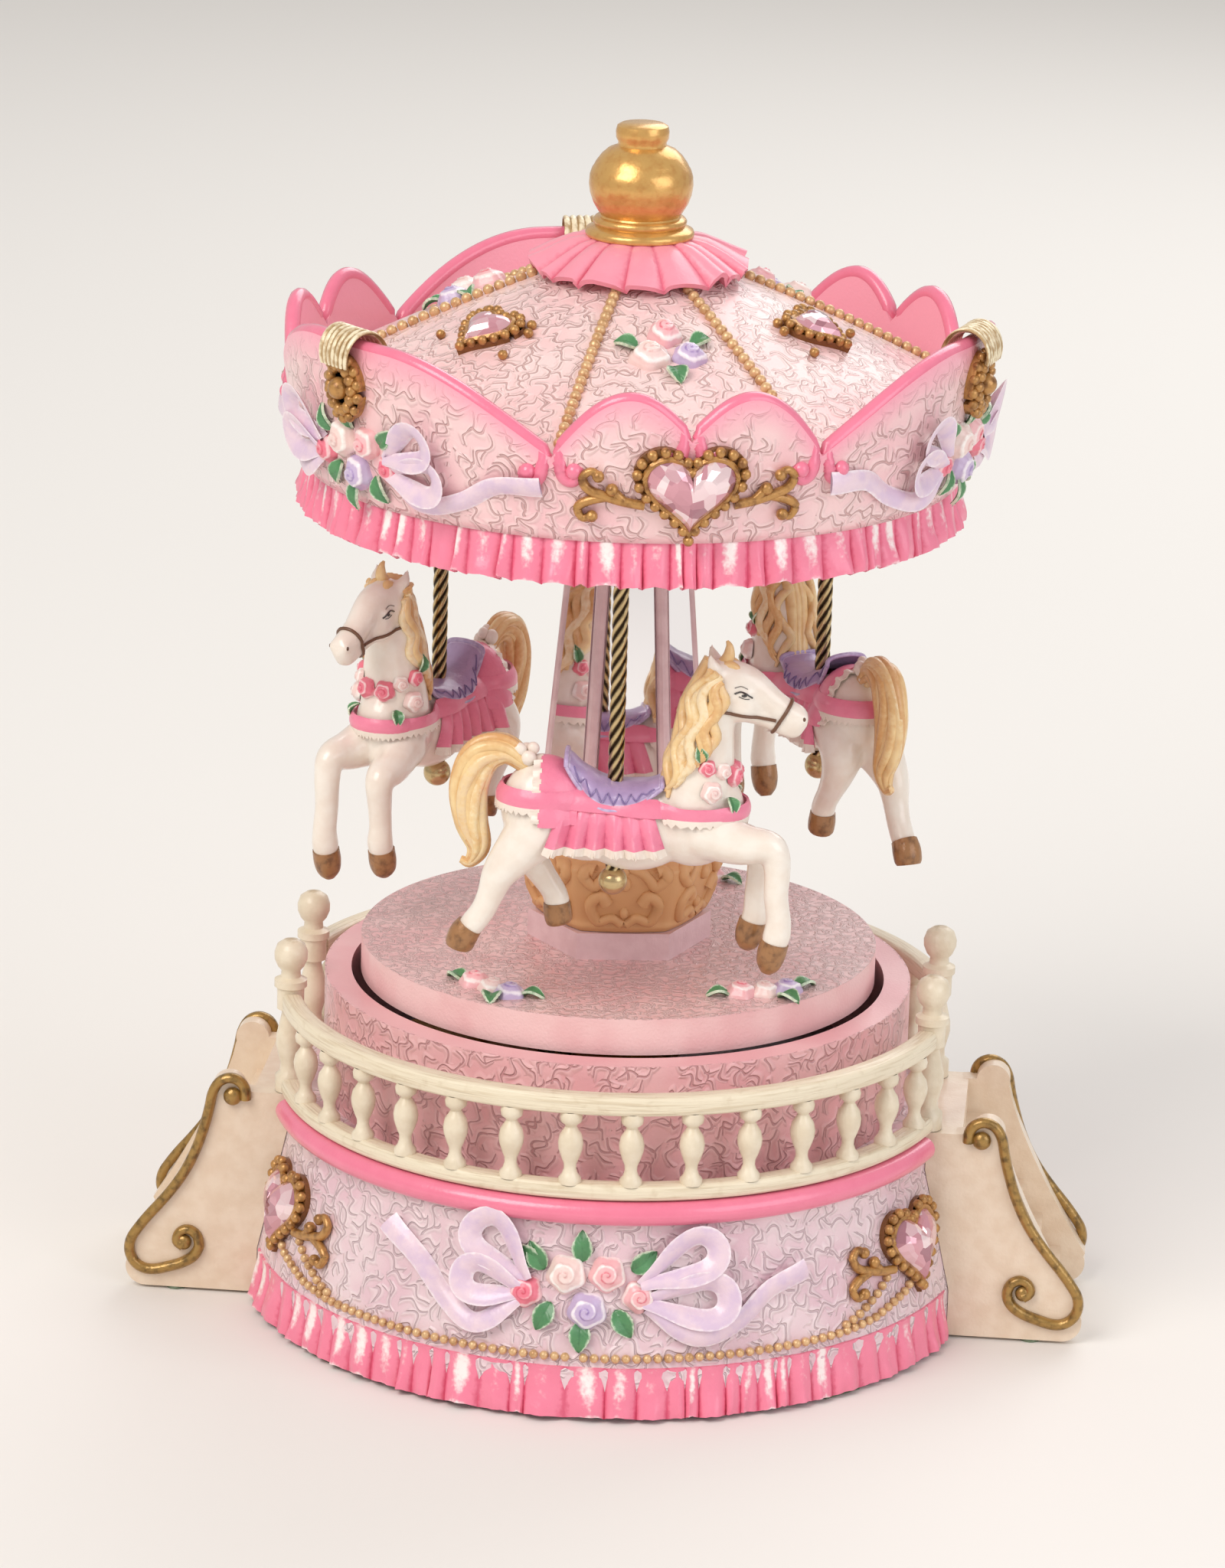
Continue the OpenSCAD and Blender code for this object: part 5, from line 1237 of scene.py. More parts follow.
CANOPY_BOUQUET = Bouquet(
    roses=((-2.6, 1.9, 2.9, "white"), (3.2, 2.2, 2.6, "blush"), (0.5, -2.9, 2.8, "lilac"),
           (-8.0, -0.8, 2.4, "pink"), (7.8, -0.8, 2.4, "pink")),
    leaves=((-5.8, 2.4, 122), (-0.4, 3.8, 92), (6.4, 2.8, 38), (-4.4, -2.0, -114), (-0.2, -4.2, -92),
            (4.3, -2.6, -60)),
    loops=(((-7.6, 0.8), (-15.5, 6.0), 5.0), ((-7.6, -1.0), (-17.5, 0.2), 4.6),
           ((7.6, 0.8), (16.0, 5.6), 5.0), ((7.6, -1.2), (18.0, -0.8), 4.8)),
    tails=(((-8.5, -2.0), (-14.5, -5.0), (-21.0, -3.4), (-27.0, 0.2), (-34.0, 0.8)),
           ((8.5, -2.2), (14.5, -5.0), (21.0, -3.6), (27.0, -0.2), (34.0, 0.6))))

ROOF_CLUSTER = Bouquet(
    roses=((0.2, 4.2, 3.0, "blush"), (-2.6, -1.3, 3.0, "white"), (3.2, -1.1, 2.6, "lilac")),
    leaves=((-4.2, 1.2, 165), (4.0, 1.6, 20), (0.6, -3.4, -85)))

STAGE_CLUSTER = Bouquet(
    roses=((-2.4, 1.4, 2.6, "blush"), (1.4, 0.4, 2.4, "white"), (4.8, -0.6, 2.5, "lilac")),
    leaves=((-4.2, 1.2, 170), (2.6, -1.8, -75), (6.4, -0.2, -5)))


@dataclass(frozen=True)
class Base:
    """The cast base: a leaning wall with its ruffle, beads, jewels, bouquets, rails and stairs.

    Attributes:
        wall: Height and radius of the wall at its foot and at its top.
        lean: How far the wall turns upwards, in degrees.
        skirt: Half of the angle that the ruffle covers on either side.
        rail_radius: Centre line of the balustrade.
        deck: Height of the deck.
        balusters: Balusters on either side.
        baluster_turn: Turn of the balusters between the posts, in degrees.
        post_angle: Half of the angle between two posts over a flight of stairs.
        gem_angle: Angle between the stairs and a jewel.
        gem_height: Height of the jewels.
        gem: The jewel and its setting.
    """

    wall: tuple[tuple[float, float], ...] = ((8.0, 57.0), (28.0, 52.6))
    lean: float = 12.4
    skirt: float = 73.6
    rail_radius: float = 52.1
    deck: float = 34.4
    balusters: int = 14
    baluster_turn: float = 3.0
    post_angle: float = 13.77
    gem_angle: float = 26.0
    gem_height: float = 18.5
    gem: HeartGem = HeartGem(12.0)

    SIDES = (-90, 90)
    BALUSTER = ((1.75, 0.0), (1.75, 0.07), (1.2, 0.13), (0.95, 0.2), (1.0, 0.27), (1.4, 0.35), (1.85, 0.47),
                (1.95, 0.56), (1.7, 0.67), (1.1, 0.75), (0.85, 0.79), (1.1, 0.82), (1.65, 0.86), (1.75, 0.93),
                (1.5, 1.0))
    POST = ((2.3, 0.0), (2.3, 2.6), (1.6, 3.2), (1.5, 4.5), (1.9, 6.0), (2.25, 7.6), (2.2, 9.2), (1.7, 11.4),
            (1.35, 13.0), (1.5, 13.4), (2.15, 13.7), (2.15, 16.2), (2.2, 17.2), (2.6, 17.4), (2.6, 18.5),
            (1.6, 19.0), (1.5, 20.0), (2.1, 20.7), (2.6, 21.9), (2.65, 23.0), (2.2, 24.3), (1.2, 25.0),
            (0.0, 25.2))
    SCROLL = ((57.2, 33.2), (57.3, 34.8), (58.0, 36.0), (59.2, 36.6), (60.4, 36.5), (61.6, 35.7),
              (62.5, 34.0),
              (63.0, 31.5), (63.8, 28.3), (65.0, 24.6), (66.6, 21.0), (68.5, 17.9), (70.7, 15.0),
              (72.7, 12.6),
              (74.4, 10.3), (75.5, 8.4), (75.7, 6.4), (74.9, 4.6), (73.4, 3.6), (71.6, 3.5), (69.4, 4.1),
              (67.2, 4.9), (65.4, 6.1), (64.5, 7.8), (64.9, 9.7), (66.3, 10.6), (67.7, 10.0), (68.0, 8.6),
              (67.0, 7.9))

    def wall_seat(self, angle: float, height: float) -> Seat:
        """Return a seat on the wall."""
        return Seat(angle, lookup(height, self.wall), height, self.lean)

    def dress_skirt(self) -> None:
        """Make the ruffle round the foot."""
        ruffle = Ruffle(((57.15, 8.6), (56.95, 7.6), (57.3, 5.6), (57.75, 3.4), (58.1, 1.9), (58.2, 0.8)), 88,
                        depth=1.5, lift=0.3, seed=11)
        shape = Shape()
        for side in self.SIDES:
            ruffle.add(shape, side - self.skirt, side + self.skirt)
        shape.finish("base_gathered_ruffle", RUFFLE_PINK, replaces=("base_ruffle",), thickness=0.5, sharp=60)

    def dress_beads(self) -> None:
        """Make the strands of beads along the wall."""
        rise = ((0.0, 10.1), (45.0, 10.3), (52.0, 10.9), (60.0, 12.8), (66.0, 15.6), (70.5, 18.6))
        drop = ((43.0, 10.6), (48.0, 12.0), (53.0, 14.3), (56.5, 16.6))
        shape = Shape()
        for side in self.SIDES:
            for end in (-1, 1):
                for table, first, last in ((rise, 0.6, 70.5), (drop, 44.6, 56.5)):
                    turns = [lerp(first, last, i / 60) for i in range(61)]
                    path = [self.wall_seat(side + end * t, lookup(t, table)).point(0, 0, 0.45) for t in turns]
                    bead_line(shape, path, 0.72, 1.62)
        shape.finish("base_bead_strands", BEAD_GOLD, replaces=("base_beads",))

    def dress_jewels(self) -> None:
        """Make the four hearts and their settings."""
        gems, settings = Shape(), Shape()
        for side in self.SIDES:
            for end in (-1, 1):
                seat = self.wall_seat(side + end * (90 - self.gem_angle), self.gem_height)
                self.gem.setting(settings, seat.point, 0.6, arms=(-end,))
                self.gem.gem(gems, seat.point, 1.5)
        settings.finish("base_jewel_settings", SETTING_GOLD, replaces=("base_gem_settings",))
        gems.finish("base_heart_jewels", HEART_PINK, replaces=("base_gems",), sharp=8)

    def dress_bouquets(self) -> None:
        """Make the bouquet in the middle of either side."""
        spots = [self.wall_seat(side + 1, 20.3).point for side in self.SIDES]
        BASE_BOUQUET.dress("base_bouquet", spots, ("base_bouquets",), leaf=Leaf(5.0, 2.9))

    def dress_rails(self) -> None:
        """Make the balustrades: two rails and turned balusters on either side."""
        start = self.post_angle + 2.7
        for side, node in zip(self.SIDES, ("front_balustrade", "rear_balustrade")):
            turned = Shape()
            span = 180 - 2 * self.post_angle
            for i in range(1, self.balusters + 1):
                angle = side - 90 + self.post_angle + self.baluster_turn + span * i / (self.balusters + 1)
                foot = polar(self.rail_radius, angle, self.deck + 2.3)
                made = turned.lathe([(r, share * 11.5) for r, share in self.BALUSTER], 14, foot)
                for vert in made:
                    vert[turned.wash] = max(0.0, 1.25 - (vert.co.xy - foot.xy).length) * 0.8
            turned.finish(f"{node}_balusters", TURNED_CREAM, replaces=(node,))
            rails = Shape()
            for low, high in ((self.deck, self.deck + 2.5), (48.0, 51.1)):
                half = 1.6
                section = rounded_section(self.rail_radius - half, self.rail_radius + half, low, high, 0.75)
                swept_arc(rails, section, side - 90 + start, side + 90 - start, 110)
            rails.finish(f"{node}_rails", CREAM)

    def dress_posts(self) -> None:
        """Make the four turned posts over the stairs."""
        shape = Shape()
        for side in (0, 180):
            for end in (-1, 1):
                foot = polar(self.rail_radius, side + end * self.post_angle, self.deck)
                made = shape.lathe(self.POST, 24, foot)
                for vert in made:
                    vert[shape.wash] = 0.6 * max(0.0, 1.9 - (vert.co.xy - foot.xy).length)
        shape.finish("turned_newel_posts", TURNED_CREAM, replaces=("newel_posts",))

    def dress_scrolls(self) -> None:
        """Make the scrolled mouldings on the fronts of the stringers."""
        shape = Shape()
        curve = spline([(x, 0.0, z) for x, z in self.SCROLL], 4)
        last = len(curve) - 1
        radii = [lookup(i / last, ((0.0, 0.9), (0.1, 0.85), (0.5, 0.85), (0.8, 0.9), (0.93, 0.75),
                                   (1.0, 1.05)))
                 for i in range(last + 1)]
        for side in (-1, 1):
            for flank in (-1, 1):
                path = [Vector((side * p.x, flank * 15.0, p.z)) for p in curve]
                shape.tube(path, radii, 9, 1.15, Vector((0.0, 1.0, 0.0)))
                for x, z, r in ((59.3, 33.6, 1.5), (67.0, 8.4, 1.3)):
                    shape.ball((side * x, flank * 15.0, z), r, (1.0, 0.75, 1.0), 2)
        shape.finish("stair_scroll_mouldings", TRIM_GOLD, replaces=("stair_scrolls",))

    def build(self, nodes: dict[str, bpy.types.Object]) -> None:
        """Make the base's pieces and give its plain nodes their finish."""
        dress_nodes(nodes, {"base_shell": BASE_CRACKLE, "pink_rail": TRIM_PINK, "well_ring": RING_CRACKLE,
                            "stairs_left": STAIR_CREAM, "stairs_right": STAIR_CREAM, "felt_pads": FELT,
                            "bottom_cover": BOARD, "case_screws": STEEL, "carrier_plate": STEEL,
                            "centre_post": STEEL, "lift_cam": NYLON})
        self.dress_skirt()
        self.dress_beads()
        self.dress_jewels()
        self.dress_bouquets()
        self.dress_rails()
        self.dress_posts()
        self.dress_scrolls()


def dress_nodes(nodes: dict[str, bpy.types.Object], finishes: dict[str, Finish]) -> None:
    """Give CAD nodes the materials of their finishes.

    Args:
        nodes: The CAD nodes by name.
        finishes: The finish for each node that is dressed.
    """
    for name, finish in finishes.items():
        materials = nodes[name].data.materials
        if materials:
            materials[0] = finish.material()
        else:
            materials.append(finish.material())
        LOG.info("%s: %s", name, finish.name)


# ------------------------------------------------------------------ the turning stage and the canopy

@dataclass(frozen=True)
class Stage:
    """The turning disc with its roses, its mirror column and the copper bowl under the column.

    Attributes:
        disc: Radius, underside and top of the disc.
        roses: Angle, radius and turn of each cluster of roses on the disc.
        bowl: Radius and height of each point of the bowl's side.
        facets: Sides of the column.
        turn: Turn of the column's corners, in degrees.
    """

    disc: tuple[float, float, float] = (40.8, 53.4, 59.2)
    roses: tuple[tuple[float, float, float], ...] = ((-121.0, 35.2, 8.0), (-47.0, 35.2, -10.0),
                                                     (73.0, 35.2, 5.0))
    bowl: tuple[tuple[float, float], ...] = ((13.6, 63.6), (14.3, 64.4), (14.2, 65.4), (15.0, 67.5),
                                             (15.9, 70.2),
                                             (16.4, 72.8), (16.5, 74.2), (15.7, 75.0), (14.6, 75.5))
    facets: int = 6
    turn: float = 8.0

    def dress_roses(self) -> None:
        """Make the clusters of roses that lie on the disc."""
        spots = [Seat(a, r, self.disc[2], 90, t).point for a, r, t in self.roses]
        STAGE_CLUSTER.dress("stage", spots, ("platform_roses",), "carousel", Leaf(4.2, 2.5))

    def dress_bowl(self) -> None:
        """Make the bowl: six soft sides with scrolls in relief."""
        levels = [(i / (len(self.bowl) - 1), z) for i, (_, z) in enumerate(self.bowl)]
        radii = [(i / (len(self.bowl) - 1), r) for i, (r, _) in enumerate(self.bowl)]

        def place(u: float, v: float) -> Vector:
            angle = 360 * u
            within = (angle - self.turn) % (360 / self.facets) - 180 / self.facets
            corner = math.cos(math.radians(180 / self.facets)) / math.cos(math.radians(within))
            side = lerp(1.0, corner, 0.62)
            return polar(lookup(v, radii) * side - 0.35, angle, lookup(v, levels))

        shape = Shape()
        shape.sheet(144, 24, place)
        for facet in range(self.facets):
            middle = (self.turn + (facet + 0.5) * 360 / self.facets) / 360
            for hand in (-1, 1):
                for curl in (((0.0, 0.2), (0.022, 0.3), (0.05, 0.26), (0.06, 0.42), (0.042, 0.5),
                              (0.03, 0.42)),
                             ((0.004, 0.86), (0.03, 0.74), (0.05, 0.58), (0.068, 0.66), (0.062, 0.8),
                              (0.048, 0.76))):
                    route = spline([(middle + hand * u, v, 0.0) for u, v in curl], 6)
                    path = [place(p.x, p.y) for p in route]
                    shape.tube(path, [0.5 - 0.3 * i / (len(path) - 1) for i in range(len(path))], 8, wash=0.0)
            for v, size in ((0.36, 0.75), (0.6, 0.95), (0.76, 0.6)):
                shape.ball(place(middle, v), size, (1.0, 1.0, 1.3), 2)
        shape.finish("embossed_column_bowl", BOWL_COPPER, "carousel", ("column_bowl",), thickness=1.2,
                     sharp=70)

    def build(self, nodes: dict[str, bpy.types.Object]) -> None:
        """Make the stage's pieces and give its plain nodes their finish."""
        dress_nodes(nodes, {"platform_disc": DISC_CRACKLE, "turntable_hub": BRASS,
                            "column_plinth": PLINTH_PINK,
                            "column_frame": COLUMN_PINK, "mirror_panels": MIRROR, "pole_bushes": BRASS,
                            "canopy_floor": FLOOR_PINK})
        self.dress_roses()
        self.dress_bowl()


@dataclass(frozen=True)
class Canopy:
    """The canopy: a flared crown with scrolled arches, a crackled roof, ruffles and a gilt finial.

    Attributes:
        foot: Height of the crown's foot.
        foot_radius: Radius of the crown at its foot.
        flare: How much wider it is at its highest.
        high: Height of its highest arches over its foot.
        wall: Thickness of its wall.
        hearts: Angles of the three hearts.
        jewel_height: Height of the hearts over the foot.
        lean: How far the wall turns upwards; less than zero, because it leans out.
        roof: Radius and height of the roof's eye, and its run and its drop to its edge.
        roof_spot: Where the roof's ornaments lie, as a share of its run.
        rib_turn: Angle between a heart and the beads beside it on the roof.
    """

    foot: float = 136.5
    foot_radius: float = 50.8
    flare: float = 4.5
    high: float = 24.8
    wall: float = 2.2
    hearts: tuple[float, ...] = (-76.0, 44.0, 164.0)
    jewel_height: float = 8.1
    lean: float = -9.0
    roof: tuple[float, float, float, float] = (6.0, 169.3, 45.0, 20.5)
    roof_spot: float = 0.5
    rib_turn: float = 22.0

    FINIAL = ((0.0, 189.35), (3.3, 189.35), (3.9, 189.0), (4.1, 188.2), (4.05, 187.2), (3.7, 186.5),
              (3.75, 186.0),
              (5.2, 185.4), (6.2, 184.5), (7.0, 183.4), (7.35, 182.7), (7.55, 182.45), (7.9, 181.4),
              (8.0, 180.0),
              (7.8, 178.6), (7.35, 177.3), (7.25, 177.1), (6.6, 176.0), (6.15, 175.3), (6.3, 175.05),
              (6.9, 174.9),
              (7.2, 174.5), (7.15, 174.0), (6.9, 173.7), (7.4, 173.45), (8.2, 173.1), (8.4, 172.6),
              (8.3, 172.1),
              (7.6, 171.75), (0.0, 171.75))
    SMALL, LARGE = 22.0, 60.0
    VOLUTE = ((3.0, -2.6, 0.95), (3.3, -3.6, 0.95), (2.2, -4.5, 1.0), (1.0, -3.9, 1.05), (0.45, -2.4, 1.1))

    def radius(self, rise: float) -> float:
        """Return the crown's outer radius at a height over its foot."""
        return self.foot_radius + self.flare * (max(rise, 0.0) / self.high) ** 0.62

    def rim(self, angle: float) -> float:
        """Return the height of the rim over the foot at an angle."""
        turn = min(abs((angle - heart + 180) % 360 - 180) for heart in self.hearts)
        if turn < 9.5:
            return 16.0 + 6.3 * math.sin(math.radians(90 * turn / 9.5))
        if turn < self.SMALL:
            return 12.8 + 9.5 * math.cos(math.radians(90 * (turn - 9.5) / 12.5))
        return 12.8 + 12.0 * math.sin(math.radians(min(90.0, 90 * (turn - self.SMALL) / 30)))

    def slope(self, share: float) -> tuple[float, float, float]:
        """Return the radius, the height and the lean of the roof at a share of its run."""
        eye, peak, run, drop = self.roof
        angle = math.degrees(math.atan(drop * (0.82 + 0.36 * share) / run))
        return eye + run * share, peak - drop * (0.82 * share + 0.18 * share ** 2), 90 - angle

    def crown_seat(self, angle: float) -> Seat:
        """Return a seat on the crown at the height of the hearts."""
        return Seat(angle, self.radius(self.jewel_height), self.foot + self.jewel_height, self.lean)

    def dress_crown(self) -> None:
        """Make the crown: a crackled outside, a plain inside and an arched rim."""
        rows = 14

        def place(u: float, v: float) -> Vector:
            row, angle = round(v * (2 * rows + 2)), 360 * u
            rim = self.rim(angle)
            if row <= rows or row == 2 * rows + 2:
                rise = rim * (row % (2 * rows + 2)) / rows
                return polar(self.radius(rise), angle, self.foot + rise)
            rise = rim * (2 * rows + 1 - row) / rows
            return polar(self.radius(rise) - self.wall, angle, self.foot + rise)

        def tone(u: float, v: float) -> float:
            row = round(v * (2 * rows + 2))
            if rows < row < 2 * rows + 2:
                return 1.0
            return lookup((row % (2 * rows + 2)) / rows, ((0.0, 0.0), (0.78, 0.0), (0.95, 0.8), (1.0, 1.0)))

        shape = Shape()
        shape.sheet(1080, 2 * rows + 2, place, tone)
        shape.finish("arched_crown", CANOPY_CRACKLE, "carousel", ("crown_wall",), sharp=70)

    def dress_rim(self) -> None:
        """Make the rolled rim: a scroll over each arch, curled under itself at both ends."""
        shape = Shape()
        arches = []
        for heart in self.hearts:
            arches += [(heart, heart + self.SMALL), (heart - self.SMALL, heart),
                       (heart + self.SMALL, heart + 2 * self.LARGE - self.SMALL)]
        for first, last in arches:
            path: list[Vector] = []
            per_mm = math.degrees(1 / self.radius(16.0))
            gap = 0.95 * per_mm
            for angle, way in ((first + gap, 1), (last - gap, -1)):
                top = self.rim(angle)
                curl = [Vector((angle + way * u * per_mm, top + v, r)) for u, v, r in self.VOLUTE]
                arm = spline([(p.x, p.y, p.z) for p in curl], 4)
                path = path + arm if way == 1 else path + arm[::-1]
                if way == 1:
                    count = max(12, round((last - first) / 0.9))
                    for i in range(count + 1):
                        turn = lerp(first + gap, last - gap, i / count)
                        path.append(Vector((turn, self.rim(turn) - 0.1, 1.2)))
            points = []
            for turn, rise, thick in path:
                depth = 0.55 * self.wall if rise > self.rim(turn) - 1.0 else 0.1
                points.append(Vector((*polar(self.radius(rise) - depth, turn, self.foot + rise), thick)))
            points = [p for i, p in enumerate(points) if i == 0 or (p - points[i - 1]).length > 0.05]
            shape.tube(self._soften(points), sides=10)
            for angle, way in ((first + gap, 1), (last - gap, -1)):
                rise = self.rim(angle) - 2.9
                turn = angle + way * 2.6 * per_mm
                shape.ball(polar(self.radius(rise) + 0.1, turn, self.foot + rise), 1.25, fine=2)
        shape.finish("scrolled_rim", TRIM_PINK, "carousel", sharp=80)

    @staticmethod
    def _soften(points: Sequence[Vector]) -> list[Vector]:
        """Return the points with each one moved to the mean of itself and its neighbours."""
        inner = [(a + 2 * b + c) / 4 for a, b, c in zip(points, points[1:], points[2:])]
        return [points[0], *inner, points[-1]]

    def dress_shells(self) -> None:
        """Make the gilt shells: a dark oval outside and a ribbed fan folded over the rim."""
        fans, ovals = Shape(), Shape()
        for heart in self.hearts:
            seat = Seat(heart + 60, self.radius(20.0), self.foot + 20.0, -4.0)

            def fold(u: float, v: float, seat: Seat = seat) -> Vector:
                rib = abs(math.sin(math.pi * 7 * u)) ** 0.6
                turn = math.radians(lerp(-12, 196, v))
                reach = 3.6 + 0.4 * rib * math.sin(math.pi * min(1.0, v + 0.15))
                wide = lerp(6.2, 9.6, v) * (1 + 0.05 * rib)
                return seat.point((u - 0.5) * wide, 3.0 + 1.15 * reach * math.sin(turn),
                                  -0.8 + reach * math.cos(turn))

            fans.sheet(84, 24, fold, None, lambda u, v: 0.9 * (1 - abs(math.sin(math.pi * 7 * u)) ** 0.5))
            for i in range(14):
                turn = math.tau * i / 14
                for u, v, w, radius in ((2.5 * math.cos(turn), 3.4 * math.sin(turn), 1.6, 0.95),
                                        (3.5 * math.cos(turn + 0.2), 4.7 * math.sin(turn + 0.2), 1.2, 0.85)):
                    ovals.ball(seat.point(u, v - 1.4, w), radius)
            plate = ovals.outline([Vector((3.9 * math.cos(math.tau * i / 32),
                                           5.1 * math.sin(math.tau * i / 32), 0.0))
                                   for i in range(32)], Vector((0.0, 0.0, -2.6)))
            for vert in plate:
                vert.co.z += 1.3
            ovals.lay(plate, lambda u, v, w, seat=seat: seat.point(u, v - 1.4, w))
            ovals.ball(seat.point(0.0, -1.4, 1.9), 1.7, fine=2)
        fans.finish("shell_fans", SHELL_CREAM, "carousel", ("shell_ornaments",), thickness=0.6, sharp=70)
        ovals.finish("shell_ovals", SETTING_GOLD, "carousel", sharp=60)

    def dress_jewels(self) -> None:
        """Make the hearts on the crown and on the roof, with their settings."""
        gems, settings = Shape(), Shape()
        crown, small = HeartGem(12.8), HeartGem(8.4, 1.7, 0.8)
        for heart in self.hearts:
            seat = self.crown_seat(heart)
            crown.setting(settings, seat.point, 0.6)
            crown.gem(gems, seat.point, 1.5)
            radius, height, lean = self.slope(0.52)
            roof = Seat(heart + 60, radius, height, lean)
            small.setting(settings, roof.point, 0.4, arms=())
            small.gem(gems, roof.point, 1.5)
            for u, v in ((-6.4, 4.6), (6.6, 4.4), (-7.4, 2.6), (7.5, 2.4), (-7.2, -3.4), (7.0, -3.6)):
                settings.ball(roof.point(u, v, 0.6), 0.8)
        settings.finish("canopy_jewel_settings", SETTING_GOLD, "carousel", ("canopy_gem_settings",))
        gems.finish("canopy_heart_jewels", HEART_PINK, "carousel", ("canopy_gems",), sharp=8)

    def dress_bouquets(self) -> None:
        """Make the bouquets on the crown and the roses on the roof."""
        spots = [self.crown_seat(heart + 60).point for heart in self.hearts]
        CANOPY_BOUQUET.dress("canopy_bouquet", spots, ("canopy_bouquets",), "carousel", Leaf(4.6, 2.6),
                             Ribbon(3.0, 0.5))
        radius, height, lean = self.slope(self.roof_spot)
        roof = [Seat(heart, radius, height, lean).point for heart in self.hearts]
        ROOF_CLUSTER.dress("roof_cluster", roof, (), "carousel", Leaf(4.2, 2.5))

    def dress_beads(self) -> None:
        """Make the strands of beads that divide the roof."""
        shape = Shape()
        for heart in self.hearts:
            for side in (-1, 1):
                path = []
                for step in range(41):
                    radius, height, lean = self.slope(lerp(0.17, 0.96, step / 40))
                    path.append(Seat(heart + side * self.rib_turn, radius, height, lean).point(0, 0, 0.45))
                bead_line(shape, path, 0.9, 1.8)
        shape.finish("roof_bead_strands", BEAD_GOLD, "carousel", ("roof_beads",))

    def dress_ruffles(self) -> None:
        """Make the ruffle under the crown and the frilled cap under the finial."""
        hem = Shape()
        Ruffle(((50.0, 137.6), (50.3, 136.4), (50.5, 134.6), (50.9, 132.4), (51.3, 130.8), (51.3, 129.7)), 84,
               depth=1.7, lift=0.4, seed=5).add(hem, 0, 360)
        hem.finish("canopy_gathered_ruffle", RUFFLE_PINK, "carousel", ("canopy_ruffle",), thickness=0.5,
                   sharp=60)
        cap = Shape()
        Ruffle(((7.0, 172.2), (8.6, 171.9), (10.6, 171.3), (13.0, 170.0), (15.4, 168.5), (16.9, 167.6)), 18,
               depth=1.0, lift=0.8, seed=9).add(cap, 0, 360)
        # The cap's painted highlight on its pleat crests is kept faint.
        for vert in cap.mesh.verts:
            vert[cap.tone] *= 0.35
        cap.finish("frilled_cap", CAP_PINK, "carousel", ("cap_ruffle",), thickness=0.8, sharp=60)

    def dress_finial(self) -> None:
        """Make the turned finial."""
        shape = Shape()
        shape.lathe(self.FINIAL, 56)
        shape.finish("turned_finial", FINIAL_GOLD, "carousel", ("finial",), sharp=45)

    def build(self, nodes: dict[str, bpy.types.Object]) -> None:
        """Make the canopy's pieces and give its plain nodes their finish."""
        dress_nodes(nodes, {"roof_shell": ROOF_CRACKLE})
        self.dress_crown()
        self.dress_rim()
        self.dress_shells()
        self.dress_jewels()
        self.dress_bouquets()
        self.dress_beads()
        self.dress_ruffles()
        self.dress_finial()


# ------------------------------------------------------------------ the movement

@dataclass(frozen=True)
class Movement:
    """The musical movement inside the base, which keeps its CAD shapes."""

    finishes: tuple[tuple[str, Finish], ...] = (
        ("movement_bedplate", ZINC), ("governor_frame", ZINC), ("movement_screws", STEEL), ("comb", STEEL),
        ("governor_fan", STEEL), ("mainspring", STEEL), ("spring_barrel", BRASS), ("drive_gear", BRASS),
        ("music_cylinder", BRASS), ("governor_wheel", BRASS), ("winding_key", BRASS))

    def build(self, nodes: dict[str, bpy.types.Object]) -> None:
        """Give the movement's nodes their finish."""
        dress_nodes(nodes, dict(self.finishes))


# ------------------------------------------------------------------ the horses

class Side(Enum):
    """A side of a horse, by the sign of its y."""

    NEAR = -1
    FAR = 1


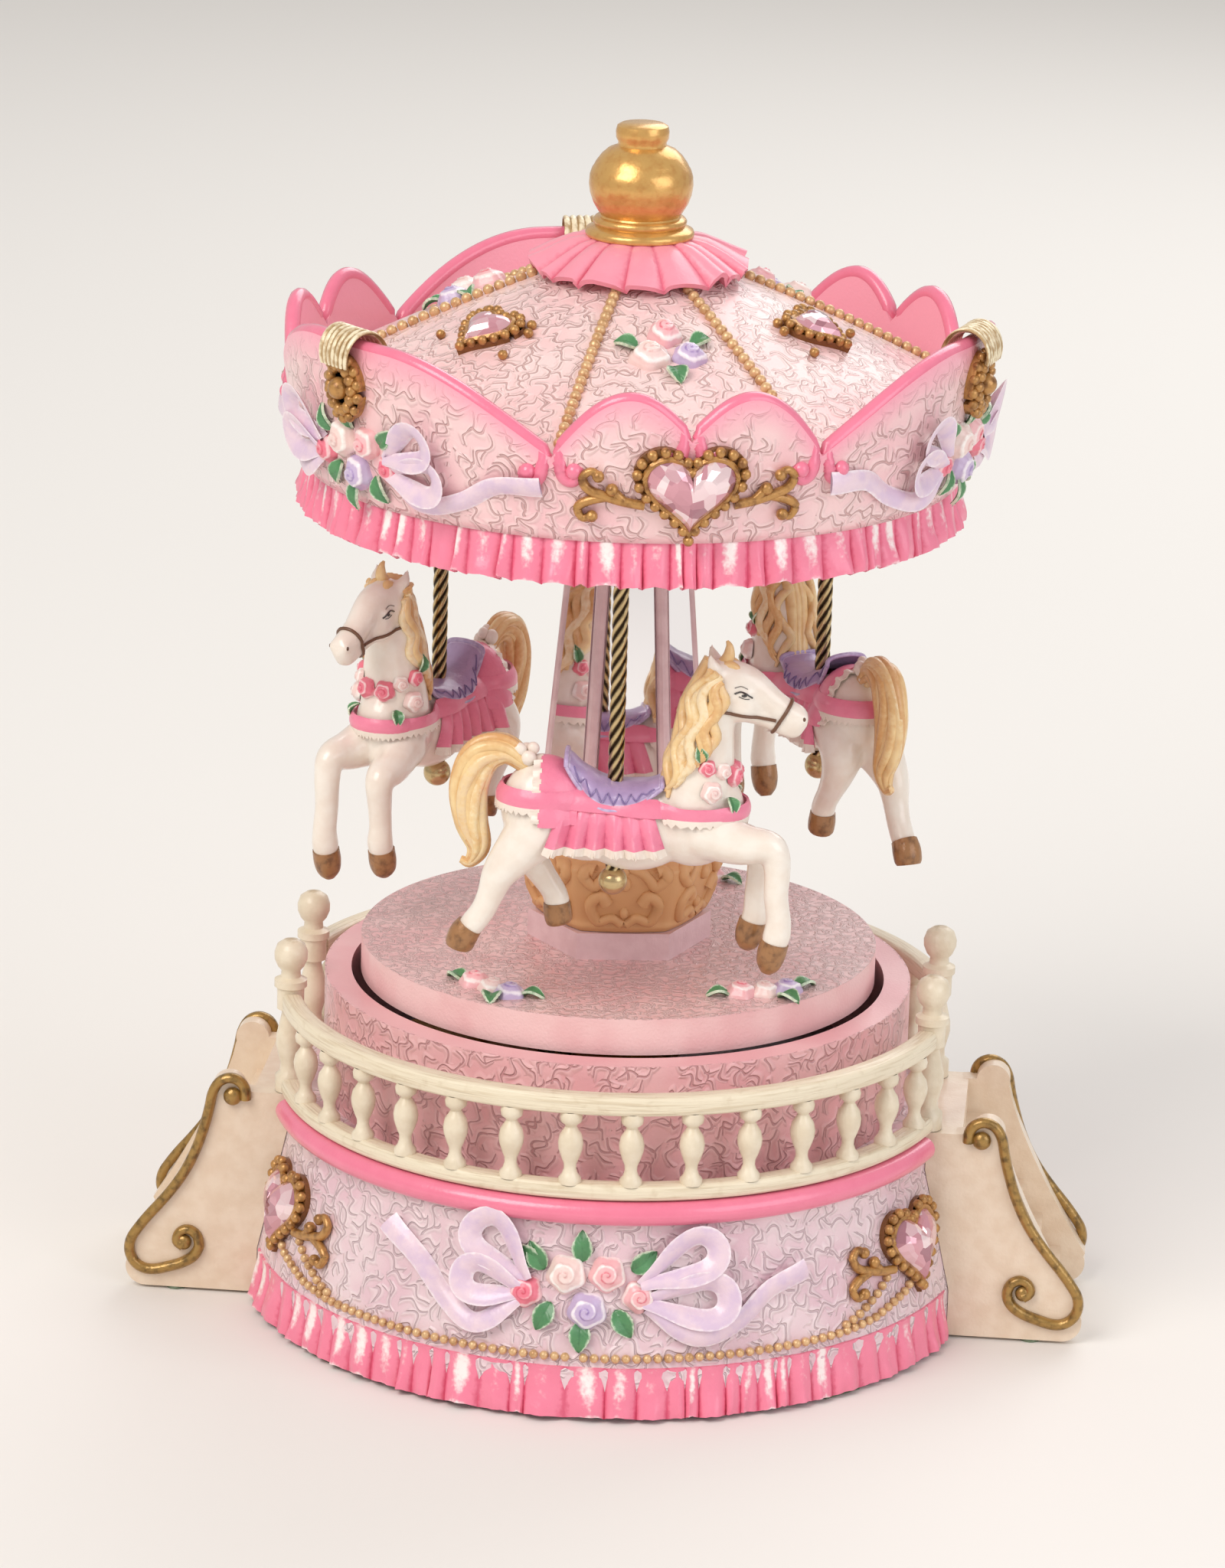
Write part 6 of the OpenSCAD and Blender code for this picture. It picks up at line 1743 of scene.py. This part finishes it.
@dataclass(frozen=True)
class HorsePattern:
    """The casting that all three horses share, in a frame of its own.

    The pole runs along Z, the horse looks along +X, its near side is at -Y and the
    seat of the saddle is at zero.

    Attributes:
        voxel: Size of the cells in which the body's solids are melted together.
        trunk: Centre and half-lengths of each ellipsoid of the trunk and the head.
        limbs: Place and radius along the neck, the face, the ears and the legs.
        hooves: Place and radius along each hoof.
    """

    voxel: float = 0.42
    trunk: tuple[tuple[float, ...], ...] = (
        (-10.8, 0, -3.8, 6.6, 5.6, 7.4), (-4.0, 0, -5.6, 8.0, 5.3, 6.4), (3.0, 0, -6.4, 9.0, 5.6, 6.8),
        (12.0, 0, -4.8, 7.2, 5.6, 7.4), (15.4, 0, -3.0, 4.2, 4.6, 5.4), (8.0, 0, -1.4, 4.0, 3.0, 3.2),
        (16.2, 0, 16.6, 3.5, 3.3, 3.7), (18.4, -1.1, 13.8, 3.1, 2.1, 2.9), (18.4, 1.1, 13.8, 3.1, 2.1, 2.9),
        (26.5, 0, 11.5, 2.3, 2.1, 2.5), (26.3, 0, 9.9, 1.8, 1.6, 1.4), (27.9, -1.1, 11.9, 0.9, 0.8, 0.9),
        (27.9, 1.1, 11.9, 0.9, 0.8, 0.9), (19.0, -2.3, 15.7, 1.6, 0.9, 1.0), (19.0, 2.3, 15.7, 1.6, 0.9, 1.0))
    limbs: tuple[tuple[tuple[float, float, float, float], ...], ...] = (
        ((12.4, 0, -2.0, 5.7), (13.0, 0, 5.0, 4.9), (13.7, 0, 10.5, 4.1), (15.0, 0, 15.6, 3.6)),
        ((15.8, 0, 17.6, 3.0), (19.4, 0, 16.9, 2.6), (23.4, 0, 13.9, 2.1), (26.2, 0, 11.8, 2.2)),
        ((17.0, 0, 13.6, 2.6), (21.5, 0, 12.2, 1.9), (25.2, 0, 10.6, 1.8)),
        ((15.0, -1.9, 18.2, 1.3), (14.2, -2.6, 20.0, 1.0), (13.7, -2.8, 21.7, 0.3)),
        ((15.0, 1.9, 18.2, 1.3), (14.2, 2.6, 20.0, 1.0), (13.7, 2.8, 21.7, 0.3)),
        ((13.8, -1.7, -6.0, 4.6), (19.3, -3.6, -7.4, 3.3), (23.9, -4.1, -7.7, 2.4), (24.9, -4.1, -11.0, 2.1),
         (24.9, -4.1, -15.4, 1.9), (25.4, -4.1, -19.2, 1.95), (25.2, -4.1, -21.6, 2.15),
         (24.8, -4.1, -23.2, 1.9)),
        ((13.8, 1.7, -7.0, 4.6), (18.4, 3.6, -9.0, 3.2), (22.2, 4.1, -10.4, 2.4), (22.2, 4.1, -14.0, 2.0),
         (21.8, 4.1, -18.0, 1.85), (21.9, 4.1, -20.6, 2.1), (21.3, 4.1, -22.6, 1.9)),
        ((-10.4, -1.4, -5.4, 5.2), (-14.2, -3.1, -9.8, 3.8), (-17.0, -3.8, -13.4, 2.75),
         (-18.3, -3.8, -16.8, 2.1),
         (-19.4, -3.8, -19.4, 1.95), (-20.9, -3.8, -21.6, 1.95), (-21.8, -3.8, -22.6, 1.8)),
        ((-9.4, 1.4, -5.4, 5.2), (-12.8, 3.1, -9.0, 3.8), (-12.8, 3.8, -12.6, 2.7), (-10.8, 3.8, -15.9, 2.1),
         (-9.2, 3.8, -18.2, 1.95), (-8.6, 3.8, -19.8, 2.0), (-8.6, 3.8, -20.6, 1.8)))
    hooves: tuple[tuple[tuple[float, float, float, float], ...], ...] = (
        ((25.0, -4.1, -22.6, 2.15), (24.5, -4.1, -24.6, 2.2), (24.1, -4.1, -26.4, 1.8),
         (23.8, -4.1, -27.5, 0.9)),
        ((21.5, 4.1, -21.9, 2.15), (21.0, 4.1, -24.0, 2.2), (20.6, 4.1, -25.6, 1.8), (20.3, 4.1, -26.5, 0.9)),
        ((-21.4, -3.8, -22.0, 2.1), (-22.3, -3.8, -23.4, 2.3), (-22.9, -3.8, -24.9, 2.2),
         (-23.1, -3.8, -25.5, 1.9)),
        ((-8.6, 3.8, -20.1, 2.05), (-8.4, 3.8, -21.6, 2.2), (-8.2, 3.8, -23.0, 2.1), (-8.1, 3.8, -23.5, 1.8)))

    CREST = ((0.3, 7.4), (2.4, 7.9), (5.8, 8.8), (10.0, 9.5), (13.8, 10.4), (16.7, 11.8), (20.1, 13.6))
    TAIL = ((-13.4, 0, 2.6, 1.4), (-16.8, 0, 5.0, 2.3), (-20.4, 0, 3.8, 2.9), (-22.2, 0, -0.8, 2.9),
            (-21.8, 0, -6.2, 2.5), (-20.6, 0, -10.4, 1.8), (-21.8, 0, -13.0, 0.9), (-23.2, 0, -12.7, 0.5))
    ROSES = ((13.9, 4.6, 1.35, "pink"), (17.6, 2.7, 1.7, "pink"), (19.0, 1.2, 1.6, "pink"),
             (14.6, 0.9, 1.7, "white"),
             (18.2, 5.6, 1.4, "white"), (16.2, 3.9, 1.3, "white"))
    LEAVES = ((13.3, 5.4, 110.0), (17.2, -0.2, -90.0), (18.6, 3.4, 40.0))

    def body(self) -> Shape:
        """Melt the trunk, the head and the legs into one skin."""
        shape = Shape()
        for x, y, z, a, b, c in self.trunk:
            shape.ball((x, y, z), 1.0, (a, b, c), 3)
        for limb in self.limbs:
            shape.tube(spline(limb, 6), sides=16, lift=Vector((0.0, 1.0, 0.0)))
            for x, y, z, r in (limb[0], limb[-1]):
                shape.ball((x, y, z), r, fine=2)
        shape.melt(self.voxel, 6)
        for vert in shape.mesh.verts:
            x, y, z = vert.co
            nose = max(0.0, 1 - (Vector((27.6, 0, 11.0)) - Vector((x, 0, z))).length / 3.2)
            foot = max(0.0, min(1.0, (-17.0 - z) / 7.0))
            # Painted shade under the belly, where the legs join it.
            fold = max(0.0, 1 - abs(z + 11.5) / 3.5) * max(0.0, 1 - abs(x - 2) / 14)
            vert[shape.wash] = 0.35 * nose + 0.4 * foot + 0.3 * fold
        return shape

    def hair(self, skin: "Skin") -> tuple[Shape, Shape]:
        """Comb the mane, the forelock and the tail; return them with the knot on the tail."""
        shape, knot = Shape(), Shape()
        rng = random.Random(3)
        for side in Side:
            for strand in range(7):
                phase, points = rng.uniform(0, math.tau), []
                for step in range(24):
                    share = step / 23
                    z = lerp(19.6 - 0.35 * strand, -0.6 + 0.9 * strand, share)
                    wave = 0.62 * math.sin(4.6 * math.pi * share + phase * 0.3 + strand * 0.6)
                    fan = strand * lerp(0.75, 1.0, math.sin(math.pi * share))
                    x = lookup(z, self.CREST) + 0.35 + 0.78 * fan + wave
                    thick = lookup(share, ((0, 0.55), (0.2, 0.85), (0.8, 0.9), (1, 0.3)))
                    place = skin.side(x, z, side, 0.3 + 0.25 * (strand % 2)) or Vector((x, side.value, z))
                    points.append(Vector((*place, thick)))
                shape.tube(points, sides=8, flat=0.8, lift=Vector((0, 1, 0)), tone=rng.uniform(0, 0.7),
                           wash=rng.uniform(0, 0.75))
        for strand in (-1, 0, 1):
            crest = [(x + 0.1, 0.9 * strand + 0.3 * math.sin(z), z, 1.05) for z, x in self.CREST]
            shape.tube(spline(crest, 5), sides=8, lift=Vector((0, 1, 0)), wash=0.3)
        for lock in (((15.6, 0, 19.6, 1.0), (16.4, -0.3, 20.9, 0.95), (16.5, -0.2, 22.4, 0.6),
                      (16.1, 0, 23.3, 0.2)),
                     ((15.2, -0.8, 19.2, 0.9), (16.9, -1.2, 19.7, 0.8), (18.2, -1.3, 18.9, 0.5),
                      (18.9, -1.1, 18.0, 0.2)),
                     ((15.2, 0.9, 19.2, 0.9), (16.9, 1.2, 19.7, 0.8), (18.2, 1.3, 18.9, 0.5),
                      (18.9, 1.1, 18.0, 0.2))):
            shape.tube(spline(lock, 5), sides=8, lift=Vector((0, 1, 0)), tone=0.3)
        core = spline(self.TAIL, 6)
        shape.tube([Vector((p.x, p.y, p.z, 0.8 * p[3])) for p in core], sides=12, lift=Vector((0, 1, 0)))
        for strand in range(13):
            turn, points = math.tau * strand / 13, []
            for i, p in enumerate(core):
                after, before = core[min(i + 1, len(core) - 1)], core[max(i - 1, 0)]
                ahead = (Vector(after[:3]) - Vector(before[:3])).normalized()
                out = Vector((0, 1, 0)).cross(ahead)
                spin = turn + 0.5 * math.sin(i * 0.16 + strand)
                reach = 0.72 * p[3]
                sway = Vector((0, 1, 0)) * (0.8 * reach * math.sin(spin))
                place = Vector(p[:3]) + out * (reach * math.cos(spin)) + sway
                points.append(Vector((*place, 0.32 * p[3] + 0.08)))
            shape.tube(points, sides=7, lift=Vector((0, 1, 0)), tone=rng.uniform(0, 0.7),
                       wash=rng.uniform(0, 0.8))
        for x, y, z, r in ((-13.2, -1.0, 4.0, 1.2), (-13.6, 0.9, 4.6, 1.3), (-14.6, -0.6, 5.2, 1.1),
                           (-12.6, 0.0, 5.3, 1.0), (-14.2, 0.6, 3.2, 1.1)):
            knot.ball((x, y, z), r, (1.0, 0.8, 1.0), 2, wash=0.2)
        return shape, knot

    def hoof_set(self) -> Shape:
        """Make the four hooves."""
        shape = Shape()
        for hoof in self.hooves:
            shape.tube(spline(hoof, 3), sides=16, lift=Vector((0, 1, 0)), flat=1.0)
        return shape

    def torso(self) -> Shape:
        """Melt the trunk and the neck alone, for the belts to lie on."""
        shape = Shape()
        for x, y, z, a, b, c in self.trunk[:6]:
            shape.ball((x, y, z), 1.0, (a, b, c), 3)
        shape.tube(spline(self.limbs[0], 6), sides=16, lift=Vector((0.0, 1.0, 0.0)))
        shape.melt(self.voxel, 6)
        return shape

    def tack(self, skin: "Skin", torso: "Skin") -> dict[str, Shape]:
        """Make the saddle, the blanket, the belts and their lace."""
        saddle, cloth, lace = Shape(), Shape(), Shape()

        def levels(x: float) -> tuple[float, float]:
            top = lookup(x, ((-7.6, 5.3), (-6.4, 4.6), (-4.4, 2.8), (-2.2, 1.5), (0.0, 0.9), (2.4, 0.8),
                             (4.8, 1.0), (6.6, 1.6), (7.4, 1.9)))
            bow = (x + 0.3) / (7.3 if x < -0.3 else 7.7)
            low = -2.6 + (6.6 if x < -0.3 else 3.6) * abs(bow) ** 2.2
            return top, min(low, top - 0.5)

        def girth(x: float, low: float) -> float:
            found = skin.side(x, min(low, 1.5), Side.NEAR, 0.0)
            return max(2.6, abs(found.y) if found else 2.6) + 0.8

        def over(u: float, v: float) -> Vector:
            x = lerp(-7.5, 7.3, u)
            top, low = levels(x)
            turn = math.pi * (v - 0.5)
            return Vector((x, girth(x, low) * math.sin(turn),
                           low + (top - low) * max(0.0, math.cos(turn)) ** 0.55))

        def edge(u: float, v: float) -> float:
            return 0.7 if min(u, 1 - u) < 0.05 or min(v, 1 - v) < 0.05 else 0.0

        saddle.sheet(48, 40, over, edge, lambda u, v: 0.25 * (1 - edge(u, v)))
        for side in Side:
            zigzag = []
            for step in range(61):
                x = lerp(-6.2, 6.0, step / 60)
                top, low = levels(x)
                swing = abs((step / 60 * 7) % 1 * 2 - 1)
                z = lerp(low + 0.9, min(top - 0.8, low + 2.7), swing)
                turn = math.acos(min(1.0, max(0.0, (z - low) / (top - low)) ** (1 / 0.55)))
                zigzag.append(Vector((x, side.value * (girth(x, low) * math.sin(turn) + 0.1), z)))
            saddle.tube(zigzag, 0.13, 6, wash=0.85)
            rim = []
            for step in range(41):
                x = lerp(-7.4, 7.2, step / 40)
                low = levels(x)[1]
                rim.append(Vector((x, side.value * girth(x, low), low)))
            saddle.tube(rim, 0.34, 8, tone=0.6)
        for x in (-7.4, 7.2):
            top, low = levels(x)
            arch = []
            for step in range(25):
                turn = math.pi * (step / 24 - 0.5)
                z = low + (top - low) * max(0.0, math.cos(turn)) ** 0.55
                arch.append(Vector((x, girth(x, low) * math.sin(turn), z)))
            saddle.tube(arch, 0.4, 8, tone=0.5)

        def skirt(side: Side, start: float, end: float, off: float) -> Place:
            def place(u: float, v: float) -> Vector:
                share = lerp(start, end, v)
                x = lerp(lerp(-7.4, -10.4, share), lerp(5.2, 8.0, share), u)
                z = lerp(-0.6, -8.8, share) + 0.8 * (u - 0.5) ** 2
                found = skin.side(x, max(z, -6.2), side, 0.0)
                fold = abs(math.sin(math.pi * 6 * u)) ** 0.9
                reach = (abs(found.y) if found else 4.6)
                return Vector((x + 0.25 * math.sin(math.tau * 6 * u) * share,
                               side.value * reach + side.value * (off + 1.3 * share * fold),
                               z))
            return place

        for side in Side:
            # The tone is a painted highlight on the crests of the blanket's folds and the wash painted shade
            # in their valleys, both stronger towards the hem.
            cloth.sheet(96, 14, skirt(side, 0.0, 1.0, 0.35),
                        lambda u, v: 0.6 * abs(math.sin(math.pi * 6 * u)) ** 4 * v,
                        lambda u, v: 0.8 * (1 - abs(math.sin(math.pi * 6 * u)) ** 0.9) * v)
            lace.sheet(96, 5, self._frill(skirt(side, 0.95, 1.1, 0.42)))
        cloth.sheet(20, 36, lambda u, v: skin.over(lerp(-11.2, -5.4, u), lerp(-100, 100, v), 0.75), None,
                    lambda u, v: 0.3)
        lace.sheet(6, 48, lambda u, v: skin.over(lerp(-12.2, -11.0, u), lerp(-96, 96, v),
                                                 0.7 + 0.25 * math.sin(v * 90)))

        def band(turn: float) -> tuple[float, float]:
            front = 0.5 + 0.5 * math.tanh(3 * math.cos(turn))
            return lerp(-1.5, -2.7, front), lerp(1.35, 1.15, front)

        def belt(u: float, v: float) -> Vector:
            turn = math.tau * u
            middle, half = band(turn)
            swell = 0.25 * math.sin(math.pi * v)
            return torso.ring(turn, middle + half * (1 - 2 * v), 0.85 + swell)

        def trim(u: float, v: float) -> Vector:
            turn = math.tau * u
            middle, half = band(turn)
            point = torso.ring(turn, middle - half + 0.3 - v * (0.9 + 0.35 * math.sin(turn * 90)), 0.95)
            under_blanket = -10.0 < point.x < 7.4
            return torso.ring(turn, middle + 0.3 - 0.6 * v, 0.4) if under_blanket else point

        cloth.sheet(220, 6, belt, None, lambda u, v: 0.5 * abs(2 * v - 1) ** 4)
        lace.sheet(220, 3, trim)
        return {"saddle": saddle, "blanket": cloth, "lace": lace}

    @staticmethod
    def _frill(place: Place) -> Place:
        """Return a surface with a small frill towards its hem."""
        def frilled(u: float, v: float) -> Vector:
            point = place(u, v)
            point.y *= 1 + 0.03 * v * math.sin(math.tau * 28 * u)
            point.z += 0.12 * v * math.cos(math.tau * 14 * u)
            return point
        return frilled

    def bridle(self, skin: "Skin") -> tuple[Shape, Shape]:
        """Make the bridle's straps, and the eyes with their lashes."""
        straps, eyes = Shape(), Shape()
        for side in Side:
            cheek = [(13.6, 14.6), (15.4, 13.2), (19.9, 12.3), (23.9, 11.6)]
            path = [skin.side(p.x, p.y, side, 0.12) for p in spline([(x, z, 0.0) for x, z in cheek], 8)]
            straps.tube([p for p in path if p], 0.26, 7, wash=0.1)
            for route, thick in ((((17.5, 15.9), (18.4, 16.2), (19.3, 15.95), (20.2, 15.3)), 0.14),
                                 (((18.2, 15.5), (19.0, 15.2), (19.8, 15.15)), 0.06),
                                 (((17.5, 16.8), (18.5, 17.0), (19.5, 16.6)), 0.05)):
                line = [skin.side(p.x, p.y, side, 0.08) for p in spline([(x, z, 0.0) for x, z in route], 5)]
                eyes.tube([p for p in line if p], thick, 6)
            pupil = skin.side(19.0, 15.65, side, 0.0)
            if pupil:
                eyes.ball(pupil, 0.3, (1.4, 0.4, 0.8), 2)
            nostril = skin.side(28.1, 11.9, side, -0.1)
            if nostril:
                straps.ball(nostril, 0.3, (1.0, 0.6, 1.2), 1, wash=0.6)
        band = [skin.face(turn, 24.9, 12.2, 0.12) for turn in (math.tau * i / 32 for i in range(33))]
        straps.tube([p for p in band if p], 0.3, 7)
        return straps, eyes


class Skin:
    """The surface of a horse's body, on which its tack and its flowers are laid."""

    def __init__(self, shape: Shape) -> None:
        """Keep a search tree of a shape."""
        self.tree = BVHTree.FromBMesh(shape.mesh)

    def _meet(self, start: Vector, target: Vector, off: float) -> Vector | None:
        """Return the point over the surface that a ray from outside meets first."""
        place, normal, _, _ = self.tree.ray_cast(start, (target - start).normalized())
        return place + normal * off if place else None

    def side(self, x: float, z: float, side: Side, off: float) -> Vector | None:
        """Return the point over the surface at x and z on one side."""
        return self._meet(Vector((x, side.value * 20.0, z)), Vector((x, 0.0, z)), off)

    def over(self, x: float, turn: float, off: float) -> Vector:
        """Return the point over the back at x, at a turn in degrees from the top."""
        angle = math.radians(turn)
        middle = Vector((x, 0.0, -4.0))
        ray = Vector((0.0, math.sin(angle), math.cos(angle)))
        return self._meet(middle + ray * 16, middle, off) or middle + ray * 6

    def ring(self, turn: float, z: float, off: float) -> Vector:
        """Return the point over the trunk at a height, at a turn in radians from the chest."""
        start = Vector((26.0 * math.cos(turn), 14.0 * math.sin(turn), z))
        target = Vector((11.5 * math.cos(turn), 0.0, z))
        return self._meet(start, target, off) or target

    def face(self, turn: float, x: float, z: float, off: float) -> Vector | None:
        """Return the point over the muzzle on a slanting ring round its middle."""
        tilt = Vector((0.5, 0.0, 0.866))
        ray = Vector((0, 1, 0)) * math.cos(turn) + tilt * math.sin(turn)
        middle = Vector((x, 0.0, z))
        return self._meet(middle + ray * 9, middle, off)

    def patch(self, x: float, z: float, side: Side) -> Spot | None:
        """Return a small flat frame on the surface: u ahead, v up and w outwards."""
        place, normal, _, _ = self.tree.ray_cast(Vector((x, side.value * 20.0, z)),
                                                 Vector((0, -side.value, 0)))
        if not place:
            return None
        up = (UP - normal * UP.dot(normal)).normalized()
        ahead = up.cross(normal)
        return lambda u, v, w: place + ahead * u + up * v + normal * w


@dataclass(frozen=True)
class Horse:
    """One horse on its pole.

    Attributes:
        name: The horse's name in the record.
        angle: Where it stands round the axis, in degrees.
        rise: How far its saddle is above the front horse's.
        ring: Radius on which the poles stand.
        seat: Height of the front horse's saddle.
        pole: Radius of the pole.
        lobes: Strands that the pole is twisted of.
        pitch: Height in which a strand turns once.
    """

    name: str
    angle: float
    rise: float = 0.0
    ring: float = 35.3
    seat: float = 94.7
    pole: float = 1.25
    lobes: int = 5
    pitch: float = 11.0

    def spot(self, x: float, y: float, z: float) -> Vector:
        """Carry a point of the pattern to the horse's place."""
        turn = math.radians(self.angle)
        ahead = Vector((-math.sin(turn), math.cos(turn), 0.0))
        inward = Vector((-math.cos(turn), -math.sin(turn), 0.0))
        return polar(self.ring, self.angle, self.seat + self.rise + z) + ahead * x + inward * y

    def place(self, pattern: Shape, name: str, finish: Finish, replaces: Sequence[str] = (),
              thickness: float = 0.0, sharp: float = 60.0) -> None:
        """Make one piece of the horse from its pattern."""
        shape = pattern.copy()
        shape.lay(shape.mesh.verts, self.spot)
        shape.finish(f"{self.name}_{name}", finish, f"{self.name}_unit", replaces, thickness, sharp, 0.002)

    def raise_pole(self, low: float, high: float) -> None:
        """Make the twisted pole, its head and the ball under the belly.

        Args:
            low: Height of the ball's underside.
            high: Height of the top of the head.
        """
        shape = Shape()
        ball, head, head_high = 2.2, 4.1, 1.8
        foot, top = low + ball, high - head_high + 0.2
        rows = round((top - foot) / 0.45)
        middle = polar(self.ring, self.angle, 0.0)

        def twist(u: float, v: float) -> tuple[float, float]:
            height = foot + (top - foot) * v
            lobe = abs(math.cos(self.lobes / 2 * (math.tau * u - math.tau * height / self.pitch)))
            return height, lobe

        def place(u: float, v: float) -> Vector:
            height, lobe = twist(u, v)
            radius = self.pole * (0.70 + 0.29 * lobe ** 0.6)
            return middle + Vector((radius * math.cos(math.tau * u), radius * math.sin(math.tau * u), height))

        shape.sheet(60, rows, place, None, lambda u, v: min(1.0, 1.3 * (1 - twist(u, v)[1]) ** 0.7))
        shape.ball((middle.x, middle.y, low + ball), ball, fine=3)
        shape.lathe(((0.0, 0.0), (head - 0.3, 0.0), (head, 0.3), (head, 1.5), (head - 0.3, head_high),
                     (0.0, head_high)), 32, Vector((middle.x, middle.y, high - head_high)))
        node = self.name.replace("_horse", "_pole")
        shape.finish(f"{self.name}_twisted_pole", POLE_BRASS, f"{self.name}_unit", (node,), sharp=60)


def build_horses() -> None:
    """Make the three horses from one pattern, each with its tack, flowers and pole."""
    pattern = HorsePattern()
    body = pattern.body()
    skin = Skin(body)
    hair, knot = pattern.hair(skin)
    hooves = pattern.hoof_set()
    tack = pattern.tack(skin, Skin(pattern.torso()))
    straps, eyes = pattern.bridle(skin)
    flowers: dict[str, Shape] = {"white": Shape(), "pink": Shape()}
    leaves = Shape()
    for side in Side:
        for x, z, radius, colour in pattern.ROSES:
            patch = skin.patch(x, z, side)
            if patch:
                Rose(radius).add(flowers[colour], patch, 0, 0, 0.1, 0.3 * x)
        for x, z, heading in pattern.LEAVES:
            patch = skin.patch(x, z, side)
            if patch:
                Leaf(2.9, 1.7).add(leaves, patch, 0, 0, heading if side is Side.NEAR else 180 - heading)
    for horse in (Horse("front_horse", -87.0), Horse("right_horse", 33.0, 3.7), Horse("left_horse", 153.0)):
        horse.place(body, "body", HORSE_WHITE, (horse.name,))
        horse.place(hair, "hair", HAIR_BLOND)
        horse.place(knot, "tail_knot", LACE_WHITE)
        horse.place(hooves, "hooves", HOOF_BROWN, sharp=45)
        horse.place(tack["saddle"], "carved_saddle", SADDLE_LILAC, (horse.name.replace("_horse", "_saddle"),))
        horse.place(tack["blanket"], "blanket_and_belts", BLANKET_PINK, thickness=0.35)
        horse.place(tack["lace"], "lace", LACE_WHITE, thickness=0.25)
        horse.place(straps, "bridle", BRIDLE_BROWN)
        horse.place(eyes, "eyes", EYE_DARK)
        horse.place(flowers["white"], "white_roses", WHITE_ROSE, sharp=75)
        horse.place(flowers["pink"], "pink_roses", PINK_ROSE, sharp=75)
        horse.place(leaves, "leaves", LEAF_GREEN, thickness=0.25)
        low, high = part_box(horse.name.replace("_horse", "_pole"))
        horse.raise_pole(low[2] / MM, high[2] / MM)


# ------------------------------------------------------------------ the studio

@dataclass(frozen=True)
class Studio:
    """A pale floor, soft light and the camera.

    Attributes:
        floor: Width of the floor in metres.
        floor_colour: Its colour.
        camera: Azimuth in degrees, distance along the floor and height, in millimetres.
        aim: Turn to the left of the axis, tilt below the horizon and roll, in degrees.
        focal: Focal length over the width of the sensor.
        sky: Brightness of the surroundings.
    """

    floor: float = 6.0
    floor_colour: str = "ebe8e4"
    camera: tuple[float, float, float] = (4.89, 882.85, 352.52)
    aim: tuple[float, float, float] = (0.11, 16.91, 1.68)
    focal: float = 7654.7 / 1600
    sky: float = 0.62

    SENSOR = 36.0

    def lay_floor(self) -> None:
        """Make the floor."""
        data = bpy.data.meshes.new("floor")
        mesh = bmesh.new()
        bmesh.ops.create_grid(mesh, x_segments=1, y_segments=1, size=self.floor / 2)
        mesh.to_mesh(data)
        mesh.free()
        graph = Graph("floor_paint")
        data.materials.append(graph.dress(base_color=srgb(self.floor_colour), roughness=0.9))
        floor = bpy.data.objects.new("floor", data)
        bpy.context.scene.collection.objects.link(floor)

    def add_light(self, name: str, place: Sequence[float], size: float, power: float, tint: str) -> None:
        """Add a soft lamp that faces the object."""
        lamp = bpy.data.lights.new(name, "AREA")
        lamp.size, lamp.energy, lamp.color = size, power, srgb(tint)[:3]
        holder = bpy.data.objects.new(name, lamp)
        bpy.context.scene.collection.objects.link(holder)
        holder.location = place
        aim = Vector((0.0, 0.0, 0.1)) - holder.location
        holder.rotation_euler = aim.to_track_quat("-Z", "Y").to_euler()

    def add_world(self) -> None:
        """Add plain surroundings."""
        world = bpy.data.worlds.new("surroundings")
        world.use_nodes = True
        back = world.node_tree.nodes["Background"]
        back.inputs["Color"].default_value = srgb("f4f1ee")
        back.inputs["Strength"].default_value = self.sky
        bpy.context.scene.world = world

    def add_camera(self) -> None:
        """Add the camera."""
        azimuth, distance, height = self.camera
        yaw, pitch, roll = self.aim
        turn, tilt = math.radians(azimuth + yaw), math.radians(pitch)
        ahead = Vector((-math.sin(turn) * math.cos(tilt), math.cos(turn) * math.cos(tilt), -math.sin(tilt)))
        right = ahead.cross(UP).normalized()
        up = right.cross(ahead)
        bank = math.radians(roll)
        across = right * math.cos(bank) + up * math.sin(bank)
        rise = up * math.cos(bank) - right * math.sin(bank)
        place = Vector((distance * math.sin(math.radians(azimuth)),
                        -distance * math.cos(math.radians(azimuth)),
                        height)) * MM
        lens = bpy.data.cameras.new("camera")
        lens.sensor_fit, lens.sensor_width = "HORIZONTAL", self.SENSOR
        lens.lens, lens.clip_start = self.focal * self.SENSOR, 0.01
        camera = bpy.data.objects.new("camera", lens)
        bpy.context.scene.collection.objects.link(camera)
        turned = Matrix((across, rise, -ahead)).transposed()
        camera.matrix_world = Matrix.Translation(place) @ turned.to_4x4()
        bpy.context.scene.camera = camera

    def build(self) -> None:
        """Set up the floor, the light and the camera."""
        self.lay_floor()
        self.add_light("key_light", (-0.55, -0.75, 0.95), 0.7, 9.0, "fffaf4")
        self.add_light("fill_light", (0.9, -0.6, 0.55), 0.8, 4.0, "f6f8ff")
        self.add_light("back_light", (0.3, 0.9, 0.8), 0.8, 4.5, "ffffff")
        self.add_world()
        self.add_camera()
        bpy.context.scene.view_settings.view_transform = "Standard"


def main() -> None:
    """Build the model round its frame."""
    logging.basicConfig(level=logging.INFO, format="%(message)s")
    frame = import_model()
    nodes = frame["nodes"]
    Base().build(nodes)
    Stage().build(nodes)
    Canopy().build(nodes)
    build_horses()
    Movement().build(nodes)
    Studio().build()


if __name__ == "__main__":
    main()
